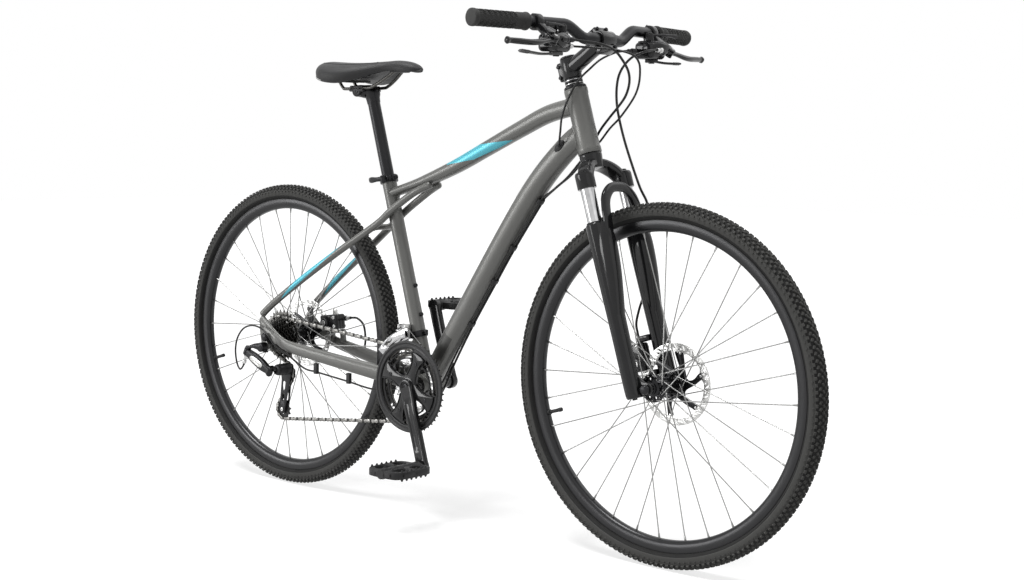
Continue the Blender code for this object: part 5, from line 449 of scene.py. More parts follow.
def smooth(stations, steps):
    """Catmull-Rom curve through tuples of any size."""
    values = [Vector(station) for station in stations]
    result = []
    for i in range(len(values) - 1):
        before = values[max(i - 1, 0)]
        start = values[i]
        end = values[i + 1]
        after = values[min(i + 2, len(values) - 1)]
        for k in range(steps):
            t = k / steps
            result.append(0.5 * (2 * start + (end - before) * t + (2 * before - 5 * start + 4 * end - after) * t * t
                                 + (3 * start - before - 3 * end + after) * t * t * t))
    result.append(values[-1])
    return result


def shaped_rings(stations, steps=6, count=32, power=2.0, lateral=Y, round_ends=0.0):
    """Rings through (x, y, z, width, height) stations; the width lies along the lateral."""
    path = smooth(stations, steps)
    rings = []
    for i, station in enumerate(path):
        centre = Vector(station[:3])
        tangent = (Vector(path[min(i + 1, len(path) - 1)][:3]) - Vector(path[max(i - 1, 0)][:3])).normalized()
        side = (lateral - lateral.dot(tangent) * tangent).normalized()
        up = tangent.cross(side)
        ring = []
        for k in range(count):
            c = math.cos(2 * math.pi * k / count)
            s = math.sin(2 * math.pi * k / count)
            across = math.copysign(abs(c) ** (2 / power), c) * station[3] / 2
            rise = math.copysign(abs(s) ** (2 / power), s) * station[4] / 2
            ring.append(centre + across * side + rise * up)
        rings.append(ring)
    if round_ends:
        for index, after in ((0, 1), (-1, -2)):
            middle = sum(rings[index], Vector()) / count
            out = (middle - sum(rings[after], Vector()) / count).normalized()
            domes = [[middle + (point - middle) * math.cos(a) + out * round_ends * math.sin(a)
                      for point in rings[index]] for a in (0.5, 1.0, 1.35)]
            domes.append([middle + out * round_ends])
            rings = domes[::-1] + rings if index == 0 else rings + domes
    return rings


def shaped(stations, steps=6, count=32, power=2.0, lateral=Y, round_ends=0.0):
    """Solid through the same stations."""
    return skin(shaped_rings(stations, steps, count, power, lateral, round_ends))


def tube(points, radius, sides=16, steps=1, closed=False):
    """Round tube along points; the radius is one number or one per point."""
    points = [Vector(point) for point in points]
    radii = list(radius) if isinstance(radius, (list, tuple)) else [radius] * len(points)
    path = [Vector((*point, r)) for point, r in zip(points, radii)]
    if steps > 1:
        path = smooth(path, steps)
    rings = []
    side = None
    count = len(path)
    for i, place in enumerate(path):
        here = Vector(place[:3])
        ahead = Vector(path[(i + 1) % count if closed else min(i + 1, count - 1)][:3])
        behind = Vector(path[i - 1 if closed or i else 0][:3])
        tangent = (ahead - behind).normalized()
        if side is None:
            side = tangent.orthogonal()
        side = (side - side.dot(tangent) * tangent).normalized()
        up = tangent.cross(side)
        rings.append([here + place[3] * (math.cos(a) * side + math.sin(a) * up)
                      for a in (2 * math.pi * k / sides for k in range(sides))])
    return skin(rings, closed)


def block(size, centre, edge=0.001, matrix=None, segments=3):
    """Box with rounded edges."""
    bm = bmesh.new()
    bmesh.ops.create_cube(bm, size=1.0)
    bmesh.ops.scale(bm, vec=Vector(size), verts=bm.verts)
    bmesh.ops.bevel(bm, geom=bm.edges[:], offset=edge, segments=segments, affect="EDGES", profile=0.5)
    bmesh.ops.translate(bm, vec=Vector(centre), verts=bm.verts)
    if matrix:
        bmesh.ops.transform(bm, matrix=matrix, verts=bm.verts)
        bmesh.ops.recalc_face_normals(bm, faces=bm.faces)
    return bm


def moved(form, matrix):
    """The same form in another place."""
    bmesh.ops.transform(form, matrix=matrix, verts=form.verts)
    return form


def basis(x_axis, y_axis, z_axis, origin=(0.0, 0.0, 0.0)):
    """Matrix with three given axes."""
    return Matrix.Translation(origin) @ Matrix((x_axis, y_axis, z_axis)).transposed().to_4x4()


MERGE_DISTANCE = 0.000002


def prism(outline, thickness, matrix, holes=(), edge=0.0003):
    """Flat plate with softened edges: a 2D outline with holes, extruded about its own plane."""
    curve = bpy.data.curves.new("plate", "CURVE")
    curve.dimensions = "2D"
    curve.fill_mode = "BOTH"
    curve.extrude = thickness / 2 - edge
    curve.bevel_depth = edge
    curve.bevel_resolution = 1
    curve.offset = -edge
    for loop in (outline, *holes):
        spline = curve.splines.new("POLY")
        spline.points.add(len(loop) - 1)
        for point, place in zip(spline.points, loop):
            point.co = (place[0], place[1], 0.0, 1.0)
        spline.use_cyclic_u = True
    obj = bpy.data.objects.new("plate", curve)
    bpy.context.scene.collection.objects.link(obj)
    bpy.context.view_layer.update()
    mesh = bpy.data.meshes.new_from_object(obj.evaluated_get(bpy.context.evaluated_depsgraph_get()))
    bpy.data.objects.remove(obj, do_unlink=True)
    mesh.transform(matrix)
    bm = bmesh.new()
    bm.from_mesh(mesh)
    bpy.data.meshes.remove(mesh)
    bmesh.ops.remove_doubles(bm, verts=bm.verts, dist=MERGE_DISTANCE)
    bmesh.ops.recalc_face_normals(bm, faces=bm.faces)
    return bm


def polar(radius, angle, centre=(0.0, 0.0)):
    return (centre[0] + radius * math.cos(angle), centre[1] + radius * math.sin(angle))


def round_point(radius, angle, y=0.0):
    """A point round the Y axis."""
    return Vector((radius * math.cos(angle), y, radius * math.sin(angle)))


def circle(radius, count=32, centre=(0.0, 0.0)):
    return [polar(radius, 2 * math.pi * k / count, centre) for k in range(count)]


def rectangle(width, height, centre=(0.0, 0.0)):
    return [(centre[0] + sx * width / 2, centre[1] + sy * height / 2)
            for sx, sy in ((-1, -1), (1, -1), (1, 1), (-1, 1))]


def rounded(outline, passes=2):
    """Outline with its corners cut, and cut again."""
    for _ in range(passes):
        cut = []
        for start, end in zip(outline, outline[1:] + outline[:1]):
            cut.append((0.78 * start[0] + 0.22 * end[0], 0.78 * start[1] + 0.22 * end[1]))
            cut.append((0.22 * start[0] + 0.78 * end[0], 0.22 * start[1] + 0.78 * end[1]))
        outline = cut
    return outline


def side_plane(y, centre=None):
    """Matrix that lays a plate's x and y along the bike's X and Z, at one y."""
    lay = Matrix(((1, 0, 0, 0), (0, 0, -1, y), (0, 1, 0, 0), (0, 0, 0, 1)))
    return Matrix.Translation(centre) @ lay if centre else lay


def arc_slot(inner, outer, start, end, steps=8):
    """Curved slot between two radii and two angles, with rounded ends."""
    middle = (inner + outer) / 2
    half = (outer - inner) / 2
    points = []
    for radius, first, last, turn in ((inner, start, end, 1), (outer, end, start, -1)):
        for k in range(steps + 1):
            points.append(polar(radius, first + (last - first) * k / steps))
        for k in range(1, 4):
            bulge = math.pi * k / 4
            shift = turn * half * math.sin(bulge) / middle
            points.append(polar(middle - turn * half * math.cos(bulge), last + shift))
    return points


def hull(points):
    """Convex outline round 2D points."""
    ordered = sorted(points)
    outline = []
    for sequence in (ordered, ordered[::-1]):
        chain = []
        for point in sequence:
            while len(chain) > 1 and ((chain[-1][0] - chain[-2][0]) * (point[1] - chain[-2][1])
                                      - (chain[-1][1] - chain[-2][1]) * (point[0] - chain[-2][0])) <= 1e-9:
                chain.pop()
            chain.append(point)
        outline += chain[:-1]
    return outline


def gather(*forms):
    """One bmesh of several forms."""
    result = bmesh.new()
    for form in forms:
        items = form if isinstance(form, (list, tuple)) else [form]
        for item in items:
            mesh = bpy.data.meshes.new("form")
            item.to_mesh(mesh)
            item.free()
            result.from_mesh(mesh)
            bpy.data.meshes.remove(mesh)
    return result


def mirrored(form):
    """The same form on the other side of the bike, its faces outward."""
    twin = form.copy()
    bmesh.ops.scale(twin, vec=Vector((1.0, -1.0, 1.0)), verts=twin.verts)
    bmesh.ops.reverse_faces(twin, faces=twin.faces)
    return twin


def both_sides(form):
    """The form with its twin on the other side of the bike."""
    return gather(mirrored(form), form)


def cap_bolt(at, way, radius=0.004, height=0.0035, socket=0.5):
    """Socket-head bolt: a chamfered head with a six-sided recess."""
    matrix = axes_matrix(at + way.normalized() * height / 2, way)
    head = prism(circle(radius, 24), height, matrix, [circle(socket * radius, 6)], 0.1 * radius)
    floor = rod(at, at + way.normalized() * height * 0.4, radius * 0.9, 16, 0.0001)
    return gather(head, floor)


# Repeats, made by node trees

def socket_key(tree, name):
    """A modifier's key for one input of its tree."""
    return next(item.identifier for item in tree.interface.items_tree if item.name == name and item.in_out == "INPUT")


def new_tree(name, inputs):
    """Geometry node group with its own inputs, its input node and its output node."""
    tree = bpy.data.node_groups.new(name, "GeometryNodeTree")
    tree.interface.new_socket("Geometry", in_out="INPUT", socket_type="NodeSocketGeometry")
    for label, kind in inputs:
        tree.interface.new_socket(label, in_out="INPUT", socket_type=kind)
    tree.interface.new_socket("Geometry", in_out="OUTPUT", socket_type="NodeSocketGeometry")
    return tree, tree.nodes.new("NodeGroupInput"), tree.nodes.new("NodeGroupOutput")


def end_tree(tree, instances, given, out):
    """Real geometry with its finish at the end of a tree."""
    real = add_node(tree, "GeometryNodeRealizeInstances", None, {"Geometry": instances})
    dress = add_node(tree, "GeometryNodeSetMaterial", None,
                     {"Geometry": real.outputs["Geometry"], "Material": given.outputs["Finish"]})
    tree.links.new(dress.outputs["Geometry"], out.inputs["Geometry"])


def round_tree():
    """Copies of the piece itself, turned evenly round the Y axis."""
    tree, given, out = new_tree("round_the_axle", [("Count", "NodeSocketInt"), ("Finish", "NodeSocketMaterial")])
    whole = add_node(tree, "GeometryNodeGeometryToInstance", None, {"Geometry": given.outputs["Geometry"]})
    copies = add_node(tree, "GeometryNodeDuplicateElements", {"domain": "INSTANCE"},
                      {"Geometry": whole.outputs["Instances"], "Amount": given.outputs["Count"]})
    step = add_node(tree, "ShaderNodeMath", {"operation": "DIVIDE"}, {0: 2 * math.pi, 1: given.outputs["Count"]})
    angle = add_node(tree, "ShaderNodeMath", {"operation": "MULTIPLY"},
                     {0: step.outputs[0], 1: copies.outputs["Duplicate Index"]})
    about = add_node(tree, "ShaderNodeCombineXYZ", None, {"Y": angle.outputs[0]})
    turn = add_node(tree, "GeometryNodeRotateInstances", None,
                    {"Instances": copies.outputs["Geometry"], "Rotation": about.outputs["Vector"],
                     "Local Space": False})
    end_tree(tree, turn.outputs["Instances"], given, out)
    return tree


def carrier_tree():
    """Copies of one piece on the points of another, each turned as its point says."""
    inputs = [("Piece", "NodeSocketObject"), ("Finish", "NodeSocketMaterial")]
    tree, given, out = new_tree("on_carrier_points", inputs)
    copied = add_node(tree, "GeometryNodeObjectInfo", None, {"Object": given.outputs["Piece"], "As Instance": True})
    turn = add_node(tree, "GeometryNodeInputNamedAttribute", {"data_type": "FLOAT_VECTOR"}, {"Name": "turn"})
    put = add_node(tree, "GeometryNodeInstanceOnPoints", None,
                   {"Points": given.outputs["Geometry"], "Instance": copied.outputs["Geometry"],
                    "Rotation": turn.outputs["Attribute"]})
    end_tree(tree, put.outputs["Instances"], given, out)
    return tree


ROUND_TREE = round_tree()
CARRIER_TREE = carrier_tree()


def bake_tree(obj, tree, values):
    """Run a tree on an object and keep the result as its plain mesh."""
    modifier = obj.modifiers.new("repeat", "NODES")
    modifier.node_group = tree
    for name, value in values.items():
        modifier[socket_key(tree, name)] = value
    bpy.context.view_layer.update()
    mesh = bpy.data.meshes.new_from_object(obj.evaluated_get(bpy.context.evaluated_depsgraph_get()))
    obj.modifiers.remove(modifier)
    obj.data = mesh
    return obj


# Finished pieces

def settle(obj, finish, body, replaces, sharp):
    """Give a piece its finish, its body, and the CAD nodes that it stands for."""
    material, slot = FINISH[finish]
    obj.data.materials.clear()
    obj.data.materials.append(material)
    obj.data.shade_smooth()
    obj.data.set_sharp_from_angle(angle=math.radians(sharp))
    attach(obj, body)
    if replaces:
        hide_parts(*replaces)
    return obj


def new_object(name, form):
    """A linked object made of one form or of a list of them."""
    if isinstance(form, (list, tuple)):
        form = gather(*form)
    mesh = bpy.data.meshes.new(name)
    form.to_mesh(mesh)
    form.free()
    obj = bpy.data.objects.new(name, mesh)
    bpy.context.scene.collection.objects.link(obj)
    return obj


def piece(name, form, finish, body, replaces=(), sharp=32):
    """A named piece that rides a body and may stand for CAD nodes."""
    return settle(new_object(name, form), finish, body, replaces, sharp)


def round_piece(name, form, count, centre, finish, body, replaces=(), sharp=32):
    """A piece repeated evenly round an axle, from one form made round the origin."""
    obj = bake_tree(new_object(name, form), ROUND_TREE, {"Count": count, "Finish": FINISH[finish][0]})
    obj.data.transform(Matrix.Translation(centre))
    return settle(obj, finish, body, replaces, sharp)


def carried_piece(name, form, places, finish, body, replaces=(), sharp=32):
    """Copies of one small form at (point, matrix) places."""
    pattern = new_object(name + "_pattern", form)
    carrier = bpy.data.meshes.new(name)
    carrier.from_pydata([point for point, _ in places], [], [])
    turns = carrier.attributes.new("turn", "FLOAT_VECTOR", "POINT")
    for item, (_, matrix) in zip(turns.data, places):
        item.vector = Vector(matrix.to_3x3().to_euler())
    obj = bpy.data.objects.new(name, carrier)
    bpy.context.scene.collection.objects.link(obj)
    bake_tree(obj, CARRIER_TREE, {"Piece": pattern, "Finish": FINISH[finish][0]})
    bpy.data.objects.remove(pattern, do_unlink=True)
    return settle(obj, finish, body, replaces, sharp)


# Camera, light and floor

CAMERA_AT = (2.25562, -2.42502, 0.81563)
CAMERA_WAY = Vector((-0.65278, 0.75141, -0.09625)).normalized()
CAMERA_ROLL = math.radians(0.8853)
SENSOR_WIDTH = 36.0
FOCAL_PIXELS = 1573.53
PICTURE_PIXELS = 1024.0
# Each lamp: the way to it, its strength and its spread in degrees
LAMPS = {"key": ((-0.3, -0.45, 1.6), 2.7, 22.0), "side": ((-0.62, -0.76, 0.02), 1.35, 26.0),
         "rim": ((0.35, 0.9, 0.9), 0.4, 40.0), "front": ((1.0, -0.3, 0.4), 0.15, 40.0)}
WHITE = (1.0, 1.0, 1.0, 1.0)
FLOOR_GREY = (0.42, 0.42, 0.42, 1.0)
FLOOR_GLOW = 0.76
FLOOR_HALF = 14.0
SOFT_LIGHT = 0.1


def view_and_light():
    """The photograph's camera, the studio's lamps, and the floor."""
    scene = bpy.context.scene
    scene.view_settings.view_transform = "Standard"
    level = CAMERA_WAY.cross(Z).normalized()
    rise = level.cross(CAMERA_WAY)
    c, s = math.cos(CAMERA_ROLL), math.sin(CAMERA_ROLL)
    data = bpy.data.cameras.new("view")
    data.sensor_width = SENSOR_WIDTH
    data.lens = SENSOR_WIDTH * FOCAL_PIXELS / PICTURE_PIXELS
    data.clip_end = 60.0
    camera = bpy.data.objects.new("view", data)
    camera.matrix_world = basis(level * c + rise * s, rise * c - level * s, -CAMERA_WAY, CAMERA_AT)
    scene.collection.objects.link(camera)
    scene.camera = camera
    for name, settings in LAMPS.items():
        lamp(name, *settings)
    white_world(scene)
    bm = bmesh.new()
    bmesh.ops.create_grid(bm, x_segments=1, y_segments=1, size=FLOOR_HALF)
    floor = new_object("floor", bm)
    floor.data.materials.append(floor_finish())


def lamp(name, way, power, spread):
    """Broad studio light from one direction, even over the whole floor."""
    data = bpy.data.lights.new(name, "SUN")
    data.energy = power
    data.angle = math.radians(spread)
    obj = bpy.data.objects.new(name, data)
    obj.matrix_world = axes_matrix(Vector(way) * 3.0, Vector(way))
    bpy.context.scene.collection.objects.link(obj)


def background_rays(tree):
    """1 for rays from the camera, a mirror or glass, and 0 for light on the object."""
    path = tree.nodes.new("ShaderNodeLightPath")
    total = path.outputs["Is Camera Ray"]
    for name in ("Is Glossy Ray", "Is Transmission Ray"):
        larger = add_node(tree, "ShaderNodeMath", {"operation": "MAXIMUM"}, {0: total, 1: path.outputs[name]})
        total = larger.outputs[0]
    return total


def white_world(scene):
    """White to look at, and a dim even light on the object."""
    world = bpy.data.worlds.new("studio")
    scene.world = world
    world.use_nodes = True
    tree = world.node_tree
    soft = tree.nodes["Background"]
    soft.inputs["Color"].default_value = WHITE
    soft.inputs["Strength"].default_value = SOFT_LIGHT
    white = add_node(tree, "ShaderNodeBackground", None, {"Color": WHITE, "Strength": 1.0})
    choose = add_node(tree, "ShaderNodeMixShader", None,
                      {0: background_rays(tree), 1: soft.outputs[0], 2: white.outputs[0]})
    tree.links.new(choose.outputs[0], tree.nodes["World Output"].inputs["Surface"])


def floor_finish():
    """White matt floor that keeps the shadow and meets the white background without a line."""
    material = bpy.data.materials.new("white_floor")
    material.use_nodes = True
    tree = material.node_tree
    tree.nodes.remove(tree.nodes["Principled BSDF"])
    matt = add_node(tree, "ShaderNodeBsdfDiffuse", None, {"Color": FLOOR_GREY})
    level = add_node(tree, "ShaderNodeMath", {"operation": "MULTIPLY"}, {0: background_rays(tree), 1: FLOOR_GLOW})
    glow = add_node(tree, "ShaderNodeEmission", None, {"Color": WHITE, "Strength": level.outputs[0]})
    both = add_node(tree, "ShaderNodeAddShader", None, {0: matt.outputs[0], 1: glow.outputs[0]})
    tree.links.new(both.outputs[0], tree.nodes["Material Output"].inputs["Surface"])
    return material


view_and_light()


# Frame

HEAD_FOOT = 0.4735
HEAD_LENGTH = 0.131
# Stations of the tubes: x, y, z, width and height
TOP_TUBE = [(-0.2055, 0, 0.69, 0.03, 0.02), (-0.15, 0, 0.706, 0.034, 0.021),
            (-0.1, 0, 0.7205, 0.036, 0.025), (-0.008, 0, 0.755, 0.034, 0.029),
            (0.081, 0, 0.795, 0.033, 0.031), (0.168, 0, 0.834, 0.033, 0.033),
            (0.24, 0, 0.864, 0.034, 0.035), (0.312, 0, 0.88, 0.034, 0.036)]
DOWN_TUBE = [(0.332, 0, 0.826, 0.036, 0.046), (0.299, 0, 0.807, 0.042, 0.047),
             (0.225, 0, 0.735, 0.048, 0.047), (0.149, 0, 0.635, 0.048, 0.047),
             (0.02, 0, 0.443, 0.047, 0.047), (-0.085, 0, 0.284, 0.047, 0.041)]
CHAIN_STAY = [(-0.09, 0.025, 0.285, 0.018, 0.03), (-0.15, 0.03, 0.2915, 0.018, 0.034),
              (-0.213, 0.0385, 0.3, 0.018, 0.034), (-0.325, 0.054, 0.315, 0.018, 0.03),
              (-0.43, 0.066, 0.329, 0.015, 0.027), (-0.475, 0.0716, 0.338, 0.009, 0.025),
              (-0.512, 0.0713, 0.3565, 0.0066, 0.024), (-0.556, 0.0713, 0.39, 0.0066, 0.024)]
SEAT_STAY = [(-0.075, 0.013, 0.713), (-0.115, 0.0215, 0.695), (-0.18, 0.0242, 0.655),
             (-0.225, 0.0265, 0.622), (-0.336, 0.046, 0.551), (-0.44, 0.059, 0.483),
             (-0.515, 0.069, 0.43), (-0.55, 0.072, 0.402)]
SEAT_TUBE_TOP = 0.4615
SEAT_TUBE_RADIUS = 0.0159
SEAT_STAY_WIDTH = 0.016
DOWN_NORMAL = DOWN_OUT.normalized()
GUIDES = [(0.201, 0.7035), (0.13, 0.6065), (0.081, 0.534), (0.018, 0.4395)]
GUIDE_DROP = 0.027
PORT = Vector((0.285, -0.0215, 0.801))
PORT_WAY = Vector((-0.5, 0.62, -0.6)).normalized()
STAY_GUIDES = [(-0.38, 0.06, 0.304), (-0.285, 0.0485, 0.2912)]
REAR_CALIPER_AT = REAR_AXLE + Vector((0.0867, 0.0, 0.032))
REAR_CALIPER_ANGLE = math.radians(8)
DROPOUT_Y = 0.0713
SLOT_RADIUS = 0.0053
SHELL_HALF = 0.034
HANGER = REAR_AXLE + Vector((-0.0063, 0.0, -0.024))
PLATE = 0.007


def head_tube():
    """Tube with a raised band at each end."""
    band = [(0.0, 0.0), (0.0231, 0.0), (0.0235, 0.0005), (0.0235, 0.009), (0.0231, 0.0115), (0.0225, 0.013)]
    profile = [(radius, HEAD_LENGTH - height) for radius, height in band] + [(0.0222, HEAD_LENGTH / 2)] + band[::-1]
    return turned(profile, on_fork(0, 0, HEAD_FOOT), STEER_UP, 72)


def paired(stations):
    """A half given from the left to the middle, followed by its mirror."""
    return stations + [(s[0], -s[1], *s[2:]) for s in reversed(stations[:-1])]


def weld(rings, target, radius=0.0021, pitch=0.0021):
    """Rippled bead where a tube's surface first meets another form."""
    tree = BVHTree.FromBMesh(target)
    hits = []
    for column in zip(*rings):
        for start, end in zip(column, column[1:]):
            way = end - start
            found = tree.ray_cast(start, way.normalized(), way.length)[0]
            if found:
                hits.append(found)
                break
    if len(hits) < 8:
        return bmesh.new()
    around = [(a + 2 * b + c) / 4 for a, b, c in zip(hits[-1:] + hits[:-1], hits, hits[1:] + hits[:1])]
    lengths = [(b - a).length for a, b in zip(around, around[1:] + around[:1])]
    total = sum(lengths)
    count = 3 * round(total / pitch)
    points = []
    for k in range(count):
        reach = total * k / count
        i = 0
        while reach > lengths[i]:
            reach -= lengths[i]
            i += 1
        points.append(around[i].lerp(around[(i + 1) % len(around)], reach / lengths[i]))
    radii = [radius * (0.92, 1.1, 1.0)[k % 3] for k in range(count)]
    return tube(points, radii, 10, closed=True)


def frame_front():
    """Tubes of the front triangle, and the welds between them."""
    head = head_tube()
    top_rings = shaped_rings(TOP_TUBE, 10, 48, 2.3)
    down_rings = shaped_rings(DOWN_TUBE, 12, 48, 2.3)
    edge = 0.0006
    seat = turned([(0.0, -0.01), (SEAT_TUBE_RADIUS, -0.01), (SEAT_TUBE_RADIUS, SEAT_TUBE_TOP - edge),
                   (SEAT_TUBE_RADIUS - edge, SEAT_TUBE_TOP), (0.014, SEAT_TUBE_TOP), (0.0, SEAT_TUBE_TOP - edge)],
                  BB, SEAT_UP, 64)
    shell = turned([(0.0, -SHELL_HALF), (0.0195, -SHELL_HALF), (0.0205, -0.033), (0.0205, 0.033),
                    (0.0195, SHELL_HALF), (0.0, SHELL_HALF)], BB, Y, 64)
    top = skin(top_rings)
    beads = [weld(top_rings, head), weld(top_rings[::-1], seat), weld(down_rings[::-1], head),
             weld(down_rings, shell, 0.0024)]
    seat_rings = shaped_rings([(*on_seat_tube(u), 0.0318, 0.0318) for u in (0.16, 0.1, 0.05, 0.0)], 6, 48)
    beads.append(weld(seat_rings, shell))
    stay_rings = shaped_rings([(*point, SEAT_STAY_WIDTH, SEAT_STAY_WIDTH) for point in reversed(SEAT_STAY)], 10, 32)
    bead = weld(stay_rings, top, 0.0017)
    beads += [mirrored(bead), bead]
    return [head, top, skin(down_rings), seat, shell, *beads]


def cable_clips():
    """Clips under the down tube, each open for two housings."""
    clips = []
    for x, z in GUIDES:
        centre = Vector((x, 0.0, z)) + (GUIDE_DROP - 0.003) * DOWN_NORMAL
        matrix = basis(Y, DOWN_NORMAL, Y.cross(DOWN_NORMAL), centre)
        opening = rounded(rectangle(0.0138, 0.0052, (0.0, 0.003)))
        clips.append(prism(rounded(rectangle(0.017, 0.014)), 0.01, matrix, [opening], 0.0006))
    return clips


def port_pad():
    """Oval pad round the port where the front shift cable enters the down tube."""
    outline = [(0.015 * math.cos(a), 0.0075 * math.sin(a)) for a in (2 * math.pi * k / 40 for k in range(40))]
    along = Vector((DOWN_TUBE[1][0] - DOWN_TUBE[2][0], 0.0, DOWN_TUBE[1][2] - DOWN_TUBE[2][2]))
    return prism(outline, 0.008, axes_matrix(PORT + 0.0015 * Y, -Y, along), (), 0.002)


piece("front_frame_tubes", frame_front(), "paint", "frame", ["front_frame"], 40)
piece("port_pad", [port_pad()], "plastic", "frame", ["front_frame"])
piece("down_tube_clips", cable_clips(), "plastic", "frame", ["front_frame"])


def bottle_bosses():
    """Two bosses ahead of the seat tube, each with its bolt."""
    forms = []
    for place in (0.15, 0.214):
        base = on_seat_tube(place, 0, SEAT_TUBE_RADIUS - 0.001)
        face = base + 0.0034 * SEAT_FORWARD
        forms += [rod(base, face, 0.0048, 24, 0.0008), cap_bolt(face, SEAT_FORWARD, 0.004, 0.003)]
    return forms


def bearing_cups():
    """Notched bottom bracket cups either side of the shell."""
    cups = []
    for side in (-1, 1):
        outline = []
        for k in range(16):
            for turn, radius in ((-0.3, 0.0185), (0.1, 0.0185), (0.2, 0.0172), (0.5, 0.0172)):
                outline.append(polar(radius, 2 * math.pi * (k + turn) / 16))
        cups.append(prism(outline, 0.0034, side_plane(side * 0.0358, BB), [circle(0.0095, 32)], 0.0004))
    return cups


piece("bottle_bosses", bottle_bosses(), "black", "frame")
piece("bearing_cups", bearing_cups(), "black", "frame")


def dropout_plates():
    """Plates round the axle slots; the right one carries the derailleur's hanger."""
    x, z = REAR_AXLE.x, REAR_AXLE.z
    front = [(x + 0.0547, z - 0.01), (x + 0.0197, z + 0.007), (x - 0.0213, z + 0.04)]
    left = front + [(x - 0.0213, z + 0.02)]
    left += [polar(0.015, math.radians(a), (x, z)) for a in (190, 210, 230, 248)]
    left += [polar(SLOT_RADIUS, math.radians(a), (x, z)) for a in (180, 135, 90, 45, 0)]
    left += [polar(0.015, math.radians(a), (x, z)) for a in (292, 310, 330)] + [(x + 0.0347, z - 0.017)]
    mouth = math.atan2(-0.785, 0.62)
    right = front + [(x - 0.0253, z + 0.02)]
    right += [polar(0.01, math.radians(a), (HANGER.x, HANGER.z)) for a in range(180, 341, 20)]
    right += [(x + 0.0082, z - 0.019)]
    right += [polar(SLOT_RADIUS, mouth + math.radians(a), (x, z)) for a in (-90, -135, 180, 135, 90)]
    right += [(x + 0.0166, z - 0.0124), (x + 0.0297, z - 0.015)]
    hole = circle(0.005, 24, (HANGER.x, HANGER.z))
    return [prism(rounded(left), PLATE, side_plane(DROPOUT_Y), (), 0.0008),
            prism(rounded(right), PLATE, side_plane(-DROPOUT_Y), [hole], 0.0008)]


def rear_triangle():
    """Stays, their arch and bridge, the welds, the caliper's two mounts and the dropouts."""
    stay = shaped(CHAIN_STAY, 10, 40, 2.6, Y, 0.004)
    seat_stay = shaped([(*point, SEAT_STAY_WIDTH, SEAT_STAY_WIDTH) for point in SEAT_STAY], 10, 32, 2.0, Y, 0.004)
    x, y, z = SEAT_STAY[3]
    half = [(x - 0.013, y + 0.0025, z - 0.008), (x - 0.004, y - 0.0085, z - 0.006), (x - 0.001, 0.0, z - 0.0055)]
    arch_rings = shaped_rings([(*point, 0.013, 0.018) for point in paired(half)], 8, 32, 2.2, Z)
    bead = weld(arch_rings[len(arch_rings) // 2:], mirrored(seat_stay), 0.0015)
    bridge = rod((-0.142, -0.036, 0.2905), (-0.142, 0.036, 0.2905), 0.0085, 32)
    shell = rod(BB - SHELL_HALF * Y, BB + SHELL_HALF * Y, 0.0205, 64)
    foot = weld(shaped_rings(CHAIN_STAY[::-1], 10, 40, 2.6), shell, 0.0019)
    forms = [both_sides(stay), both_sides(seat_stay), skin(arch_rings), both_sides(bead), both_sides(foot), bridge]
    place = Vector((REAR_CALIPER_AT.x, 0.064, REAR_CALIPER_AT.z))
    matrix = Matrix.Translation(place) @ Matrix.Rotation(-REAR_CALIPER_ANGLE, 4, "Y")
    for along in (-0.018, 0.018):
        forms.append(block((0.011, 0.011, 0.03), (along, 0, -0.0333), 0.002, matrix))
    return forms + dropout_plates()


piece("rear_triangle", rear_triangle(), "paint", "frame", ["rear_stays"], 40)
piece("stay_guides", [block((0.011, 0.008, 0.024), (x, -y, z - 0.013), 0.0012) for x, y, z in STAY_GUIDES],
      "plastic", "frame")


# Wheels

SPOKES = 32
SPOKE_SETS = 8
SPOKE_CIRCLE = 0.0235
SPOKE_SEAT = 0.294
RIVET_CIRCLE = 0.062
RIVET_TURN = 0.36
ROTOR_TABS = 6
HUB_BORE = 0.0125
TREAD_COUNT = 88
TREAD_STEP = 2 * math.pi / TREAD_COUNT


def tyre_ridge(y):
    """Radius of the tyre's carcass at a distance from its middle."""
    share = min(abs(y) / 0.0187, 1.0)
    return 0.331 + 0.016 * (1.0 - share ** 2.3) ** (1 / 2.3)


def tyre_casing(axle):
    """Closed section: beads, side walls with fine moulded ribs, and the ground under the tread."""
    side = [(0.3115, 0.0075), (0.313, 0.0096), (0.3176, 0.01), (0.3182, 0.0112), (0.319, 0.0118),
            (0.3196, 0.0136), (0.3215, 0.0153), (0.3219, 0.016), (0.3228, 0.0164), (0.325, 0.0176),
            (0.3254, 0.0181), (0.3266, 0.0183), (0.331, 0.0187)]
    over = [(tyre_ridge(y), y) for y in (0.0184, 0.0176, 0.0162, 0.0143, 0.012, 0.0093, 0.0062, 0.0031)]
    half = side + over
    return turned(paired(half + [(tyre_ridge(0), 0.0)]), axle, Y, 180, True)


def knob(y, turn, length, width, height, skew=0.0):
    """Tapered tread knob on the casing, made for the wheel's top."""
    place = Vector((0.0, y, tyre_ridge(y) - 0.0009))
    slope = (tyre_ridge(y + 0.0006) - tyre_ridge(y - 0.0006)) / 0.0012
    normal = Vector((0.0, -slope, 1.0)).normalized()
    matrix = Matrix.Rotation(turn, 4, "Y") @ axes_matrix(place, normal, X) @ Matrix.Rotation(skew, 4, "Z")
    return skin([[matrix @ Vector((*corner, rise)) for corner in rectangle(share * length, share * width)]
                 for share, rise in ((1.0, 0.0), (0.9, height * 0.82), (0.78, height))])


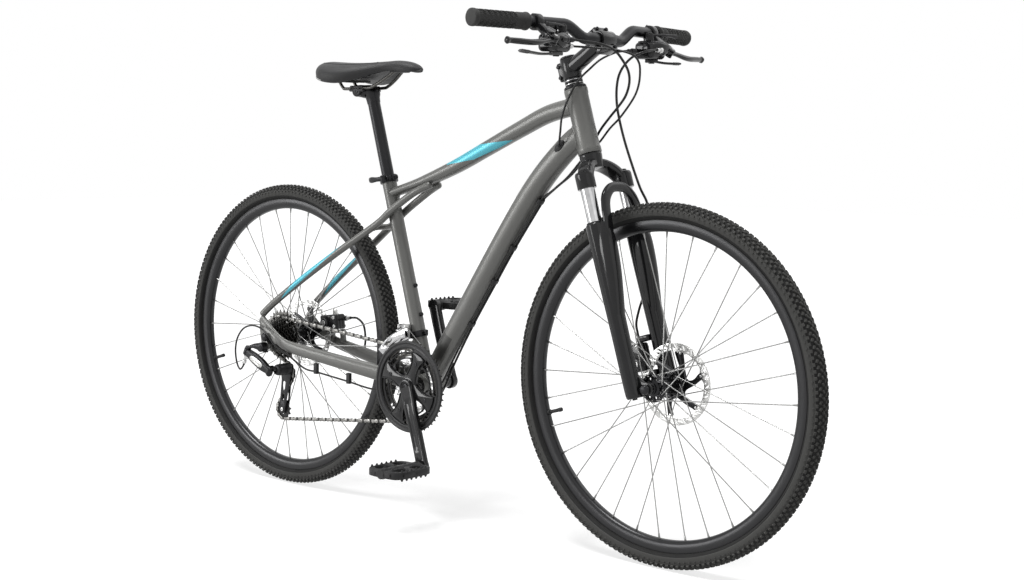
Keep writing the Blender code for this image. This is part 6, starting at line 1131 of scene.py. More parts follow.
def tread():
    """One pitch of tread: centre blocks, two rows of slanted knobs, shoulder knobs and side studs."""
    knobs = []
    for row, turn in enumerate((0.0, 0.5 * TREAD_STEP)):
        sign = 1 if row else -1
        knobs.append(knob(0.0, turn, 0.0072, 0.0044, 0.0036, 0.35 * sign))
        for side in (-1, 1):
            knobs.append(knob(side * 0.0058, turn + 0.25 * TREAD_STEP, 0.007, 0.0044, 0.004, -0.5 * side))
            knobs.append(knob(side * 0.0112, turn + 0.02 * sign * TREAD_STEP, 0.0066, 0.0042, 0.004, 0.4 * side))
            knobs.append(knob(side * 0.0158, turn + 0.27 * TREAD_STEP, 0.0064, 0.0046, 0.0036))
            knobs.append(knob(side * 0.0184, turn + 0.02 * TREAD_STEP, 0.0032, 0.0032, 0.002))
    return knobs


def rim_hoop(axle):
    """Double-walled rim between its two hooked flanges."""
    side = [(0.311, 0.0088), (0.315, 0.0096), (0.3165, 0.0097), (0.317, 0.0102), (0.3168, 0.0109),
            (0.316, 0.0112), (0.306, 0.0112), (0.305, 0.011), (0.302, 0.0107), (0.2985, 0.0094),
            (0.2958, 0.0072), (0.2944, 0.0042), (0.294, 0.0)]
    return turned(paired(side), axle, Y, 180, True)


def spoke_ends(i, flanges):
    """Hub and rim ends of one spoke round the origin, with the hub end's side of its flange."""
    flange = flanges[i % 2]
    trailing = 1 if (i // 2) % 2 else -1
    angle = 2 * math.pi * i / SPOKES
    at_hub = angle + trailing * 2 * math.pi * 3 / 16
    inward = -math.copysign(1.0, flange) * trailing
    hub = round_point(SPOKE_CIRCLE, at_hub, flange + inward * 0.0024)
    return hub, round_point(SPOKE_SEAT, angle, math.copysign(0.002, flange)), inward


def spoke_set(flanges):
    """Four neighbouring spokes with their elbows and heads."""
    forms = []
    for i in range(SPOKES // SPOKE_SETS):
        hub, rim, inward = spoke_ends(i, flanges)
        way = (rim - hub).normalized()
        through = hub - inward * 0.006 * Y
        forms.append(tube([through, hub - inward * 0.0004 * Y, hub + 0.0012 * way + inward * 0.0006 * Y,
                           hub + 0.006 * way + inward * 0.0002 * Y, rim], 0.0012, 8))
        forms.append(rod(through, through + inward * 0.001 * Y, 0.0019, 10, 0.0003))
    return forms


def nipple_set(flanges):
    """Nipples of the same four spokes."""
    forms = []
    for i in range(SPOKES // SPOKE_SETS):
        hub, rim, _ = spoke_ends(i, flanges)
        way = (rim - hub).normalized()
        forms.append(rod(rim + 0.001 * way, rim - 0.01 * way, 0.0023, 8, 0.0004, 0.0016))
    return forms


def hub_shell(profile, axle, flanges):
    """Waisted shell with two flanges, each drilled between the spoke holes."""
    forms = [turned(profile, axle, Y, 64, True)]
    for flange in flanges:
        holes = [circle(0.003, 12, polar(0.0189, 2 * math.pi * (k + 0.5) / 8)) for k in range(8)]
        forms.append(prism(circle(0.0272, 64), 0.0058, side_plane(flange, axle), holes + [circle(HUB_BORE)], 0.0009))
    return forms


def bearing_hub(seat, end, flanges, waist, right_end):
    """Section of a hub: disc seat on the left, waist between the flanges."""
    right, left = flanges
    return [(0.0053, end), (0.01, end), (0.0113, end - 0.001), (0.0115, seat + 0.0006), (0.0225, seat),
            (0.0225, seat - 0.004), (0.016, seat - 0.0075), (waist + 0.0022, left + 0.003),
            (waist + 0.003, left), (waist + 0.001, left - 0.005), (waist, left - 0.01),
            (waist, right + 0.01), (waist + 0.001, right + 0.005), (waist + 0.003, right),
            *right_end]


def disc_band():
    """Braking band with slanted slots and six riveted tabs, round the origin."""
    slots = []
    for k in range(24):
        a = 2 * math.pi * k / 24
        slots.append(rounded([polar(0.0682, a - 0.024), polar(0.0768, a + 0.052), polar(0.0778, a + 0.104),
                              polar(0.0692, a + 0.03)]))
        slots.append(circle(0.0018, 10, polar(0.0692, a + 0.128)))
    inner = []
    for k in range(ROTOR_TABS):
        a = 2 * math.pi * k / ROTOR_TABS + RIVET_TURN
        inner += [polar(radius, a + turn) for radius, turn in (
            (0.0655, -0.4), (0.0655, -0.22), (0.06, -0.085), (0.06, 0.085), (0.0655, 0.22), (0.0655, 0.4))]
    edge = [polar(0.0797 + 0.0003 * math.cos(48 * a), a) for a in (2 * math.pi * k / 192 for k in range(192))]
    return prism(edge, 0.0018, side_plane(0.0), [rounded(inner, 1), *slots], 0.0002)


def disc_carrier():
    """Six slanted arms between the hub's seat and the band."""
    outline = []
    for k in range(ROTOR_TABS):
        a = 2 * math.pi * k / ROTOR_TABS
        outline += [polar(radius, a + turn) for radius, turn in (
            (0.0262, -0.3), (0.042, 0.03), (0.06, 0.245), (0.0648, 0.28), (0.0648, 0.44), (0.06, 0.475),
            (0.043, 0.29), (0.0262, 0.36))]
    holes = [circle(0.0016, 10, polar(RIVET_CIRCLE, 2 * math.pi * k / ROTOR_TABS + RIVET_TURN))
             for k in range(ROTOR_TABS)]
    return prism(rounded(outline), 0.0026, side_plane(0.0), holes + [circle(HUB_BORE)], 0.0004)


def wheel(name, body, axle, flanges, rotor_y, hub_profile):
    """All visual pieces of one wheel; the flanges are given right first."""
    piece(name + "_tyre_casing", tyre_casing(axle), "tyre", body, [name + "_tyre"], 24)
    round_piece(name + "_tread", tread(), TREAD_COUNT, axle, "tread", body, [name + "_tyre"], 30)
    piece(name + "_rim_hoop", rim_hoop(axle), "rim", body, [name + "_rim"], 30)
    round_piece(name + "_spokes", spoke_set(flanges), SPOKE_SETS, axle, "spoke", body, [name + "_hub"], 50)
    round_piece(name + "_nipples", nipple_set(flanges), SPOKE_SETS, axle, "spoke", body, (), 40)
    piece(name + "_hub_shell", hub_shell(hub_profile, axle, flanges), "hub", body, [name + "_hub"], 30)
    middle = axle + rotor_y * Y
    at = Matrix.Translation(middle)
    piece(name + "_disc_band", moved(disc_band(), at), name + "_disc", body, [name + "_rotor"], 30)
    piece(name + "_disc_carrier", moved(disc_carrier(), at), "black", body, [name + "_rotor"], 30)
    rivet = cap_bolt(round_point(RIVET_CIRCLE, RIVET_TURN, 0.001), Y, 0.0026, 0.0014, 0.0001)
    round_piece(name + "_disc_rivets", [mirrored(rivet), rivet], ROTOR_TABS, middle, "silver", body)
    bolt = cap_bolt(Vector((0.019, 0.0012, 0.0)), Y, 0.0034, 0.0022)
    round_piece(name + "_disc_bolts", bolt, ROTOR_TABS, middle, "silver", body)
    way = round_point(1.0, 2 * math.pi * 17.5 / SPOKES)
    piece(name + "_valve", [rod(axle + 0.2945 * way, axle + 0.29 * way, 0.0056, 20),
                            rod(axle + 0.2905 * way, axle + 0.266 * way, 0.0037, 20, 0.0008),
                            rod(axle + 0.268 * way, axle + 0.259 * way, 0.0043, 14, 0.0012)], "plastic", body)


FRONT_FLANGES = (-0.0335, 0.0215)
REAR_FLANGES = (-0.0195, 0.034)
FRONT_ROTOR_Y = 0.0395
REAR_ROTOR_Y = 0.052
FRONT_HUB = bearing_hub(0.0383, 0.0442, FRONT_FLANGES, 0.0135,
                        [(0.016, -0.0366), (0.0118, -0.039), (0.0115, -0.043), (0.01, -0.0442),
                         (0.0053, -0.0442)])
REAR_HUB = bearing_hub(0.0508, 0.0612, REAR_FLANGES, 0.016, [(0.017, -0.0224), (0.0053, -0.0224)])
wheel("front", "front_wheel", FRONT_AXLE, FRONT_FLANGES, FRONT_ROTOR_Y, FRONT_HUB)
wheel("rear", "rear_wheel", REAR_AXLE, REAR_FLANGES, REAR_ROTOR_Y, REAR_HUB)


# Quick releases and axle ends

FRONT_HALF = 0.05
REAR_HALF = 0.0675
GAP = 0.0003
WASHER = 0.0055
DRUM_RADIUS = 0.006
NUT_LENGTH = 0.0105 * 0.94


def quick_release(centre, outward, pointing, length):
    """Cam drum with a socket in its end, and a curved lever."""
    hinge = outward.cross(pointing)
    drum = turned([(0.0, -0.0075), (0.005, -0.0075), (0.006, -0.0067), (0.006, 0.0067), (0.005, 0.0075),
                   (0.0, 0.0075)], centre, hinge, 40)
    dimple = cap_bolt(centre + 0.0073 * hinge, hinge, 0.0038, 0.001, 0.45)
    stations = []
    for ahead, out, wide, thick in ((0.0, 0.0, 0.012, 0.007), (0.35, 0.06, 0.01, 0.006),
                                    (0.75, 0.03, 0.013, 0.005), (1.0, -0.03, 0.011, 0.004)):
        stations.append((*(centre + length * (ahead * pointing + out * outward)), wide, thick))
    return [drum, dimple, shaped(stations, 8, 24, 2.6, hinge, 0.0035)]


def fluted(centre, along, length, radius, flutes, dome):
    """Round nut with finger flutes and a chamfered or domed end."""
    rings = []
    matrix = axes_matrix(centre, along)
    for share, rise, cut in ((0.9, 0.0, 0.3), (1.0, 0.08, 1.0), (0.97, 0.7, 1.0), (0.8, 0.92, 0.6),
                             (0.45, 1.0 + dome, 0.0)):
        ring = []
        for k in range(12 * flutes):
            a = 2 * math.pi * k / (12 * flutes)
            reach = share * radius * (1.0 - 0.07 * cut * (0.5 + 0.5 * math.cos(flutes * a)) ** 2)
            ring.append(matrix @ Vector((reach * math.cos(a), reach * math.sin(a), rise * length)))
        rings.append(ring)
    return skin(rings)


def axle_ends(axle, half):
    """Threaded ends, locknuts, the skewer, its fluted nut and the cam's washer."""
    outside = half + GAP + PLATE
    forms = [rod(axle - (outside - 0.001) * Y, axle + (outside - 0.001) * Y, 0.0049, 24),
             rod(axle - (outside + 0.01) * Y, axle + (outside + 0.004) * Y, 0.0025, 16),
             fluted(axle - (outside + GAP) * Y, -Y, NUT_LENGTH, 0.0099, 8, 0.04),
             turned([(0.0, 0.0), (0.0085, 0.0), (0.009, 0.0006), (0.009, 0.003), (0.0078, 0.0048),
                     (0.006, WASHER), (0.0, WASHER)], axle + (outside + GAP) * Y, Y, 32)]
    for side in (-1, 1):
        matrix = axes_matrix(axle + side * (half - 0.00285) * Y, side * Y)
        forms.append(prism(circle(0.0094, 6), 0.0056, matrix, (), 0.0006))
    return forms


piece("front_axle_ends", axle_ends(FRONT_AXLE, FRONT_HALF), "black", "fork_lowers", ["front_axle"])
piece("rear_axle_ends", axle_ends(REAR_AXLE, REAR_HALF), "black", "frame", ["rear_axle"])
for end, axle, half, pointing in (("front", FRONT_AXLE, FRONT_HALF, STEER_UP), ("rear", REAR_AXLE, REAR_HALF, -X)):
    centre = axle + (half + GAP + PLATE + WASHER + GAP + DRUM_RADIUS) * Y
    piece(end + "_cam_lever", quick_release(centre, Y, pointing, 0.06), "black", end + "_qr_lever",
          [end + "_qr_lever"])


# Fork

FORK = basis(STEER_FORWARD, Y, STEER_UP, STEER_FOOT)
LEG_Y = 0.06
LUG_Y = 0.0538
CALIPER_UP = 0.0662
LEG_OFFSET = 0.02
HEAD_TOP = 0.6045
STEM_FOOT = 0.6265
STEM_HEAD = 0.6665
ARCH_FRONT = 0.0452


def fork_form(stations, steps, count, power):
    """Solid through stations that are given in the fork's directions."""
    return shaped([(*on_fork(*s[:3]), *s[3:]) for s in stations], steps, count, power, STEER_FORWARD)


def crown():
    """Forged bridge that runs over two stanchion sockets."""
    half = [(0.019, 0.06, 0.4125, 0.028, 0.016), (0.0185, 0.055, 0.4165, 0.031, 0.02),
            (0.013, 0.043, 0.4335, 0.033, 0.022), (0.005, 0.024, 0.4475, 0.034, 0.022),
            (0.0, 0.0, 0.452, 0.036, 0.022)]
    forms = [fork_form(paired(half), 8, 40, 2.8)]
    for side in (-1, 1):
        forms.append(turned([(0.0, 0.4318), (0.0118, 0.432), (0.014, 0.4312), (0.0168, 0.4298), (0.0181, 0.4272),
                             (0.0185, 0.424), (0.0185, 0.399), (0.018, 0.3978), (0.015, 0.3975), (0.0, 0.3975)],
                            on_fork(LEG_OFFSET, side * LEG_Y, 0), STEER_UP, 64))
    forms.append(turned([(0.0, 0.44), (0.0205, 0.442), (0.0212, 0.455), (0.0224, 0.4665), (0.0225, 0.47),
                         (0.0218, 0.4722), (0.0214, 0.4732), (0.0, 0.4732)], STEER_FOOT, STEER_UP, 64))
    return forms


def steering_column():
    """Bearing covers, two spacers and the cap on the stem."""
    forms = [turned([(0.0, HEAD_TOP + 0.0004), (0.0215, HEAD_TOP + 0.0005), (0.0226, HEAD_TOP + 0.0012),
                     (0.0222, HEAD_TOP + 0.005), (0.0195, HEAD_TOP + 0.0074), (0.0182, HEAD_TOP + 0.0078),
                     (0.0, HEAD_TOP + 0.0078)], STEER_FOOT, STEER_UP, 64)]
    for low, high in ((HEAD_TOP + 0.008, HEAD_TOP + 0.0128), (HEAD_TOP + 0.0131, STEM_FOOT - GAP)):
        forms.append(turned([(0.0, low), (0.0175, low), (0.018, low + 0.0005), (0.018, high - 0.0005),
                             (0.0175, high), (0.0, high)], STEER_FOOT, STEER_UP, 64))
    forms.append(turned([(0.0, STEM_HEAD), (0.017, STEM_HEAD + 0.0003), (0.0175, STEM_HEAD + 0.0009),
                         (0.0175, STEM_HEAD + 0.0026), (0.016, STEM_HEAD + 0.0046), (0.012, STEM_HEAD + 0.0058),
                         (0.0, STEM_HEAD + 0.0058)], STEER_FOOT, STEER_UP, 64))
    return forms


def spacer_marks():
    """Fine bright lines round the spacers, and the cap's bolt."""
    forms = []
    for rise in (0.0104, 0.0176):
        forms.append(turned([(0.0176, HEAD_TOP + rise - 0.0005), (0.01808, HEAD_TOP + rise - 0.0005),
                             (0.01808, HEAD_TOP + rise + 0.0005), (0.0176, HEAD_TOP + rise + 0.0005)],
                            STEER_FOOT, STEER_UP, 64, True))
    forms.append(cap_bolt(on_fork(0, 0, STEM_HEAD + 0.004), STEER_UP, 0.0052, 0.0019, 0.5))
    return forms


piece("fork_bridge", crown(), "gloss", "steerer", ["fork_crown"], 36)
piece("steering_column", steering_column(), "black", "steerer", ["fork_crown"])
piece("spacer_marks", spacer_marks(), "silver", "steerer")


def preload_caps():
    """Turned cap with finger flutes on each stanchion's socket."""
    return [fluted(on_fork(LEG_OFFSET, side * LEG_Y, 0.4316), STEER_UP, 0.004, 0.0108, 10, 0.02)
            for side in (-1, 1)]


def stanchion(side):
    """Plated tube that the lower leg slides on."""
    return turned([(0.0, 0.17), (0.013, 0.17), (0.014, 0.171), (0.014, 0.424), (0.0, 0.424)],
                  on_fork(LEG_OFFSET, side * LEG_Y, 0), STEER_UP, 72)


piece("preload_caps", preload_caps(), "plastic", "steerer")
piece("right_stanchion_tube", stanchion(-1), "chrome", "steerer", ["right_stanchion"])
piece("left_stanchion_tube", stanchion(1), "chrome", "steerer", ["left_stanchion"])


def fork_leg(side):
    """Lower leg, a turned form that narrows to its foot."""
    profile = [(0.0, 0.3296), (0.0145, 0.3296), (0.016, 0.33), (0.0175, 0.3285), (0.0188, 0.3262), (0.019, 0.324),
               (0.019, 0.302), (0.0189, 0.252), (0.0182, 0.19), (0.0172, 0.11), (0.017, 0.06),
               (0.0167, 0.008), (0.016, -0.006), (0.0146, -0.0102), (0.012, -0.0118), (0.0, -0.012)]
    curve = [(max(radius, 0.0), height) for radius, height in smooth(profile, 3)]
    return turned(curve, on_fork(LEG_OFFSET, side * LEG_Y, 0), STEER_UP, 72)


def wipers():
    """Ring seal on top of each lower leg."""
    return [turned([(0.0142, 0.329), (0.0162, 0.329), (0.0165, 0.3296), (0.0165, 0.3312), (0.0156, 0.3318),
                    (0.0148, 0.332), (0.0142, 0.3316)], on_fork(LEG_OFFSET, side * LEG_Y, 0), STEER_UP, 64, True)
            for side in (-1, 1)]


def fork_lug(side):
    """Plate ahead of the leg's foot, open downward for the axle."""
    outline = [(LEG_OFFSET - 0.006, -0.01), (LEG_OFFSET + 0.01, -0.012)]
    for radius, degrees in ((0.0135, (-122, -116)), (SLOT_RADIUS, (180, 135, 90, 45, 0)),
                            (0.0135, (-64, -40, -10, 20, 50, 75, 95))):
        outline += [polar(radius, math.radians(a), (AXLE_AHEAD, 0.0)) for a in degrees]
    outline += [(LEG_OFFSET + 0.012, 0.034), (LEG_OFFSET - 0.004, 0.06)]
    return prism(rounded(outline), PLATE, FORK @ side_plane(side * LUG_Y), (), 0.001)


def fork_arch():
    """Bridge of the lowers over the tyre."""
    half = [(0.03, 0.057, 0.235, 0.016, 0.012), (0.035, 0.056, 0.275, 0.02, 0.018),
            (ARCH_FRONT - 0.003, 0.0545, 0.308, 0.015, 0.022), (ARCH_FRONT, 0.052, 0.332, 0.011, 0.022),
            (ARCH_FRONT, 0.0505, 0.348, 0.0108, 0.022), (ARCH_FRONT, 0.042, 0.374, 0.0108, 0.022),
            (ARCH_FRONT, 0.022, 0.391, 0.011, 0.02), (ARCH_FRONT, 0.0, 0.394, 0.011, 0.019)]
    return fork_form(paired(half), 10, 32, 3.0)


def sliding_legs():
    """Both legs, their lugs and arch, the caliper's two mounts, and the shoulders that flare into the arch."""
    forms = [fork_leg(-1), fork_leg(1), fork_lug(-1), fork_lug(1), fork_arch()]
    for low in (CALIPER_UP - 0.0348, CALIPER_UP + 0.0348):
        forms.append(block((0.03, 0.012, 0.013), (-0.008, LEG_Y - 0.012, low), 0.003, FORK))
    for side in (-1, 1):
        forms.append(shaped([(*on_fork(0.03, side * 0.057, 0.308), 0.02, 0.022),
                             (*on_fork(0.0385, side * 0.055, 0.314), 0.016, 0.018)], 6, 24, 2.6, STEER_FORWARD))
        forms.append(cap_bolt(on_fork(LEG_OFFSET, side * LEG_Y, -0.0118), -STEER_UP, 0.005, 0.003, 0.5))
        flare = [(LEG_OFFSET + ahead, side * (LEG_Y - inward), up, wide, deep) for ahead, inward, up, wide, deep in (
            (0.001, 0.0, 0.15, 0.033, 0.033), (0.005, 0.001, 0.19, 0.039, 0.035),
            (0.009, 0.002, 0.235, 0.044, 0.037), (0.012, 0.003, 0.28, 0.044, 0.037),
            (0.014, 0.004, 0.306, 0.037, 0.032), (ARCH_FRONT - LEG_OFFSET - 0.005, 0.006, 0.328, 0.016, 0.024))]
        forms.append(fork_form(flare, 8, 36, 2.2))
    return forms


piece("sliding_legs", sliding_legs(), "gloss", "fork_lowers", ["fork_lowers"], 36)
piece("fork_wipers", wipers(), "plastic", "fork_lowers")


# Stem and handlebar

STEM_RISE = math.radians(34.3)
STEM_CENTRE = on_fork(0, 0, STEM_FOOT + 0.02)
STEM_OUT = Vector((math.cos(STEM_RISE), 0.0, math.sin(STEM_RISE)))
BAR_CENTRE = STEM_CENTRE + 0.0956 * STEM_OUT
BAR_CLAMP = Matrix.Translation(BAR_CENTRE) @ Matrix.Rotation(-STEM_RISE, 4, "Y")
BAR_HALF = 0.329
GRIP_LENGTH = 0.128
CONTROL_Y = BAR_HALF - GRIP_LENGTH - 0.023
HANDS = ((-1, "right"), (1, "left"))


def ring_form(radius, bore, half, centre, along, edge=0.0008, steps=64):
    """Short round collar with a bore and softened rims."""
    profile = [(bore, -half), (radius - edge, -half), (radius - 0.3 * edge, -half + 0.3 * edge),
               (radius, -half + edge), (radius, half - edge), (radius - 0.3 * edge, half - 0.3 * edge),
               (radius - edge, half), (bore, half)]
    return turned(profile, centre, along, steps, True)


def half_clamp(sign, reach):
    """Half of the bar clamp: a half ring whose ends run out to bolted ears."""
    parting = sign * 0.00015
    ring = [polar(0.018, math.pi / 2 - sign * math.pi * k / 16) for k in range(17)]
    bore = [polar(0.0128, -math.pi / 2 + sign * math.pi * k / 16) for k in range(17)]
    outline = [(parting, 0.024), (sign * reach, 0.024), (sign * reach, 0.0165)]
    outline += [p for p in ring if abs(p[1]) < 0.016]
    outline += [(sign * reach, -0.0165), (sign * reach, -0.024), (parting, -0.024)]
    outline += [(parting + p[0], p[1]) for p in bore]
    return prism(outline, 0.042, BAR_CLAMP @ side_plane(0.0), (), 0.001)


def stem_body():
    """Steerer clamp, the rising arm with its weld, and the rear half of the bar clamp."""
    column = ring_form(0.0185, 0.0145, 0.02, STEM_CENTRE, STEER_UP, 0.0014)
    start = STEM_CENTRE + 0.004 * STEM_OUT
    end = BAR_CENTRE - 0.017 * STEM_OUT
    rings = shaped_rings([(*start, 0.0345, 0.0345), (*start.lerp(BAR_CENTRE, 0.2), 0.0325, 0.0325),
                          (*start.lerp(BAR_CENTRE, 0.55), 0.0305, 0.031), (*end, 0.032, 0.0325)], 8, 48, 2.2)
    rear = block((0.014, 0.014, 0.038), (-0.0215, 0, STEM_FOOT + 0.02), 0.003, FORK)
    steerer = rod(on_fork(0, 0, STEM_FOOT), on_fork(0, 0, STEM_HEAD), 0.0185, 64)
    bead = weld(rings[::-1][6:], steerer, 0.0016)
    return [column, skin(rings), rear, half_clamp(-1, 0.014), bead]


def stem_bolts():
    """Four bolts of the bar clamp."""
    return [cap_bolt(BAR_CLAMP @ Vector((0.007, y, z)), STEM_OUT, 0.0036, 0.0035, 0.55)
            for y in (-0.014, 0.014) for z in (-0.0205, 0.0205)]


def pinch_bolts():
    """Two bolts and their nuts behind the steerer."""
    forms = []
    for up in (STEM_FOOT + 0.009, STEM_FOOT + 0.031):
        forms.append(cap_bolt(on_fork(-0.024, 0.0068, up), Y, 0.0041, 0.0036, 0.55))
        forms.append(rod(on_fork(-0.024, -0.0068, up), on_fork(-0.024, -0.01, up), 0.004, 6, 0.0004))
    return forms


piece("stem_body", stem_body(), "gloss", "steerer", ["stem"], 36)
piece("stem_front", half_clamp(1, 0.0075), "gloss", "steerer", ["stem_faceplate"], 36)
piece("stem_front_bolts", stem_bolts(), "black", "steerer", ["stem_faceplate"])
piece("stem_pinch_bolts", pinch_bolts(), "black", "steerer")


def eased(value):
    """0 below 0, 1 above 1, and a smooth rise between."""
    share = min(max(value, 0.0), 1.0)
    return share * share * (3 - 2 * share)


def bar_point(y):
    """Centre line of the riser bar at a distance from the middle."""
    x = BAR_CENTRE.x - max(abs(y) - 0.04, 0.0) * 0.146
    return Vector((x, y, BAR_CENTRE.z + 0.024 * eased((abs(y) - 0.05) / 0.06)))


def bar_axis(side):
    """Direction of a grip, outward."""
    return (bar_point(side * BAR_HALF) - bar_point(side * CONTROL_Y)).normalized()


def bar_tube():
    """Riser bar, thicker in its clamp."""
    places = [BAR_HALF * k / 60 for k in range(-60, 61)]
    radii = [0.0127 - 0.0016 * eased((abs(y) - 0.03) / 0.025) for y in places]
    return tube([bar_point(y) for y in places], radii, 40)


piece("bar_tube", bar_tube(), "black", "steerer", ["handlebar"])


def grip_core(side):
    """Grip body with flanged inner end, raised bands and a rounded outer end."""
    end = bar_point(side * BAR_HALF)
    profile = [(0.0, 0.004), (0.012, 0.004), (0.0148, 0.0036), (0.0162, 0.0024), (0.0165, 0.0006),
               (0.0165, -0.003), (0.016, -0.0048), (0.015, -0.0062), (0.0146, -0.008), (0.0146, -0.098),
               (0.0151, -0.1), (0.0153, -0.103), (0.0153, -0.117), (0.0156, -0.12), (0.0165, -0.1222),
               (0.017, -0.124), (0.017, -0.1268), (0.0164, -0.128), (0.0114, -0.128)]
    return turned(profile, end, bar_axis(side), 64)


def grip_pattern(side):
    """A low pad, and its places in rows wrapped round the grip."""
    matrix = axes_matrix(bar_point(side * BAR_HALF), bar_axis(side))
    pad = block((0.0074, 0.003, 0.0012), (0.0, 0.0, 0.0003), 0.0004, None, 1)
    places = []
    for row in range(14):
        for k in range(20):
            a = 2 * math.pi * (k + 0.5 * (row % 2)) / 20
            out = Vector((math.cos(a), math.sin(a), 0.0))
            turn = basis(Z, Z.cross(out), out)
            spot = 0.0147 * out - (0.012 + 0.0062 * row) * Z
            twist = Matrix.Rotation(0.55 if row % 2 else -0.55, 4, "Z")
            places.append((matrix @ spot, matrix.to_3x3().to_4x4() @ turn @ twist))
    return pad, places


def grip_ribs(side):
    """Four ribs near the grip's inner end."""
    end, way = bar_point(side * BAR_HALF), bar_axis(side)
    return [ring_form(0.0158, 0.015, 0.001, end - (0.1045 + 0.0035 * k) * way, way, 0.0003, 48) for k in range(4)]


for side, hand in HANDS:
    piece(hand + "_grip_core", grip_core(side), "grip", "steerer", [hand + "_grip"])
    pad, places = grip_pattern(side)
    carried_piece(hand + "_grip_pads", pad, places, "grip", "steerer", [hand + "_grip"], 40)
    piece(hand + "_grip_ribs", grip_ribs(side), "grip", "steerer", [hand + "_grip"])


# Seat post, its collar and the saddle

CLAMP_MIDDLE = SEAT_TUBE_TOP - 0.007
EAR_WAY = math.cos(math.radians(-30)) * SEAT_FORWARD + math.sin(math.radians(-30)) * Y
EAR_SKEWER = SEAT_UP.cross(EAR_WAY)
EAR_CENTRE = on_seat_tube(CLAMP_MIDDLE) + 0.022 * EAR_WAY
HEAD_CENTRE = on_seat_tube(0.648) + Vector((-0.0221, 0.0, 0.007))
SADDLE_NOSE_X = HEAD_CENTRE.x + 0.17
SADDLE_TOP = HEAD_CENTRE.z + 0.065
RAIL_Y = 0.022


def seat_collar():
    """Split collar, the rim of the seat tube's top, the ears, the skewer and its nut."""
    matrix = axes_matrix(EAR_CENTRE, SEAT_UP, EAR_WAY)
    forms = [ring_form(0.02, 0.016, 0.007, on_seat_tube(CLAMP_MIDDLE), SEAT_UP, 0.0016),
             ring_form(0.0186, 0.0137, 0.0012, on_seat_tube(SEAT_TUBE_TOP + 0.0008), SEAT_UP, 0.0006)]
    for half in (-1, 1):
        forms.append(block((0.01, 0.0054, 0.012), (-0.001, half * 0.0038, 0), 0.0014, matrix))
    forms.append(rod(EAR_CENTRE - 0.012 * EAR_SKEWER, EAR_CENTRE + 0.014 * EAR_SKEWER, 0.0028, 16))
    forms.append(fluted(EAR_CENTRE + 0.0066 * EAR_SKEWER, EAR_SKEWER, 0.0082, 0.006, 6, 0.02))
    forms.append(ring_form(0.0058, 0.0028, 0.0026, EAR_CENTRE - 0.0093 * EAR_SKEWER, EAR_SKEWER, 0.0008, 32))
    return forms


piece("seat_collar", seat_collar(), "black", "frame", ["seat_clamp"])
SEAT_LEVER = quick_release(EAR_CENTRE - 0.0183 * EAR_SKEWER, -EAR_SKEWER,
                           Vector((-0.047, 0.004, -0.005)).normalized(), 0.048)
piece("seat_cam_lever", SEAT_LEVER, "black", "seat_clamp_lever", ["seat_clamp_lever"])


def seat_post():
    """Post, its forged head, and the clamp and bolt at each rail."""
    post = turned([(0.0, 0.31), (0.013, 0.31), (0.0136, 0.3106), (0.0136, 0.64), (0.0, 0.64)], BB, SEAT_UP, 64)
    neck = shaped([(*on_seat_tube(0.628), 0.0272, 0.0272), (*on_seat_tube(0.64), 0.03, 0.029),
                   (*on_seat_tube(0.652), 0.037, 0.031),
                   (HEAD_CENTRE.x + 0.003, 0.0, HEAD_CENTRE.z - 0.001, 0.048, 0.029)], 8, 40, 2.4)
    head = turned([(0.0, -0.0165), (0.0125, -0.0165), (0.0135, -0.015), (0.0135, 0.015), (0.0125, 0.0165),
                   (0.0, 0.0165)], HEAD_CENTRE, Y, 56)
    forms = [post, neck, head]
    for side in (-1, 1):
        at = Vector((HEAD_CENTRE.x - 0.001, side * RAIL_Y, HEAD_CENTRE.z))
        forms.append(block((0.044, 0.013, 0.007), at + Vector((0, 0, 0.0018)), 0.0024))
        forms.append(block((0.04, 0.012, 0.0056), at + Vector((0, 0, 0.0088)), 0.002))
        forms.append(rod(at - side * 0.007 * Y, at + side * 0.0055 * Y, 0.0128, 40, 0.0018))
        forms.append(cap_bolt(at + side * 0.0052 * Y, side * Y, 0.0058, 0.0016, 0.5))
    return forms


piece("seat_post_forging", seat_post(), "black", "saddle_and_post", ["seatpost"])

# Sections of the cushion: place from the tail, half width, heights of its top and its edge
SADDLE = [(0.0, 0.018, -0.008, -0.018), (0.006, 0.044, -0.002, -0.025), (0.022, 0.067, 0.001, -0.036),
          (0.046, 0.079, 0.0, -0.044), (0.08, 0.0805, -0.002, -0.048), (0.112, 0.073, -0.003, -0.046),
          (0.142, 0.059, -0.003, -0.039), (0.168, 0.045, -0.002, -0.031), (0.194, 0.033, -0.001, -0.024),
          (0.22, 0.0265, 0.0, -0.022), (0.248, 0.0225, -0.003, -0.025), (0.268, 0.017, -0.009, -0.025),
          (0.28, 0.008, -0.016, -0.022)]
# A section's outline: share of the half width, and share of the drop from top to edge
SADDLE_SHAPE = [(0.0, 0.0), (0.34, 0.03), (0.64, 0.12), (0.86, 0.3), (0.985, 0.55), (1.0, 0.78), (0.96, 1.0),
                (0.88, 1.0), (0.78, 0.84), (0.4, 0.76), (0.0, 0.76)]
SADDLE_LENGTH = 0.28


def saddle_sections():
    """Fine sections of the cushion from tail to nose, all with the same points across."""
    across = smooth(SADDLE_SHAPE, 4)
    rings = []
    for along, half, top, edge in smooth(SADDLE, 5):
        ring = []
        for share, down in across:
            # a shallow channel down the middle of the rear half
            dent = 0.003 * math.exp(-(share * half / 0.008) ** 2) * math.exp(-((along - 0.085) / 0.07) ** 4)
            height = SADDLE_TOP + top + down * (edge - top) - (dent if down < 0.5 else 0.0)
            ring.append(Vector((SADDLE_NOSE_X - SADDLE_LENGTH + along, share * half, height)))
        rings.append(ring + [Vector((p.x, -p.y, p.z)) for p in reversed(ring) if p.y > 1e-6])
    return rings


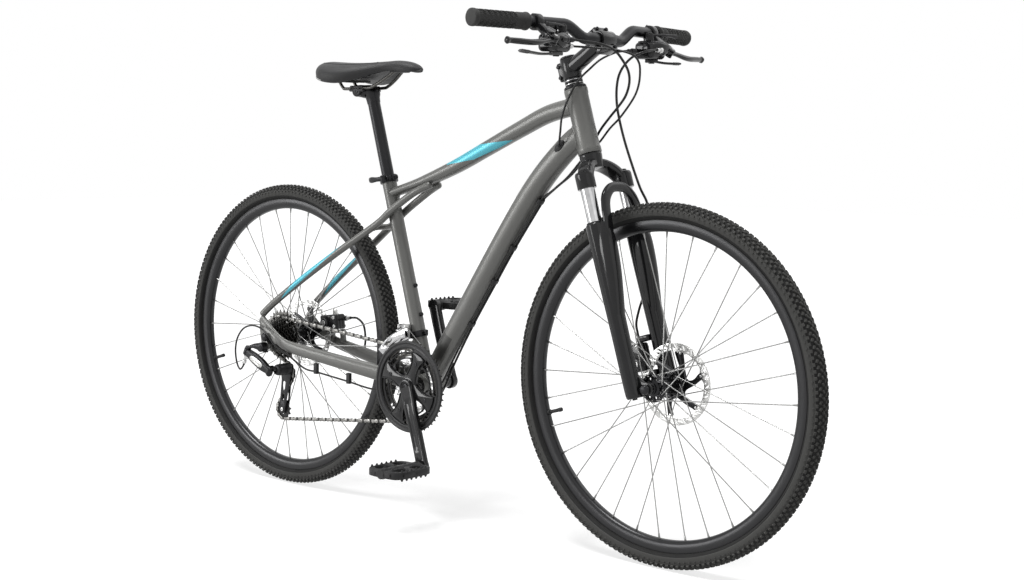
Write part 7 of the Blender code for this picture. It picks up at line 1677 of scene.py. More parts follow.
def cushion():
    """Padded cover with its two ends drawn in to soft roundings."""
    rings = saddle_sections()
    ends = []
    for ring, way in ((rings[0], -1), (rings[-1], 1)):
        middle = sum(ring, Vector()) / len(ring)
        for share, out in ((0.86, 0.0009), (0.6, 0.0016), (0.25, 0.002)):
            ends.append([middle + (point - middle) * share + way * out * X for point in ring])
    return skin(ends[2::-1] + rings + ends[3:])


def seam_lines():
    """Stitched seams over the cushion, a long curve on either side."""
    threads = []
    for side in (-1, 1):
        line = []
        for ring in saddle_sections()[10:-6]:
            aside = side * 0.62 * max(point.y for point in ring)
            upper = [point for point in ring if point.z >= ring[0].z - 0.02]
            line.append(min(upper, key=lambda point: abs(point.y - aside)) + 0.0001 * Z)
        threads.append(tube(line, 0.0007, 8, 2))
    return threads


def tail_piping():
    """Pale welt round the rear edge of the cushion."""
    left = []
    for ring in saddle_sections()[1:17]:
        half = max(point.y for point in ring)
        rim = [point for point in ring if point.y > 0.97 * half]
        left.append(min(rim, key=lambda point: point.z) + Vector((0.0, 0.0004, -0.0004)))
    return tube([Vector((p.x, -p.y, p.z)) for p in reversed(left)] + left, 0.0012, 10, 2)


def saddle_shell():
    """Moulded pan under the cushion, with ribs and the rails' sockets."""
    pan = []
    for ring in saddle_sections()[6:-4]:
        half = max(point.y for point in ring)
        edge = min(point.z for point in ring)
        inside = [(ring[0].x, share * half, edge + rise)
                  for share, rise in ((0.86, 0.0024), (0.7, 0.0064), (0.4, 0.0092), (0.0, 0.0098))]
        outer = [Vector(point) for point in paired(inside)]
        pan.append(outer + [point - 0.0026 * Z for point in reversed(outer)])
    forms = [skin(pan)]
    for x in (-0.055, -0.035, -0.015):
        forms.append(block((0.0016, 0.06, 0.006), (HEAD_CENTRE.x + x, 0, SADDLE_TOP - 0.0425), 0.0005))
    for side in (-1, 1):
        forms.append(block((0.026, 0.016, 0.012), HEAD_CENTRE + Vector((-0.068, side * RAIL_Y, 0.03)), 0.003))
    forms.append(block((0.03, 0.036, 0.01), HEAD_CENTRE + Vector((0.108, 0, 0.044)), 0.003))
    return forms


RAIL_ROUTE = [(-0.0645, RAIL_Y, 0.0282), (-0.058, RAIL_Y, 0.019), (-0.048, RAIL_Y, 0.008),
              (-0.036, RAIL_Y, 0.0048), (0.033, RAIL_Y, 0.007), (0.049, 0.0215, 0.0105),
              (0.074, 0.018, 0.023), (0.096, 0.0135, 0.037),
              (0.1055, 0.012, 0.0438)]


def saddle_rails():
    """A bent rail on either side."""
    return both_sides(tube([HEAD_CENTRE + Vector(point) for point in RAIL_ROUTE], 0.0035, 20, 8))


cover = piece("saddle_cushion", cushion(), "vinyl", "saddle_and_post", ["saddle_cover"], 60)
piece("saddle_seams", seam_lines(), "plastic", "saddle_and_post", ["saddle_cover"])
piece("saddle_piping", tail_piping(), "piping", "saddle_and_post", ["saddle_cover"])
piece("saddle_pan", saddle_shell(), "plastic", "saddle_and_post", ["saddle_base"])
piece("saddle_rails", saddle_rails(), "sprocket", "saddle_and_post", ["saddle_base"])


# Drive train

PITCH = 0.0127
RING_TEETH = {"small": 28, "middle": 38, "large": 48}
RING_Y = {"small": -0.0425, "middle": -0.05, "large": -0.0575}
SPROCKETS = [14, 16, 18, 20, 22, 24, 28]
CHAIN_Y = -0.036
CAGE_PIVOT = REAR_AXLE + Vector((0.0397, 0.0, -0.073))
PULLEY_TEETH = 11
CRANK_LENGTH = 0.17
CRANK_ANGLE = math.radians(20.8)
CRANK_OUT = {side: Vector((-side * math.sin(CRANK_ANGLE), 0.0, side * math.cos(CRANK_ANGLE))) for side in (-1, 1)}
SPIDER_START = math.atan2(CRANK_OUT[-1].z, CRANK_OUT[-1].x) + math.pi / 4


def flat(point):
    """A point's X and Z as a plane vector."""
    return Vector((point.x, point.z))


def heading(angle):
    """Direction at an angle in that plane."""
    return Vector((math.cos(angle), math.sin(angle)))


def pitch_radius(teeth):
    """Radius of the circle that the rollers lie on."""
    return PITCH / (2 * math.sin(math.pi / teeth))


def chain_circles(turn):
    """Toothed circles in the order the chain meets them: centre, radius, teeth, sense of turn, y."""
    guide = flat(CAGE_PIVOT) + 0.0165 * heading(math.radians(-134) + turn)
    tension = guide + 0.087 * heading(math.radians(-96) + turn)
    pulley = pitch_radius(PULLEY_TEETH)
    return [(flat(REAR_AXLE), pitch_radius(SPROCKETS[4]), SPROCKETS[4], -1, CHAIN_Y),
            (flat(BB), pitch_radius(RING_TEETH["middle"]), RING_TEETH["middle"], -1, RING_Y["middle"]),
            (tension, pulley, PULLEY_TEETH, -1, CHAIN_Y), (guide, pulley, PULLEY_TEETH, 1, CHAIN_Y)]


def run_heading(first, second):
    """Heading of the chain's straight run from one circle to the next."""
    gap = second[0] - first[0]
    return math.atan2(gap.y, gap.x) - math.asin((second[3] * second[1] - first[3] * first[1]) / gap.length)


def chain_segments(turn):
    """Runs and wraps, each as its length in pitches and a function of its share."""
    circles = chain_circles(turn)
    angles = [run_heading(circles[i], circles[(i + 1) % 4]) for i in range(4)]
    segments = []
    for i, here in enumerate(circles):
        after = circles[(i + 1) % 4]
        side = Vector((-math.sin(angles[i]), math.cos(angles[i])))
        start = here[0] - here[3] * here[1] * side
        end = after[0] - after[3] * after[1] * side
        start3 = Vector((start.x, here[4], start.y))
        end3 = Vector((end.x, after[4], end.y))
        segments.append(((end3 - start3).length / PITCH, lambda t, a=start3, b=end3: a.lerp(b, t)))
        sweep = (angles[(i + 1) % 4] - angles[i]) * after[3] % (2 * math.pi)
        offset = end - after[0]
        first = math.atan2(offset.y, offset.x)

        def wrapped(t, circle_=after, begin=first, whole=sweep):
            spot = circle_[0] + circle_[1] * heading(begin + circle_[3] * t * whole)
            return Vector((spot.x, circle_[4], spot.y))

        segments.append((sweep * after[2] / (2 * math.pi), wrapped))
    return segments


def fit_cage():
    """Cage turn at which the chain closes on an even number of links."""
    def total(turn):
        return sum(length for length, _ in chain_segments(turn))

    low, high = math.radians(-9), math.radians(9)
    wanted = 2 * round(total(0.0) / 2)
    rising = total(high) > total(low)
    for _ in range(60):
        middle = (low + high) / 2
        if (total(middle) < wanted) == rising:
            low = middle
        else:
            high = middle
    return (low + high) / 2, wanted


CAGE_TURN, LINKS = fit_cage()
CHAIN_PATH = chain_segments(CAGE_TURN)
TENSION_AT, GUIDE_AT = (circle_[0] for circle_ in chain_circles(CAGE_TURN)[2:])


def chain_point(place):
    """A point of the chain's path, by its distance in pitches."""
    for length, spot in CHAIN_PATH:
        if place <= length + 1e-9:
            return spot(place / length)
        place -= length
    return CHAIN_PATH[0][1](0.0)


def roller_phase(index):
    """Angle of a roller on the toothed circle that ends the run of that index."""
    before = sum(length for length, _ in CHAIN_PATH[:2 * index + 1])
    centre = chain_circles(CAGE_TURN)[(index + 1) % 4][0]
    away = flat(chain_point(math.ceil(before))) - centre
    return math.atan2(away.y, away.x)


RING_PHASE, TENSION_PHASE, GUIDE_PHASE, SPROCKET_PHASE = (roller_phase(i) for i in range(4))


def toothed(teeth, phase, tip=0.003):
    """Outline of a chain wheel with rounded hollows and narrow tips."""
    radius = pitch_radius(teeth)
    step = 2 * math.pi / teeth
    outline = []
    for k in range(teeth):
        for turn, reach in ((-0.2, -0.0033), (0.0, -0.004), (0.2, -0.0033), (0.33, -0.0006), (0.43, tip * 0.72),
                            (0.47, tip), (0.53, tip), (0.57, tip * 0.72), (0.67, -0.0006)):
            outline.append(polar(radius + reach, phase + (k + turn) * step))
    return outline


def spider_angles():
    """Angles of the spider's four arms."""
    return [SPIDER_START + k * math.pi / 2 for k in range(4)]


def tabbed_hole(outer, inner, spread):
    """Inside of a ring that comes inward at the four spider arms."""
    outline = []
    for a in spider_angles():
        outline += [polar(outer, a - spread - 0.1), polar(inner, a - spread), polar(inner, a)]
        outline += [polar(inner, a + spread), polar(outer, a + spread + 0.1)]
        outline += [polar(outer, a + spread + 0.1 + (math.pi / 2 - 2 * spread - 0.2) * k / 6) for k in range(1, 6)]
    return rounded(outline, 1)


def chain_wheel(teeth, phase, y, thickness, holes, centre, tip=0.003):
    """Toothed plate round a centre that is given in the plane."""
    return prism(toothed(teeth, phase, tip), thickness, side_plane(y, Vector((*centre, 0.0)).xzy), holes)


def link_form(half_y, thickness, pin_radius, pin_half):
    """A pair of waisted plates on two pins or rollers, round the link's middle and along X."""
    outline = []
    for sign in (1, -1):
        outline += [(sign * (PITCH / 2 + 0.0041 * math.cos(a)), sign * 0.0041 * math.sin(a))
                    for a in (math.radians(d) for d in (-105, -70, -35, 0, 35, 70, 105))]
        outline.append((0.0, sign * 0.0029))
    forms = [prism(outline, thickness, side_plane(side * half_y), (), 0.0002) for side in (-1, 1)]
    for side in (-1, 1):
        at = Vector((side * PITCH / 2, 0.0, 0.0))
        forms.append(rod(at - pin_half * Y, at + pin_half * Y, pin_radius, 10, 0.0003))
    return gather(forms)


def chain_places(odd):
    """Middle and turn of every second link."""
    places = []
    for k in range(odd, LINKS, 2):
        start, end = chain_point(k), chain_point((k + 1) % LINKS)
        along = (end - start).normalized()
        out = along.cross(Y).normalized()
        places.append((start.lerp(end, 0.5), basis(along, out.cross(along), out)))
    return places


carried_piece("chain_outer_links", link_form(0.0029, 0.001, 0.0017, 0.00345), chain_places(1), "chain", "frame",
              ["chain"])
carried_piece("chain_inner_links", link_form(0.0018, 0.001, 0.0038, 0.0013), chain_places(0), "links", "frame",
              ["chain"])


def sprocket_stack():
    """Seven sprockets, the larger ones with windows."""
    forms = []
    for i, teeth in enumerate(SPROCKETS):
        inner = pitch_radius(teeth) - 0.0075
        holes = [circle(0.015, 48)]
        if inner > 0.026:
            for k in range(7):
                middle = polar((inner + 0.0195) / 2, 2 * math.pi * k / 7 + 0.2 * i)
                holes.append(circle((inner - 0.0215) / 2, 14, middle))
        forms.append(chain_wheel(teeth, SPROCKET_PHASE, -0.056 + 0.005 * i, 0.0019, holes, flat(REAR_AXLE)))
    return forms


def freewheel_body():
    """Core of the sprockets, with a notched lock ring."""
    body = turned([(0.0053, -0.0228), (0.0165, -0.0228), (0.0165, -0.056), (0.0186, -0.0562), (0.019, -0.0567),
                   (0.019, -0.0598), (0.0184, -0.0605), (0.0135, -0.0605), (0.0132, -0.059), (0.01, -0.059),
                   (0.0053, -0.059)], REAR_AXLE, Y, 64, True)
    notches = []
    for k in range(12):
        at = REAR_AXLE + round_point(0.0128, 2 * math.pi * k / 12, -0.0595)
        notches.append(rod(at - 0.0009 * Y, at + 0.001 * Y, 0.0012, 8, 0.0003))
    return [body, *notches]


piece("sprocket_stack", sprocket_stack(), "sprocket", "cassette", ["cassette"], 30)
piece("freewheel_body", freewheel_body(), "black", "cassette", ["cassette"], 30)


def crank_section(width, thickness, dip):
    """Half round-cornered section with a hollow down its outer face, as (across, out) points."""
    w, t = width / 2, thickness / 2
    right = [(0.0, t - dip), (0.34 * w, t - dip), (0.46 * w, t - 0.5 * dip), (0.54 * w, t), (0.74 * w, t),
             (0.9 * w, 0.88 * t), (0.98 * w, 0.62 * t), (w, 0.2 * t), (w, -0.4 * t), (0.95 * w, -0.8 * t),
             (0.8 * w, -0.97 * t), (0.4 * w, -t), (0.0, -t)]
    return right + [(-a, b) for a, b in reversed(right[1:-1])]


def crank_blade(side):
    """Tapered arm that steps outward, with a long hollow panel on its face."""
    out = CRANK_OUT[side]
    across = out.cross(Y)
    path = smooth([(0.0, 0.068, 0.036), (0.03, 0.07, 0.0335), (0.06, 0.0727, 0.031), (0.104, 0.0745, 0.029),
                   (0.14, 0.077, 0.029), (CRANK_LENGTH, 0.0795, 0.0295)], 8)
    rings = []
    for reach, y, width in path:
        share = min(max(min(reach - 0.026, 0.14 - reach) / 0.008, 0.0), 1.0)
        centre = BB + reach * out + side * y * Y
        rings.append([centre + a * across + side * b * Y for a, b in crank_section(width, 0.0125, 0.0016 * share)])
    return skin(rings)


def crank_eye(side):
    """Where the pedal's axle crosses the bike's middle plane."""
    return BB + CRANK_LENGTH * CRANK_OUT[side]


def crank_arm(side):
    """Blade with the spindle's boss and the pedal's eye."""
    boss = turned([(0.0, 0.0605), (0.0165, 0.0607), (0.0175, 0.062), (0.0175, 0.0722), (0.0168, 0.0736),
                   (0.0152, 0.0742), (0.0125, 0.0743), (0.0118, 0.0728), (0.009, 0.0724), (0.0086, 0.0712),
                   (0.0, 0.0712)], BB, side * Y, 64)
    eye = turned([(0.0, 0.0732), (0.0138, 0.0733), (0.0145, 0.0742), (0.0145, 0.0846), (0.0138, 0.0857),
                  (0.0, 0.0858)], crank_eye(side), side * Y, 56)
    return [crank_blade(side), boss, eye]


def spindle_parts(side):
    """Pedal axle and its hexagon outside the crank."""
    eye = crank_eye(side)
    return [rod(eye + side * 0.08 * Y, eye + side * 0.163 * Y, 0.0054, 24),
            prism(circle(0.008, 6), 0.0038, axes_matrix(eye + side * 0.0879 * Y, side * Y), (), 0.0005)]


INNER_BOLTS = 0.0385
OUTER_BOLTS = 0.056
# Edge of a spider's arm: radius and angle from its middle
ARM_FLANK = [(0.0235, 0.72), (0.0275, 0.5), (0.038, 0.295), (0.05, 0.215), (0.062, 0.205), (0.072, 0.235),
             (0.077, 0.25)]


def spider():
    """Four flared arms that carry the rings and the guard, with raised edges and sunk faces."""
    outline = []
    forms = []
    for a in spider_angles():
        flank = [polar(r, a - turn) for r, turn in ARM_FLANK]
        other = [polar(r, a + turn) for r, turn in reversed(ARM_FLANK)]
        outline += flank + [polar(0.0785, a - 0.12), polar(0.0785, a + 0.12)] + other
        for edge in (flank[1:], other[:-1]):
            line = [BB + Vector((x * 0.985, -0.0662, z * 0.985)) for x, z in edge]
            forms.append(tube(line, 0.0012, 8, 4))
    forms.append(prism(rounded(outline), 0.0104, side_plane(-0.0608, BB), (), 0.0016))
    forms.append(rod(BB - 0.042 * Y, BB - 0.0668 * Y, 0.0215, 56, 0.002))
    for a in spider_angles():
        spot = BB + round_point(INNER_BOLTS, a)
        forms.append(rod(spot - 0.0425 * Y, spot - 0.057 * Y, 0.0042, 20))
    return forms


def ring_bolts():
    """On each arm: a bolt in front, its nut behind, and the small ring's bolt."""
    return [cap_bolt(BB + round_point(away, a, y), way, radius, height, socket)
            for a in spider_angles() for away, y, way, radius, height, socket in (
                (OUTER_BOLTS, -0.066, -Y, 0.0046, 0.0011, 0.55), (INNER_BOLTS, -0.0414, Y, 0.0046, 0.0014, 0.5),
                (OUTER_BOLTS, -0.049, Y, 0.0048, 0.0014, 0.5))]


piece("right_crank_arm", crank_arm(-1), "gloss", "crankset", ["right_crank"], 30)
piece("left_crank_arm", crank_arm(1) + [rod(BB + 0.0378 * Y, BB + 0.062 * Y, 0.014, 48, 0.001),
                                        rod(BB - 0.06 * Y, BB + 0.066 * Y, 0.0084, 24)], "gloss", "crankset",
      ["left_crank"], 30)
piece("crank_hardware", spindle_parts(-1) + spindle_parts(1), "silver", "crankset")
piece("spindle_bolts", [cap_bolt(BB + side * 0.0712 * Y, side * Y, 0.0074, 0.002, 0.6) for side in (-1, 1)], "black",
      "crankset")
piece("crank_spider", spider(), "gloss", "crankset", ["right_crank"], 30)
piece("ring_bolts", ring_bolts(), "black", "crankset")
for name, size, hole, finish, node in (
        ("middle_ring", "middle", (0.0645, 0.049, 0.2), "sprocket", "right_crank"),
        ("small_ring", "small", (0.0455, 0.033, 0.24), "silver", "right_crank"),
        ("outer_ring", "large", (0.08, 0.05, 0.22), "sprocket", "large_chainring")):
    ring = chain_wheel(RING_TEETH[size], RING_PHASE, RING_Y[size], 0.0022, [tabbed_hole(*hole)], flat(BB))
    piece(name, ring, finish, "crankset", [node], 30)


def guard_forms():
    """Outer band with two rolled beads, and a sunk web with rimmed windows between the spider's arms."""
    outer = turned([(0.0838, -0.0588), (0.0834, -0.0636), (0.0842, -0.0648), (0.0856, -0.0652), (0.0868, -0.0646),
                    (0.0878, -0.063), (0.0905, -0.0626), (0.0922, -0.0628), (0.0932, -0.064), (0.0944, -0.065),
                    (0.0964, -0.0651), (0.0978, -0.0644), (0.0986, -0.0628), (0.0984, -0.0606), (0.0974, -0.0592)],
                   BB, Y, 144, True)
    holes = []
    rims = []
    for a in spider_angles():
        start = a + 0.3
        end = a + math.pi / 2 - 0.3
        for inner, far, trim in ((0.063, 0.0722, 0.0), (0.0748, 0.0822, 0.02)):
            holes.append(arc_slot(inner, far, start + trim, end - trim, 14))
            edge = arc_slot(inner - 0.0005, far + 0.0005, start + trim, end - trim, 14)
            rims.append(tube([BB + Vector((x, -0.0622, z)) for x, z in edge], 0.0008, 8, 1, True))
    holes.insert(0, tabbed_hole(0.06, 0.05, 0.27))
    web = prism(circle(0.0845, 120), 0.003, side_plane(-0.0604, BB), holes, 0.0004)
    return [outer, web, *rims]


piece("guard_ring", guard_forms(), "guard", "crankset", ["chainguard"], 32)


def pedal_platform(side):
    """Moulded platform: toothed long edges, ribs, windows and a waisted bearing barrel."""
    centre = crank_eye(side)
    matrix = Matrix.Translation(centre) @ Matrix.Scale(side, 4, Y)
    half = 0.048
    outline = [(-half + 0.01, 0.095), (half - 0.01, 0.095), (half, 0.109), (half, 0.187), (half - 0.014, 0.203),
               (-half + 0.014, 0.203), (-half, 0.187), (-half, 0.109)]
    holes = []
    for near, far in ((-0.014, -half + 0.008), (0.014, half - 0.008)):
        for low, high in ((0.106, 0.14), (0.15, 0.192)):
            holes.append(rounded([(near, low), (far, low + 0.004), (far, high - 0.006), (near, high)]))
    forms = [prism(rounded(outline), 0.015, matrix, holes, 0.0014)]
    for sign in (-1, 1):
        for low, high in ((0.112, 0.146), (0.152, 0.182)):
            middle = Vector((sign * (half - 0.0002), (low + high) / 2, 0.0))
            forms.append(block((0.001, high - low, 0.0064), middle, 0.0004, matrix))
        forms.append(block((0.013, 0.0012, 0.0074), (sign * 0.0215, 0.203, 0.0), 0.0004, matrix))
    barrel = [(0.0, 0.0906), (0.0095, 0.0906), (0.0108, 0.0916), (0.0114, 0.095), (0.0114, 0.104), (0.01, 0.112),
              (0.0096, 0.145), (0.01, 0.18), (0.0112, 0.188), (0.0114, 0.1975), (0.0106, 0.1992), (0.0, 0.1992)]
    forms.append(turned(barrel, centre, side * Y, 40))
    forms.append(turned([(0.0, 0.199), (0.0104, 0.199), (0.0104, 0.2034), (0.0096, 0.204), (0.007, 0.204),
                         (0.0, 0.2036)], centre, side * Y, 32))
    for sign in (-1, 1):
        for up in (-1, 1):
            for count, ahead, first, step, height, sides, edge, tip in (
                    (6, half - 0.0042, 0.115, 0.0138, 0.005, 8, 0.0004, 0.0016),
                    (3, 0.012, 0.121, 0.029, 0.0036, 12, 0.0005, 0.002)):
                for k in range(count):
                    spot = centre + Vector((sign * ahead, side * (first + step * k), up * 0.0068))
                    forms.append(rod(spot, spot + up * height * Z, 0.0034, sides, edge, tip))
    return forms


for side, hand in HANDS:
    piece(hand + "_pedal_platform", pedal_platform(side), "plastic", hand + "_pedal", [hand + "_pedal"], 30)


# Rear derailleur

LINK_AXIS = Vector((0.438, 0.0, 0.899)).normalized()
LINK_TOP = REAR_AXLE + Vector((-0.0533, -0.088, -0.038))
LINK_END = REAR_AXLE + Vector((0.0267, -0.088, -0.077))
SHIFT_END = REAR_AXLE + Vector((-0.0658, -0.087, -0.066))
SHIFT_WAY = (LINK_TOP - 0.008 * LINK_AXIS - SHIFT_END).normalized()
HANGER_MIDDLE = Vector((HANGER.x, 0.0, HANGER.z))
LUG_RISE = 0.0103


def mounting_arm():
    """Hanger boss, the bent arm with the lug of the link's upper pivot, thread and stop."""
    at = HANGER_MIDDLE
    boss = turned([(0.0, 0.0752), (0.0104, 0.0753), (0.011, 0.076), (0.011, 0.088), (0.0104, 0.0898),
                   (0.0086, 0.0905), (0.0, 0.0905)], at, -Y, 48)
    lug_at = LINK_TOP + LUG_RISE * LINK_AXIS
    arm = shaped([(HANGER.x, -0.084, HANGER.z, 0.016, 0.019),
                  (HANGER.x - 0.012, -0.0858, HANGER.z + 0.0012, 0.0155, 0.015),
                  (HANGER.x - 0.024, -0.0868, HANGER.z + 0.0005, 0.015, 0.01),
                  (*(lug_at + 0.0002 * LINK_AXIS), 0.0145, 0.0052)], 8, 24, 3.0, Y, 0.003)
    lug = rod(lug_at - 0.0021 * LINK_AXIS, lug_at + 0.0021 * LINK_AXIS, 0.0072, 32, 0.0008)
    thread = rod(at - 0.0665 * Y, at - 0.078 * Y, 0.0049, 24)
    stop = block((0.007, 0.009, 0.008), (HANGER.x + 0.008, -0.08, HANGER.z - 0.008), 0.0016)
    return [boss, arm, lug, thread, stop]


def mounting_bolts():
    """Mounting bolt, both ends of the upper pivot, and two small set screws."""
    forms = [cap_bolt(HANGER_MIDDLE - 0.0905 * Y, -Y, 0.0072, 0.0012, 0.55),
             cap_bolt(LINK_TOP + 0.0123 * LINK_AXIS, LINK_AXIS, 0.0042, 0.0016),
             rod(LINK_TOP - 0.0112 * LINK_AXIS, LINK_TOP - 0.0083 * LINK_AXIS, 0.0046, 24, 0.0008)]
    return forms + [cap_bolt(HANGER_MIDDLE + Vector((0.0105, y, -0.01)), X, 0.0019, 0.003, 0.4)
                    for y in (-0.0825, -0.0773)]


def shift_barrel():
    """Ribbed adjuster that the shift housing ends in."""
    return [fluted(SHIFT_END, SHIFT_WAY, 0.009, 0.0056, 10, 0.0),
            rod(SHIFT_END + 0.008 * SHIFT_WAY, LINK_TOP - 0.009 * LINK_AXIS, 0.0034, 20)]


def outer_link():
    """Wide link and the eyes of its two pivots."""
    body = shaped([(*LINK_TOP, 0.013, 0.015), (*LINK_TOP.lerp(LINK_END, 0.15), 0.014, 0.02),
                   (*LINK_TOP.lerp(LINK_END, 0.35), 0.0145, 0.025), (*LINK_TOP.lerp(LINK_END, 0.7), 0.0145, 0.025),
                   (*LINK_END, 0.013, 0.015)], 8, 32, 4.0, Y, 0.003)
    return [body] + [rod(place - 0.008 * LINK_AXIS, place + 0.008 * LINK_AXIS, 0.008, 32, 0.001)
                     for place in (LINK_TOP, LINK_END)]


def link_plate():
    """Bright insert along the link's outer face, with two ribs."""
    along = (LINK_END - LINK_TOP).normalized()
    matrix = basis(along, along.cross(Y).normalized(), -Y, LINK_TOP.lerp(LINK_END, 0.5) - 0.007 * Y)
    outline = rounded([(-0.024, -0.0078), (0.021, -0.0066), (0.024, 0.0078), (-0.021, 0.0066)])
    inset = prism(outline, 0.0018, matrix, (), 0.0005)
    ribs = [block((0.036, 0.0012, 0.0014), (0.0, y, 0.0011), 0.0005, matrix) for y in (-0.0035, 0.0035)]
    return [inset, *ribs]


def knuckle():
    """Spring housing with a stepped cover, joined to the link's lower pivot."""
    at = Vector((CAGE_PIVOT.x, 0.0, CAGE_PIVOT.z))
    body = turned([(0.0, 0.0433), (0.0128, 0.0434), (0.0135, 0.0445), (0.0135, 0.056), (0.013, 0.057),
                   (0.013, 0.073), (0.0126, 0.076), (0.0112, 0.0788), (0.009, 0.0799), (0.006, 0.08),
                   (0.0, 0.08)], at, -Y, 56)
    matrix = axes_matrix(LINK_END + LUG_RISE * LINK_AXIS, LINK_AXIS)
    lug = block((0.013, 0.018, 0.004), (0, 0.002, 0), 0.0014, matrix)
    web = shaped([(*(LINK_END + 0.0095 * LINK_AXIS + 0.004 * Y), 0.014, 0.006),
                  (LINK_END.x + 0.008, -0.074, LINK_END.z + 0.004, 0.016, 0.01),
                  (CAGE_PIVOT.x, -0.064, CAGE_PIVOT.z, 0.018, 0.014)], 8, 24, 3.0, X)
    foot = rod(LINK_END - 0.0112 * LINK_AXIS, LINK_END - 0.0083 * LINK_AXIS, 0.0048, 24, 0.0008)
    return [body, lug, web, foot]


def cage_window(start, end, near, far):
    """Long hole between two shares of the way from pulley to pulley."""
    return hull(circle(near, 16, GUIDE_AT.lerp(TENSION_AT, start)) + circle(far, 16, GUIDE_AT.lerp(TENSION_AT, end)))


def cage_plates():
    """Both plates, the pulleys' pins, the pivot's shaft and a stop."""
    wide = hull(circle(0.012, 28, flat(CAGE_PIVOT)) + circle(0.01, 24, GUIDE_AT)
                + circle(0.006, 16, GUIDE_AT.lerp(TENSION_AT, 0.5)) + circle(0.0095, 24, TENSION_AT))
    narrow = hull(circle(0.0095, 24, GUIDE_AT) + circle(0.0095, 24, TENSION_AT))
    windows = [cage_window(0.27, 0.42, 0.0042, 0.0038), cage_window(0.58, 0.72, 0.0038, 0.0042)]
    outer = prism(wide, 0.0015, side_plane(-0.0422), windows)
    inner = prism(narrow, 0.0015, side_plane(-0.0298), windows)
    pins = [rod((spot.x, -0.043, spot.y), (spot.x, -0.029, spot.y), 0.0024, 20) for spot in (GUIDE_AT, TENSION_AT)]
    shaft = rod((CAGE_PIVOT.x, -0.0415, CAGE_PIVOT.z), (CAGE_PIVOT.x, -0.043, CAGE_PIVOT.z), 0.01, 40, 0.0004)
    stop = rod((CAGE_PIVOT.x + 0.009, -0.0425, CAGE_PIVOT.z - 0.006),
               (CAGE_PIVOT.x + 0.009, -0.0475, CAGE_PIVOT.z - 0.006), 0.0014, 12)
    return [outer, inner, *pins, shaft, stop]


def pulley_bolts():
    """Both ends of the pulleys' pins."""
    forms = []
    for spot in (GUIDE_AT, TENSION_AT):
        forms.append(cap_bolt(Vector((spot.x, -0.0429, spot.y)), -Y, 0.0044, 0.0014, 0.5))
        forms.append(cap_bolt(Vector((spot.x, -0.0291, spot.y)), Y, 0.004, 0.0008, 0.3))
    return forms


def jockey(spot, phase):
    """Pulley with short teeth, a raised hub and five round windows."""
    holes = [circle(0.002, 12, polar(0.0112, 2 * math.pi * k / 5 + phase)) for k in range(5)]
    wheel_form = chain_wheel(PULLEY_TEETH, phase, CHAIN_Y, 0.0022, [circle(0.004, 20), *holes], spot, 0.0015)
    at = Vector((spot.x, CHAIN_Y, spot.y))
    return [wheel_form, ring_form(0.007, 0.0026, 0.005, at, Y, 0.0008, 40)]


piece("derailleur_mount", mounting_arm(), "black", "frame", ["rd_bracket"])
piece("derailleur_bolts", mounting_bolts(), "black", "frame", ["rd_bracket"])
piece("shift_adjuster", shift_barrel(), "silver", "frame", ["rd_bracket"])
piece("derailleur_link", outer_link(), "black", "rd_outer_link", ["rd_outer_link"])
piece("derailleur_link_plate", link_plate(), "steel", "rd_outer_link", ["rd_outer_link"])
piece("derailleur_knuckle", knuckle(), "black", "rd_knuckle", ["rd_knuckle"])
piece("derailleur_cage", cage_plates(), "black", "rd_cage", ["rd_cage"])
piece("pulley_bolts", pulley_bolts(), "silver", "rd_cage")
piece("guide_jockey", jockey(GUIDE_AT, GUIDE_PHASE), "plastic", "guide_pulley", ["guide_pulley"])
piece("tension_jockey", jockey(TENSION_AT, TENSION_PHASE), "plastic", "tension_pulley", ["tension_pulley"])


# Front derailleur

FD_MIDDLE = on_seat_tube(0.1094)
CAGE_Y = -0.0483
FD_HINGE = FD_MIDDLE + Vector((-0.0193, -0.03, 0.016))


def sector(inner, outer, start, end, steps=24):
    """Part of a ring between two angles in degrees."""
    first, last = math.radians(start), math.radians(end)
    near = [polar(inner, first + (last - first) * k / steps) for k in range(steps + 1)]
    return near + [polar(outer, last - (last - first) * k / steps) for k in range(steps + 1)]


def band_clamp():
    """Band round the seat tube, and its ears ahead of it."""
    return [ring_form(0.0186, 0.0161, 0.007, FD_MIDDLE, SEAT_UP, 0.0012),
            block((0.009, 0.01, 0.012), FD_MIDDLE + 0.02 * SEAT_FORWARD, 0.002)]


def hinge_forms():
    """Bright hinge block with two lugs round the cage's pivot pin."""
    forms = [block((0.024, 0.01, 0.032), (FD_HINGE.x, -0.019, FD_HINGE.z - 0.01), 0.003)]
    for end in (-1, 1):
        forms.append(block((0.004, 0.02, 0.012), (FD_HINGE.x + end * 0.0103, -0.026, FD_HINGE.z), 0.0016))
    forms.append(rod(FD_HINGE - 0.0122 * X, FD_HINGE + 0.0122 * X, 0.0025, 16))
    return forms


def clamp_bolts():
    """The band's bolt and two set screws on the hinge."""
    forms = [cap_bolt(FD_MIDDLE + 0.0225 * SEAT_FORWARD - 0.005 * Y, -Y, 0.004, 0.0035, 0.5)]
    return forms + [cap_bolt(Vector((FD_HINGE.x + step, -0.024, FD_HINGE.z - 0.02)), -Y, 0.0024, 0.003, 0.4)
                    for step in (-0.0045, 0.0045)]


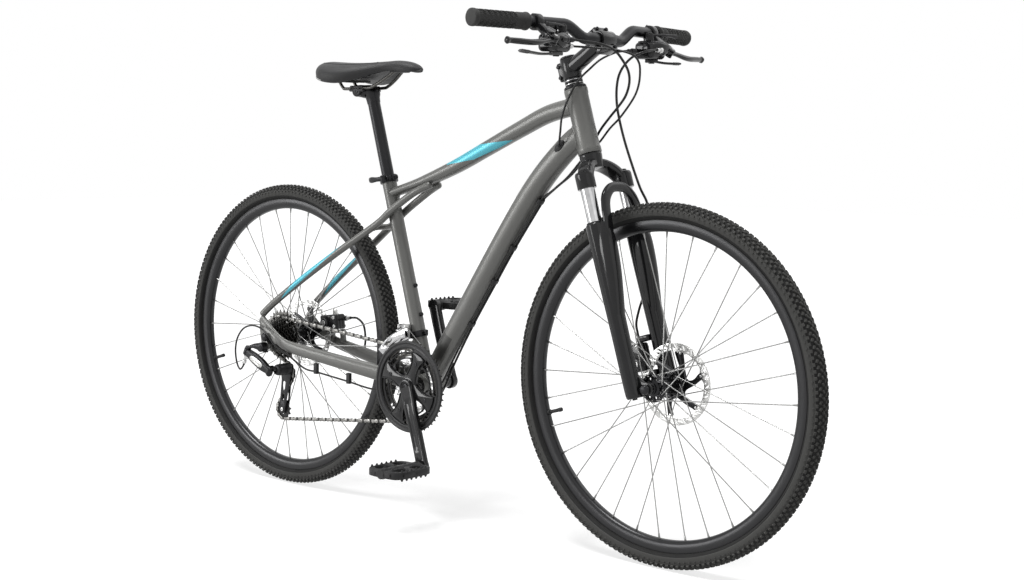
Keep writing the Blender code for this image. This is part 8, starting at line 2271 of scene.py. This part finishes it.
def cage_forms():
    """Two pressed plates either side of the chain, joined at the top and the tail."""
    window = rounded([polar(radius, math.radians(angle))
                      for radius, angle in ((0.11, 120), (0.11, 139), (0.1172, 137), (0.119, 122))])
    outer = prism(sector(0.1045, 0.1215, 100, 145), 0.0015, side_plane(-0.0548, BB), [window], 0.0004)
    inner = prism(sector(0.0985, 0.1245, 102, 145), 0.0015, side_plane(-0.0418, BB), [window], 0.0004)
    top = prism(sector(0.12, 0.1218, 106, 124, 8), 0.013, side_plane(CAGE_Y, BB))
    tail = prism(sector(0.104, 0.1065, 140, 144, 3), 0.013, side_plane(CAGE_Y, BB))
    barrel = rod(FD_HINGE - 0.008 * X, FD_HINGE + 0.008 * X, 0.0056, 32, 0.0008)
    arm = shaped([(FD_HINGE.x, FD_HINGE.y, FD_HINGE.z, 0.014, 0.009),
                  (FD_HINGE.x, -0.039, FD_HINGE.z - 0.005, 0.0135, 0.0075),
                  (FD_HINGE.x, -0.0455, FD_HINGE.z - 0.0062, 0.013, 0.0055)], 6, 24, 3.0, X, 0.002)
    ribs = []
    for radius, first, last in ((0.1068, 103, 142), (0.1196, 103, 119)):
        line = [BB + round_point(radius, math.radians(first + (last - first) * k / 16), -0.0556) for k in range(17)]
        ribs.append(tube(line, 0.0008, 8))
    return [outer, inner, top, tail, barrel, arm, *ribs]


piece("derailleur_band", band_clamp(), "black", "frame", ["fd_clamp"])
piece("derailleur_hinge", hinge_forms(), "silver", "frame", ["fd_clamp"])
piece("derailleur_band_bolts", clamp_bolts(), "black", "frame", ["fd_clamp"])
piece("front_cage", cage_forms(), "chrome", "fd_cage", ["fd_cage"], 30)


# Controls; side -1 is the rider's right

def bar_frame(side):
    """Directions at a control: along the lever's reach, outward along the bar, and up."""
    out = bar_axis(side)
    tilt = math.radians(34 if side < 0 else 40)
    level = Vector((abs(out.y), -side * out.x, 0.0)).normalized()
    return math.cos(tilt) * level - math.sin(tilt) * Z, out, math.sin(tilt) * level + math.cos(tilt) * Z


def control_frame(side):
    """The same directions as a matrix at the control's place on the bar."""
    return basis(*bar_frame(side), bar_point(side * CONTROL_Y))


def on_bar(side, ahead, aside, up):
    """A point of a control, by its distances in those directions."""
    return control_frame(side) @ Vector((ahead, aside, up))


POD_Y = CONTROL_Y - 0.028
PIVOT_AHEAD = 0.06
BARREL_AHEAD = 0.057
CLAMP_BACK = 0.012


def pod_centre(side):
    """Middle of a shifter."""
    return bar_point(side * POD_Y) + Vector((0.018, 0.0, -0.036))


def thumb_root(side):
    """Where the thumb lever meets the shifter's underside."""
    return pod_centre(side) + Vector((0.004, 0.0, -0.018))


def trigger_root(side):
    """Where the trigger meets the shifter's lid."""
    return pod_centre(side) + Vector((0.008, -side * 0.013, 0.018))


def nose_point(side, inward):
    """A point on the axis of the shifter's nose, where its housing leaves."""
    return pod_centre(side) + Vector((-0.008, -side * inward, -0.004))


def lever_bracket(side):
    """Split bar clamp, tapering arm and two lugs for the lever's pivot."""
    place = control_frame(side)
    _, out, rise = bar_frame(side)
    forms = [ring_form(0.0158, 0.0112, 0.008, on_bar(side, 0, 0, 0), out, 0.002, 56)]
    arm = hull(circle(0.0072, 20, (0.013, 0.0)) + circle(0.0105, 24, (0.044, -0.002))
               + circle(0.0068, 20, (0.053, -0.021)))
    forms.append(prism(arm, 0.015, place, (), 0.003))
    lug = hull(circle(0.009, 24, (0.06, 0.0)) + circle(0.0105, 24, (0.045, -0.002)))
    for up in (-0.0068, 0.0068):
        forms.append(prism(lug, 0.0042, place @ Matrix.Translation((0.0, 0.0, up)), (), 0.0014))
    forms.append(rod(on_bar(side, BARREL_AHEAD, -0.02, 0), on_bar(side, BARREL_AHEAD, -0.033, 0), 0.0058, 32, 0.001))
    back = on_bar(side, -CLAMP_BACK, 0, 0)
    forms.append(rod(back - 0.009 * rise, back + 0.009 * rise, 0.0052, 24))
    return forms


def bracket_bolts(side):
    """Both ends of the lever's pivot and the clamp's bolt."""
    rise = bar_frame(side)[2]
    return [cap_bolt(on_bar(side, PIVOT_AHEAD, 0, 0.0089), rise, 0.0038, 0.0014, 0.5),
            cap_bolt(on_bar(side, PIVOT_AHEAD, 0, -0.0089), -rise, 0.0036, 0.0012, 0.3),
            cap_bolt(on_bar(side, -CLAMP_BACK, 0, -0.009), -rise, 0.004, 0.003, 0.5)]


def brake_adjuster(side):
    """Knurled wheel and the cap that the brake housing enters."""
    out = bar_frame(side)[1]
    return [fluted(on_bar(side, BARREL_AHEAD, -0.033, 0), -out, 0.007, 0.0062, 10, 0.0),
            turned([(0.0, 0.0), (0.0046, 0.0), (0.005, 0.001), (0.0048, 0.009), (0.0042, 0.0116), (0.0, 0.0118)],
                   on_bar(side, BARREL_AHEAD, -0.0402, 0), -out, 32)]


def shifter_pod(side):
    """Rounded body with its lid, the housing's nose, a neck to the bar and both levers' pivots."""
    centre = pod_centre(side)
    pod = block((0.046, 0.05, 0.034), centre - 0.001 * Z, 0.009, None, 6)
    shell = shaped([(centre.x + 0.004, side * (POD_Y - 0.02), centre.z + 0.002, 0.034, 0.026),
                    (centre.x + 0.008, side * (POD_Y + 0.006), centre.z + 0.003, 0.044, 0.032),
                    (centre.x + 0.012, side * (POD_Y + 0.026), centre.z + 0.004, 0.036, 0.024),
                    (centre.x + 0.014, side * (POD_Y + 0.038), centre.z + 0.004, 0.022, 0.014)], 8, 32, 3.4, X, 0.006)
    lid = block((0.036, 0.038, 0.005), centre + Vector((0.0005, 0, 0.0158)), 0.0024, None, 4)
    foot = rod(centre + Vector((0.004, 0, -0.018)), centre + Vector((0.004, 0, -0.016)), 0.0145, 40, 0.0008)
    nose = rod(nose_point(side, 0.02), nose_point(side, 0.046), 0.006, 28, 0.001)
    neck = shaped([(*(centre + Vector((-0.004, 0, 0.012))), 0.02, 0.016),
                   (*(bar_point(side * POD_Y) + 0.01 * X), 0.016, 0.014)], 6, 24, 3.0)
    hinge = trigger_root(side)
    pin = rod(hinge - 0.004 * Z, hinge + 0.016 * Z, 0.003, 16)
    cap = rod(hinge + 0.0142 * Z, hinge + 0.016 * Z, 0.0055, 32, 0.0007)
    thumb = thumb_root(side)
    thumb_cap = rod(thumb - 0.0066 * Z, thumb - 0.0085 * Z, 0.006, 32, 0.0007)
    thumb_pin = rod(thumb + 0.004 * Z, thumb - 0.0066 * Z, 0.003, 16)
    return [pod, shell, lid, foot, nose, neck, pin, cap, thumb_cap, thumb_pin]


def gear_window(side):
    """Pane set into the lid."""
    return block((0.012, 0.026, 0.0016), pod_centre(side) + Vector((-0.01, 0, 0.0182)), 0.0007)


def gear_marks(side):
    """A plain dash on the pane for each gear, and a pointer."""
    centre = pod_centre(side)
    count, step = (7, 0.003) if side < 0 else (3, 0.0065)
    marks = [block((0.0034, 0.0009, 0.0003), centre + Vector((-0.012, (k - (count - 1) / 2) * step, 0.01905)), 0.0001)
             for k in range(count)]
    return marks + [block((0.0016, 0.0022, 0.0003), centre + Vector((-0.007, 0.0, 0.01905)), 0.0001)]


def shift_adjuster(side):
    """Knurled wheel and the ferrule that the shift housing enters."""
    start = nose_point(side, 0.0455)
    return [fluted(start, -side * Y, 0.008, 0.006, 10, 0.0),
            rod(start - side * 0.0078 * Y, start - side * 0.0172 * Y, 0.0042, 28, 0.001)]


def brake_blade(side):
    """Curved two-finger blade with a flattened middle and a ball end."""
    reach = bar_frame(side)[0]
    stations = [(0.0605, 0.0, 0.0125, 0.0076), (0.062, 0.008, 0.0118, 0.0077), (0.065, 0.022, 0.012, 0.0078),
                (0.073, 0.045, 0.012, 0.0095), (0.076, 0.067, 0.01, 0.0105), (0.075, 0.095, 0.0088, 0.0112),
                (0.074, 0.117, 0.0082, 0.0104), (0.074, 0.1185, 0.01, 0.0125), (0.074, 0.122, 0.0128, 0.0132)]
    blade = shaped([(*on_bar(side, ahead, aside, 0), wide, high) for ahead, aside, wide, high in stations],
                   8, 32, 2.5, reach, 0.003)
    hub = rod(on_bar(side, PIVOT_AHEAD, 0, -0.004), on_bar(side, PIVOT_AHEAD, 0, 0.004), 0.0085, 40, 0.0008)
    horn = shaped([(*on_bar(side, PIVOT_AHEAD, 0.0, 0), 0.01, 0.006),
                   (*on_bar(side, 0.052, -0.006, 0), 0.008, 0.0055)],
                  4, 20, 2.6, reach, 0.002)
    return [blade, hub, horn]


# Each paddle's middle line, outward from its hub, and the way across it
THUMB_PATHS = {-1: ((-0.004, 0.004, 0.0), (-0.016, 0.025, -0.001), (-0.024, 0.045, 0.001), (-0.029, 0.064, 0.003)),
               1: ((0.002, 0.004, 0.0), (0.014, 0.02, -0.003), (0.026, 0.033, -0.004), (0.034, 0.045, -0.004))}
THUMB_ACROSS = {-1: Vector((1.0, -0.45, 0.0)), 1: Vector((-0.6, 0.8, 0.0))}


def thumb_path(side):
    """Middle line of a thumb lever's paddle."""
    top = thumb_root(side) - GAP * Z
    return [top + Vector((x, side * y, z - 0.003)) for x, y, z in THUMB_PATHS[side]]


def thumb_paddle(side):
    """Hub under the shifter and the paddle that widens outward."""
    hub = turned([(0.0, 0.0), (0.0126, 0.0), (0.013, -0.0008), (0.013, -0.0052), (0.0122, -0.006), (0.0, -0.006)],
                 thumb_root(side) - GAP * Z, Z, 48)
    stations = [(*point, wide, 0.0048) for point, wide in zip(thumb_path(side), (0.016, 0.017, 0.022, 0.02))]
    return [hub, shaped(stations, 8, 28, 3.0, THUMB_ACROSS[side], 0.005)]


def thumb_ribs(side):
    """Rubbery ribs across the paddle's end."""
    across = THUMB_ACROSS[side].normalized()
    before, last = thumb_path(side)[2:]
    forms = []
    for k in range(6):
        spot = before.lerp(last, 0.25 + 0.16 * k)
        for up in (-0.0024, 0.0024):
            forms.append(tube([spot - 0.007 * across + up * Z, spot + 0.007 * across + up * Z], 0.0007, 8))
    return forms


def trigger_blade(side):
    """Hub on the shifter's lid and the finger lever."""
    foot = trigger_root(side) + GAP * Z
    hub = turned([(0.0, 0.0), (0.0076, 0.0), (0.008, 0.0006), (0.008, 0.0128), (0.0074, 0.0136), (0.0, 0.0136)],
                 foot, Z, 40)
    high = foot.z + 0.011
    arm = shaped([(foot.x + 0.002, foot.y + side * 0.002, high, 0.009, 0.005),
                  (foot.x + 0.0125, foot.y + side * 0.025, high + 0.001, 0.009, 0.005),
                  (foot.x + 0.016, foot.y + side * 0.05, high + 0.001, 0.009, 0.006),
                  (foot.x + 0.017, foot.y + side * 0.064, high, 0.008, 0.009)], 8, 24, 2.6, X, 0.003)
    return [hub, arm]


for side, hand in HANDS:
    node = hand + "_control_body"
    piece(hand + "_lever_bracket", lever_bracket(side), "gloss", "steerer", [node])
    piece(hand + "_bracket_bolts", bracket_bolts(side), "silver", "steerer", [node])
    piece(hand + "_brake_adjuster", brake_adjuster(side), "black" if side < 0 else "silver", "steerer", [node])
    piece(hand + "_shifter_pod", shifter_pod(side), "gloss", "steerer", [node])
    piece(hand + "_gear_window", gear_window(side), "grey", "steerer", [node])
    piece(hand + "_gear_marks", gear_marks(side), "piping", "steerer", [node])
    piece(hand + "_shift_adjuster", shift_adjuster(side), "silver" if side < 0 else "plastic", "steerer", [node])
    piece(hand + "_brake_blade", brake_blade(side), "gloss", hand + "_brake_lever", [hand + "_brake_lever"])
    piece(hand + "_thumb_paddle", thumb_paddle(side), "grey" if side < 0 else "plastic", hand + "_thumb_lever",
          [hand + "_thumb_lever"])
    piece(hand + "_thumb_ribs", thumb_ribs(side), "plastic", hand + "_thumb_lever")
    piece(hand + "_trigger_blade", trigger_blade(side), "plastic", hand + "_trigger", [hand + "_trigger"])


# Disc brake calipers

# In a caliper's frame: the arm's pivot, and y and z of the cable
ARM_PIVOT = Vector((-0.012, 0.0, 0.0))
CABLE_AT = (0.019, 0.006)


def caliper_matrix(centre, angle, rotor_y):
    """Frame of a caliper: its middle plane is its disc's."""
    return Matrix.Translation((centre.x, rotor_y, centre.z)) @ Matrix.Rotation(-angle, 4, "Y")


FRONT_CALIPER = caliper_matrix(on_fork(-0.0219, 0.0, CALIPER_UP), math.pi - HEAD_ANGLE, FRONT_ROTOR_Y)
REAR_CALIPER = caliper_matrix(REAR_CALIPER_AT, REAR_CALIPER_ANGLE, REAR_ROTOR_Y)
CALIPERS = ((FRONT_CALIPER, "front", "fork_lowers"), (REAR_CALIPER, "rear", "frame"))


def caliper_body(matrix):
    """Two finned halves either side of the disc, their bridge, piston housing and cable stop."""
    forms = [block((0.055, 0.0128, 0.0352), (0.0, y, 0.0), 0.004, matrix) for y in (-0.0086, 0.0086)]
    forms.append(block((0.027, 0.01, 0.034), (0.014, 0.0, 0.0), 0.0015, matrix))
    forms.append(moved(turned([(0.0, 0.01), (0.0158, 0.014), (0.016, 0.015), (0.016, 0.0168), (0.015, 0.0178),
                               (0.0, 0.018)], ARM_PIVOT, Y, 56), matrix))
    forms.append(moved(fluted(Vector((-0.012, -0.0148, 0.0)), -Y, 0.004, 0.013, 14, 0.0), matrix))
    for z in (-0.0155, 0.0155):
        forms.append(moved(rod((-0.0262, 0.012, z * 0.72), (0.0262, 0.012, z * 0.72), 0.0042, 24, 0.001), matrix))
    stop = moved(rod((0.016, *CABLE_AT), (0.0295, *CABLE_AT), 0.0062, 32, 0.001), matrix)
    brace = block((0.015, 0.01, 0.011), (0.0205, 0.015, 0.006), 0.002, matrix)
    return forms + [stop, brace]


def caliper_hardware(matrix):
    """The housing's adjuster and the bolts of the body."""
    forms = [fluted(Vector((0.029, *CABLE_AT)), X, 0.006, 0.0058, 10, 0.0),
             rod((0.0345, *CABLE_AT), (0.0398, *CABLE_AT), 0.0042, 24, 0.0008),
             cap_bolt(Vector((0.018, 0.0148, -0.011)), Y, 0.0042, 0.003, 0.5),
             cap_bolt(Vector((0.02, -0.0148, -0.01)), -Y, 0.0042, 0.0024, 0.5),
             cap_bolt(Vector((0.02, -0.0148, 0.01)), -Y, 0.0042, 0.0024, 0.5),
             cap_bolt(Vector((-0.012, -0.0188, 0.0)), -Y, 0.006, 0.0008, 0.6)]
    return [moved(form, matrix) for form in forms]


def brake_pads(matrix):
    """Backing plates that show at the caliper's mouth beside the disc."""
    return [block((0.02, 0.0013, 0.024), (-0.015, side * 0.0018, -0.003), 0.0003, matrix) for side in (-1, 1)]


def caliper_arm(matrix):
    """Stamped arm and the boss that it turns on."""
    outline = rounded([(-0.0075, -0.0065), (0.0065, -0.0072), (0.0068, 0.013), (0.0058, 0.029), (0.003, 0.0304),
                       (-0.0045, 0.03), (-0.0062, 0.02), (-0.0075, 0.01)])
    at = matrix @ Matrix.Translation(ARM_PIVOT)
    arm = prism(outline, 0.0045, at @ side_plane(0.02055), [circle(0.0022, 14, (0.0, 0.017))], 0.0006)
    boss = moved(turned([(0.0, 0.0183), (0.0078, 0.0183), (0.008, 0.019), (0.008, 0.025), (0.007, 0.0263),
                         (0.0, 0.0263)], ARM_PIVOT, Y, 40), matrix)
    return [arm, boss]


def arm_hardware(matrix):
    """The arm's bolt, and the bolt and washer that clamp the cable."""
    forms = [cap_bolt(Vector((-0.012, 0.0262, 0.0)), Y, 0.0046, 0.0014, 0.55),
             cap_bolt(Vector((-0.0118, 0.0228, 0.025)), Y, 0.004, 0.0034, 0.5),
             ring_form(0.0052, 0.002, 0.0006, Vector((-0.0118, 0.0232, 0.025)), Y, 0.0003, 32)]
    return [moved(form, matrix) for form in forms]


for matrix, end, body in CALIPERS:
    piece(end + "_caliper_body", caliper_body(matrix), "gloss", body, [end + "_caliper"])
    piece(end + "_caliper_hardware", caliper_hardware(matrix), "silver", body, [end + "_caliper"])
    piece(end + "_brake_pads", brake_pads(matrix), "steel", body, [end + "_caliper"])
    arm_body = end + "_caliper_arm"
    piece(end + "_pull_arm", caliper_arm(matrix), "steel", arm_body, [arm_body])
    piece(end + "_pull_arm_bolts", arm_hardware(matrix), "silver", arm_body)


# Cables: each housing's radius, and its place across the down tube

HOUSING = {"brake": 0.0025, "shift": 0.0021}
GUIDE_Y = {"brake": 0.004, "shift": -0.004}
BARE_CABLE = 0.0008


def guide_run(kind):
    """Through the four clips under the down tube."""
    points = [Vector((x, GUIDE_Y[kind], z)) + GUIDE_DROP * DOWN_NORMAL for x, z in GUIDES]
    return [points[0] + 0.01 * (points[0] - points[3]).normalized()] + points


def barrel_run(side):
    """Out of a brake lever's adjuster."""
    start = on_bar(side, BARREL_AHEAD, -0.0446, 0)
    return [start, start - 0.014 * bar_frame(side)[1]]


def shift_run(side):
    """Out of a shifter's adjuster."""
    start = nose_point(side, 0.0556)
    return [start, start - side * 0.012 * Y]


def caliper_run(matrix):
    """Into a caliper's adjuster."""
    return [matrix @ Vector((0.0486, *CABLE_AT)), matrix @ Vector((0.0326, *CABLE_AT))]


def under_stay(x):
    """A point under the right chain stay."""
    (x1, y1, z1), (x0, y0, z0) = STAY_GUIDES
    t = (x - x0) / (x1 - x0)
    return Vector((x, -(y0 + t * (y1 - y0)), z0 + t * (z1 - z0) - 0.0205))


REAR_BRAKE_RUN = barrel_run(-1) + [
    (0.433, -0.086, 0.992), (0.442, -0.056, 0.982), (0.442, -0.03, 0.9651), (0.4402, -0.008, 0.9442),
    (0.4309, 0.008, 0.923), (0.414, 0.02, 0.8998), (0.3921, 0.027, 0.8795), (0.3676, 0.032, 0.8588),
    (0.342, 0.034, 0.832), (0.323, 0.027, 0.795), (0.29, 0.02, 0.75), (0.256, 0.01, 0.72),
    *guide_run("brake"), (-0.012, 0.005, 0.339), (-0.042, 0.008, 0.286), (-0.065, 0.012, 0.26),
    (-0.09, 0.017, 0.256), (-0.15, 0.029, 0.269), (-0.213, 0.039, 0.278), (-0.3, 0.052, 0.29),
    (-0.345, 0.068, 0.299), (-0.366, 0.077, 0.32), (-0.364, 0.077, 0.35), (-0.368, 0.0745, 0.38),
    (-0.385, 0.072, 0.394), *caliper_run(REAR_CALIPER)]
REAR_SHIFT_RUN = shift_run(-1) + [
    (0.392, -0.06, 0.988), (0.44, -0.048, 0.983), (0.472, -0.04, 0.974), (0.4806, -0.03, 0.96),
    (0.4706, -0.012, 0.9402), (0.4545, 0.005, 0.9159), (0.4344, 0.016, 0.8927), (0.3978, 0.026, 0.8588),
    (0.3682, 0.031, 0.8361), (0.342, 0.031, 0.808), (0.318, 0.016, 0.78), (0.287, 0.004, 0.74),
    (0.254, -0.003, 0.712), *guide_run("shift"), (-0.012, -0.005, 0.339), (-0.042, -0.007, 0.286),
    (-0.065, -0.008, 0.26), (-0.09, -0.011, 0.256), (-0.15, -0.024, 0.2675),
    *[under_stay(x) for x in (-0.213, -0.285, -0.333, -0.38, -0.415)], (-0.455, -0.076, 0.314),
    (-0.49, -0.087, 0.335), (-0.515, -0.09, 0.36), (-0.545, -0.088, 0.372), (-0.578, -0.085, 0.373),
    (-0.61, -0.082, 0.362), (-0.633, -0.08, 0.338), (-0.64, -0.08, 0.31), (-0.633, -0.082, 0.282),
    (-0.618, -0.085, 0.267), SHIFT_END - 0.009 * SHIFT_WAY, SHIFT_END + 0.0054 * SHIFT_WAY]
FRONT_BRAKE_RUN = barrel_run(1) + [
    (0.405, 0.093, 0.988), (0.385, 0.074, 0.975), (0.374, 0.056, 0.95), (0.3716, 0.047, 0.92),
    (0.3763, 0.043, 0.8799), (0.3898, 0.043, 0.8314), (0.4064, 0.046, 0.7831), (0.4288, 0.052, 0.7246),
    on_fork(0.056, 0.07, 0.356), on_fork(0.04, 0.082, 0.315), on_fork(0.019, 0.0845, 0.25),
    on_fork(-0.003, 0.079, 0.195), on_fork(-0.019, 0.068, 0.16), on_fork(-0.027, 0.06, 0.135),
    *caliper_run(FRONT_CALIPER)]
FRONT_SHIFT_RUN = shift_run(1) + [
    (0.357, 0.058, 0.985), (0.34, 0.034, 0.971), (0.332, 0.009, 0.9509), (0.3263, -0.012, 0.9326),
    (0.32, -0.027, 0.9097), (0.308, -0.032, 0.8818), (0.3, -0.034, 0.8557), (0.298, -0.035, 0.83),
    PORT - 0.016 * PORT_WAY, PORT + 0.006 * PORT_WAY]


def housing(points, kind):
    """Housing with a slightly thicker ferrule on each end."""
    path = smooth(points, 8)
    forms = [tube(path, HOUSING[kind], 14)]
    for end, inner in ((path[0], path[3]), (path[-1], path[-4])):
        way = (inner - end).normalized()
        forms.append(tube([end, end + 0.004 * way, end + 0.01 * way, end + 0.0106 * way],
                          [HOUSING[kind] + 0.0007] * 3 + [HOUSING[kind] + 0.0003], 16))
    return forms


def joined(name, form, finish, node, bodies):
    """A cable's piece with its finish, fixed in place; the bodies that it is given are not used."""
    obj = new_object(name, form)
    material, slot = FINISH[finish]
    obj.data.materials.append(material)
    obj.data.shade_smooth()
    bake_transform(obj)
    if node:
        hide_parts(node)


for name, run, kind, other, start, end in (
        ("rear_brake", REAR_BRAKE_RUN, "brake", "frame", (0.43, -0.05, 0.98), (0.33, 0.03, 0.81)),
        ("rear_shift", REAR_SHIFT_RUN, "shift", "frame", (0.45, -0.04, 0.98), (0.33, 0.03, 0.8)),
        ("front_shift", FRONT_SHIFT_RUN, "shift", "frame", (0.355, 0.055, 0.985), (0.299, -0.035, 0.84)),
        ("front_brake", FRONT_BRAKE_RUN, "brake", "fork_lowers", (0.3763, 0.043, 0.88), (0.4288, 0.052, 0.73))):
    joined(name + "_line", housing(run, kind), "housing", name + "_housing", ("steerer", other))

for matrix, end, body in CALIPERS:
    places = [matrix @ Vector(place)
              for place in ((0.017, *CABLE_AT), (0.006, 0.0215, 0.012), (-0.0118, 0.024, 0.025))]
    joined(end + "_brake_wire", tube(places, BARE_CABLE, 8, 6), "silver", None, (body, end + "_caliper_arm"))
WIRE_RUN = [on_seat_tube(0.02, -0.004, 0.024), on_seat_tube(0.07, -0.014, 0.021),
            FD_HINGE + Vector((0.006, -0.003, 0.007))]
piece("front_shift_wire", tube(WIRE_RUN, BARE_CABLE, 8, 6), "silver", "frame")
piece("port_grommet", ring_form(0.0048, 0.0021, 0.003, PORT - 0.0045 * PORT_WAY, PORT_WAY, 0.0012, 32),
      "plastic", "frame")


def dress_rest():
    """Procedural finishes on the solids that are shown as they are."""
    by_slot = {}
    for material, slot in FINISH.values():
        by_slot.setdefault(slot, material)
    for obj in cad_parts.values():
        for slot in obj.material_slots:
            name = slot.material.name.split(".")[0] if slot.material else ""
            if name in by_slot:
                slot.material = by_slot[name]


dress_rest()
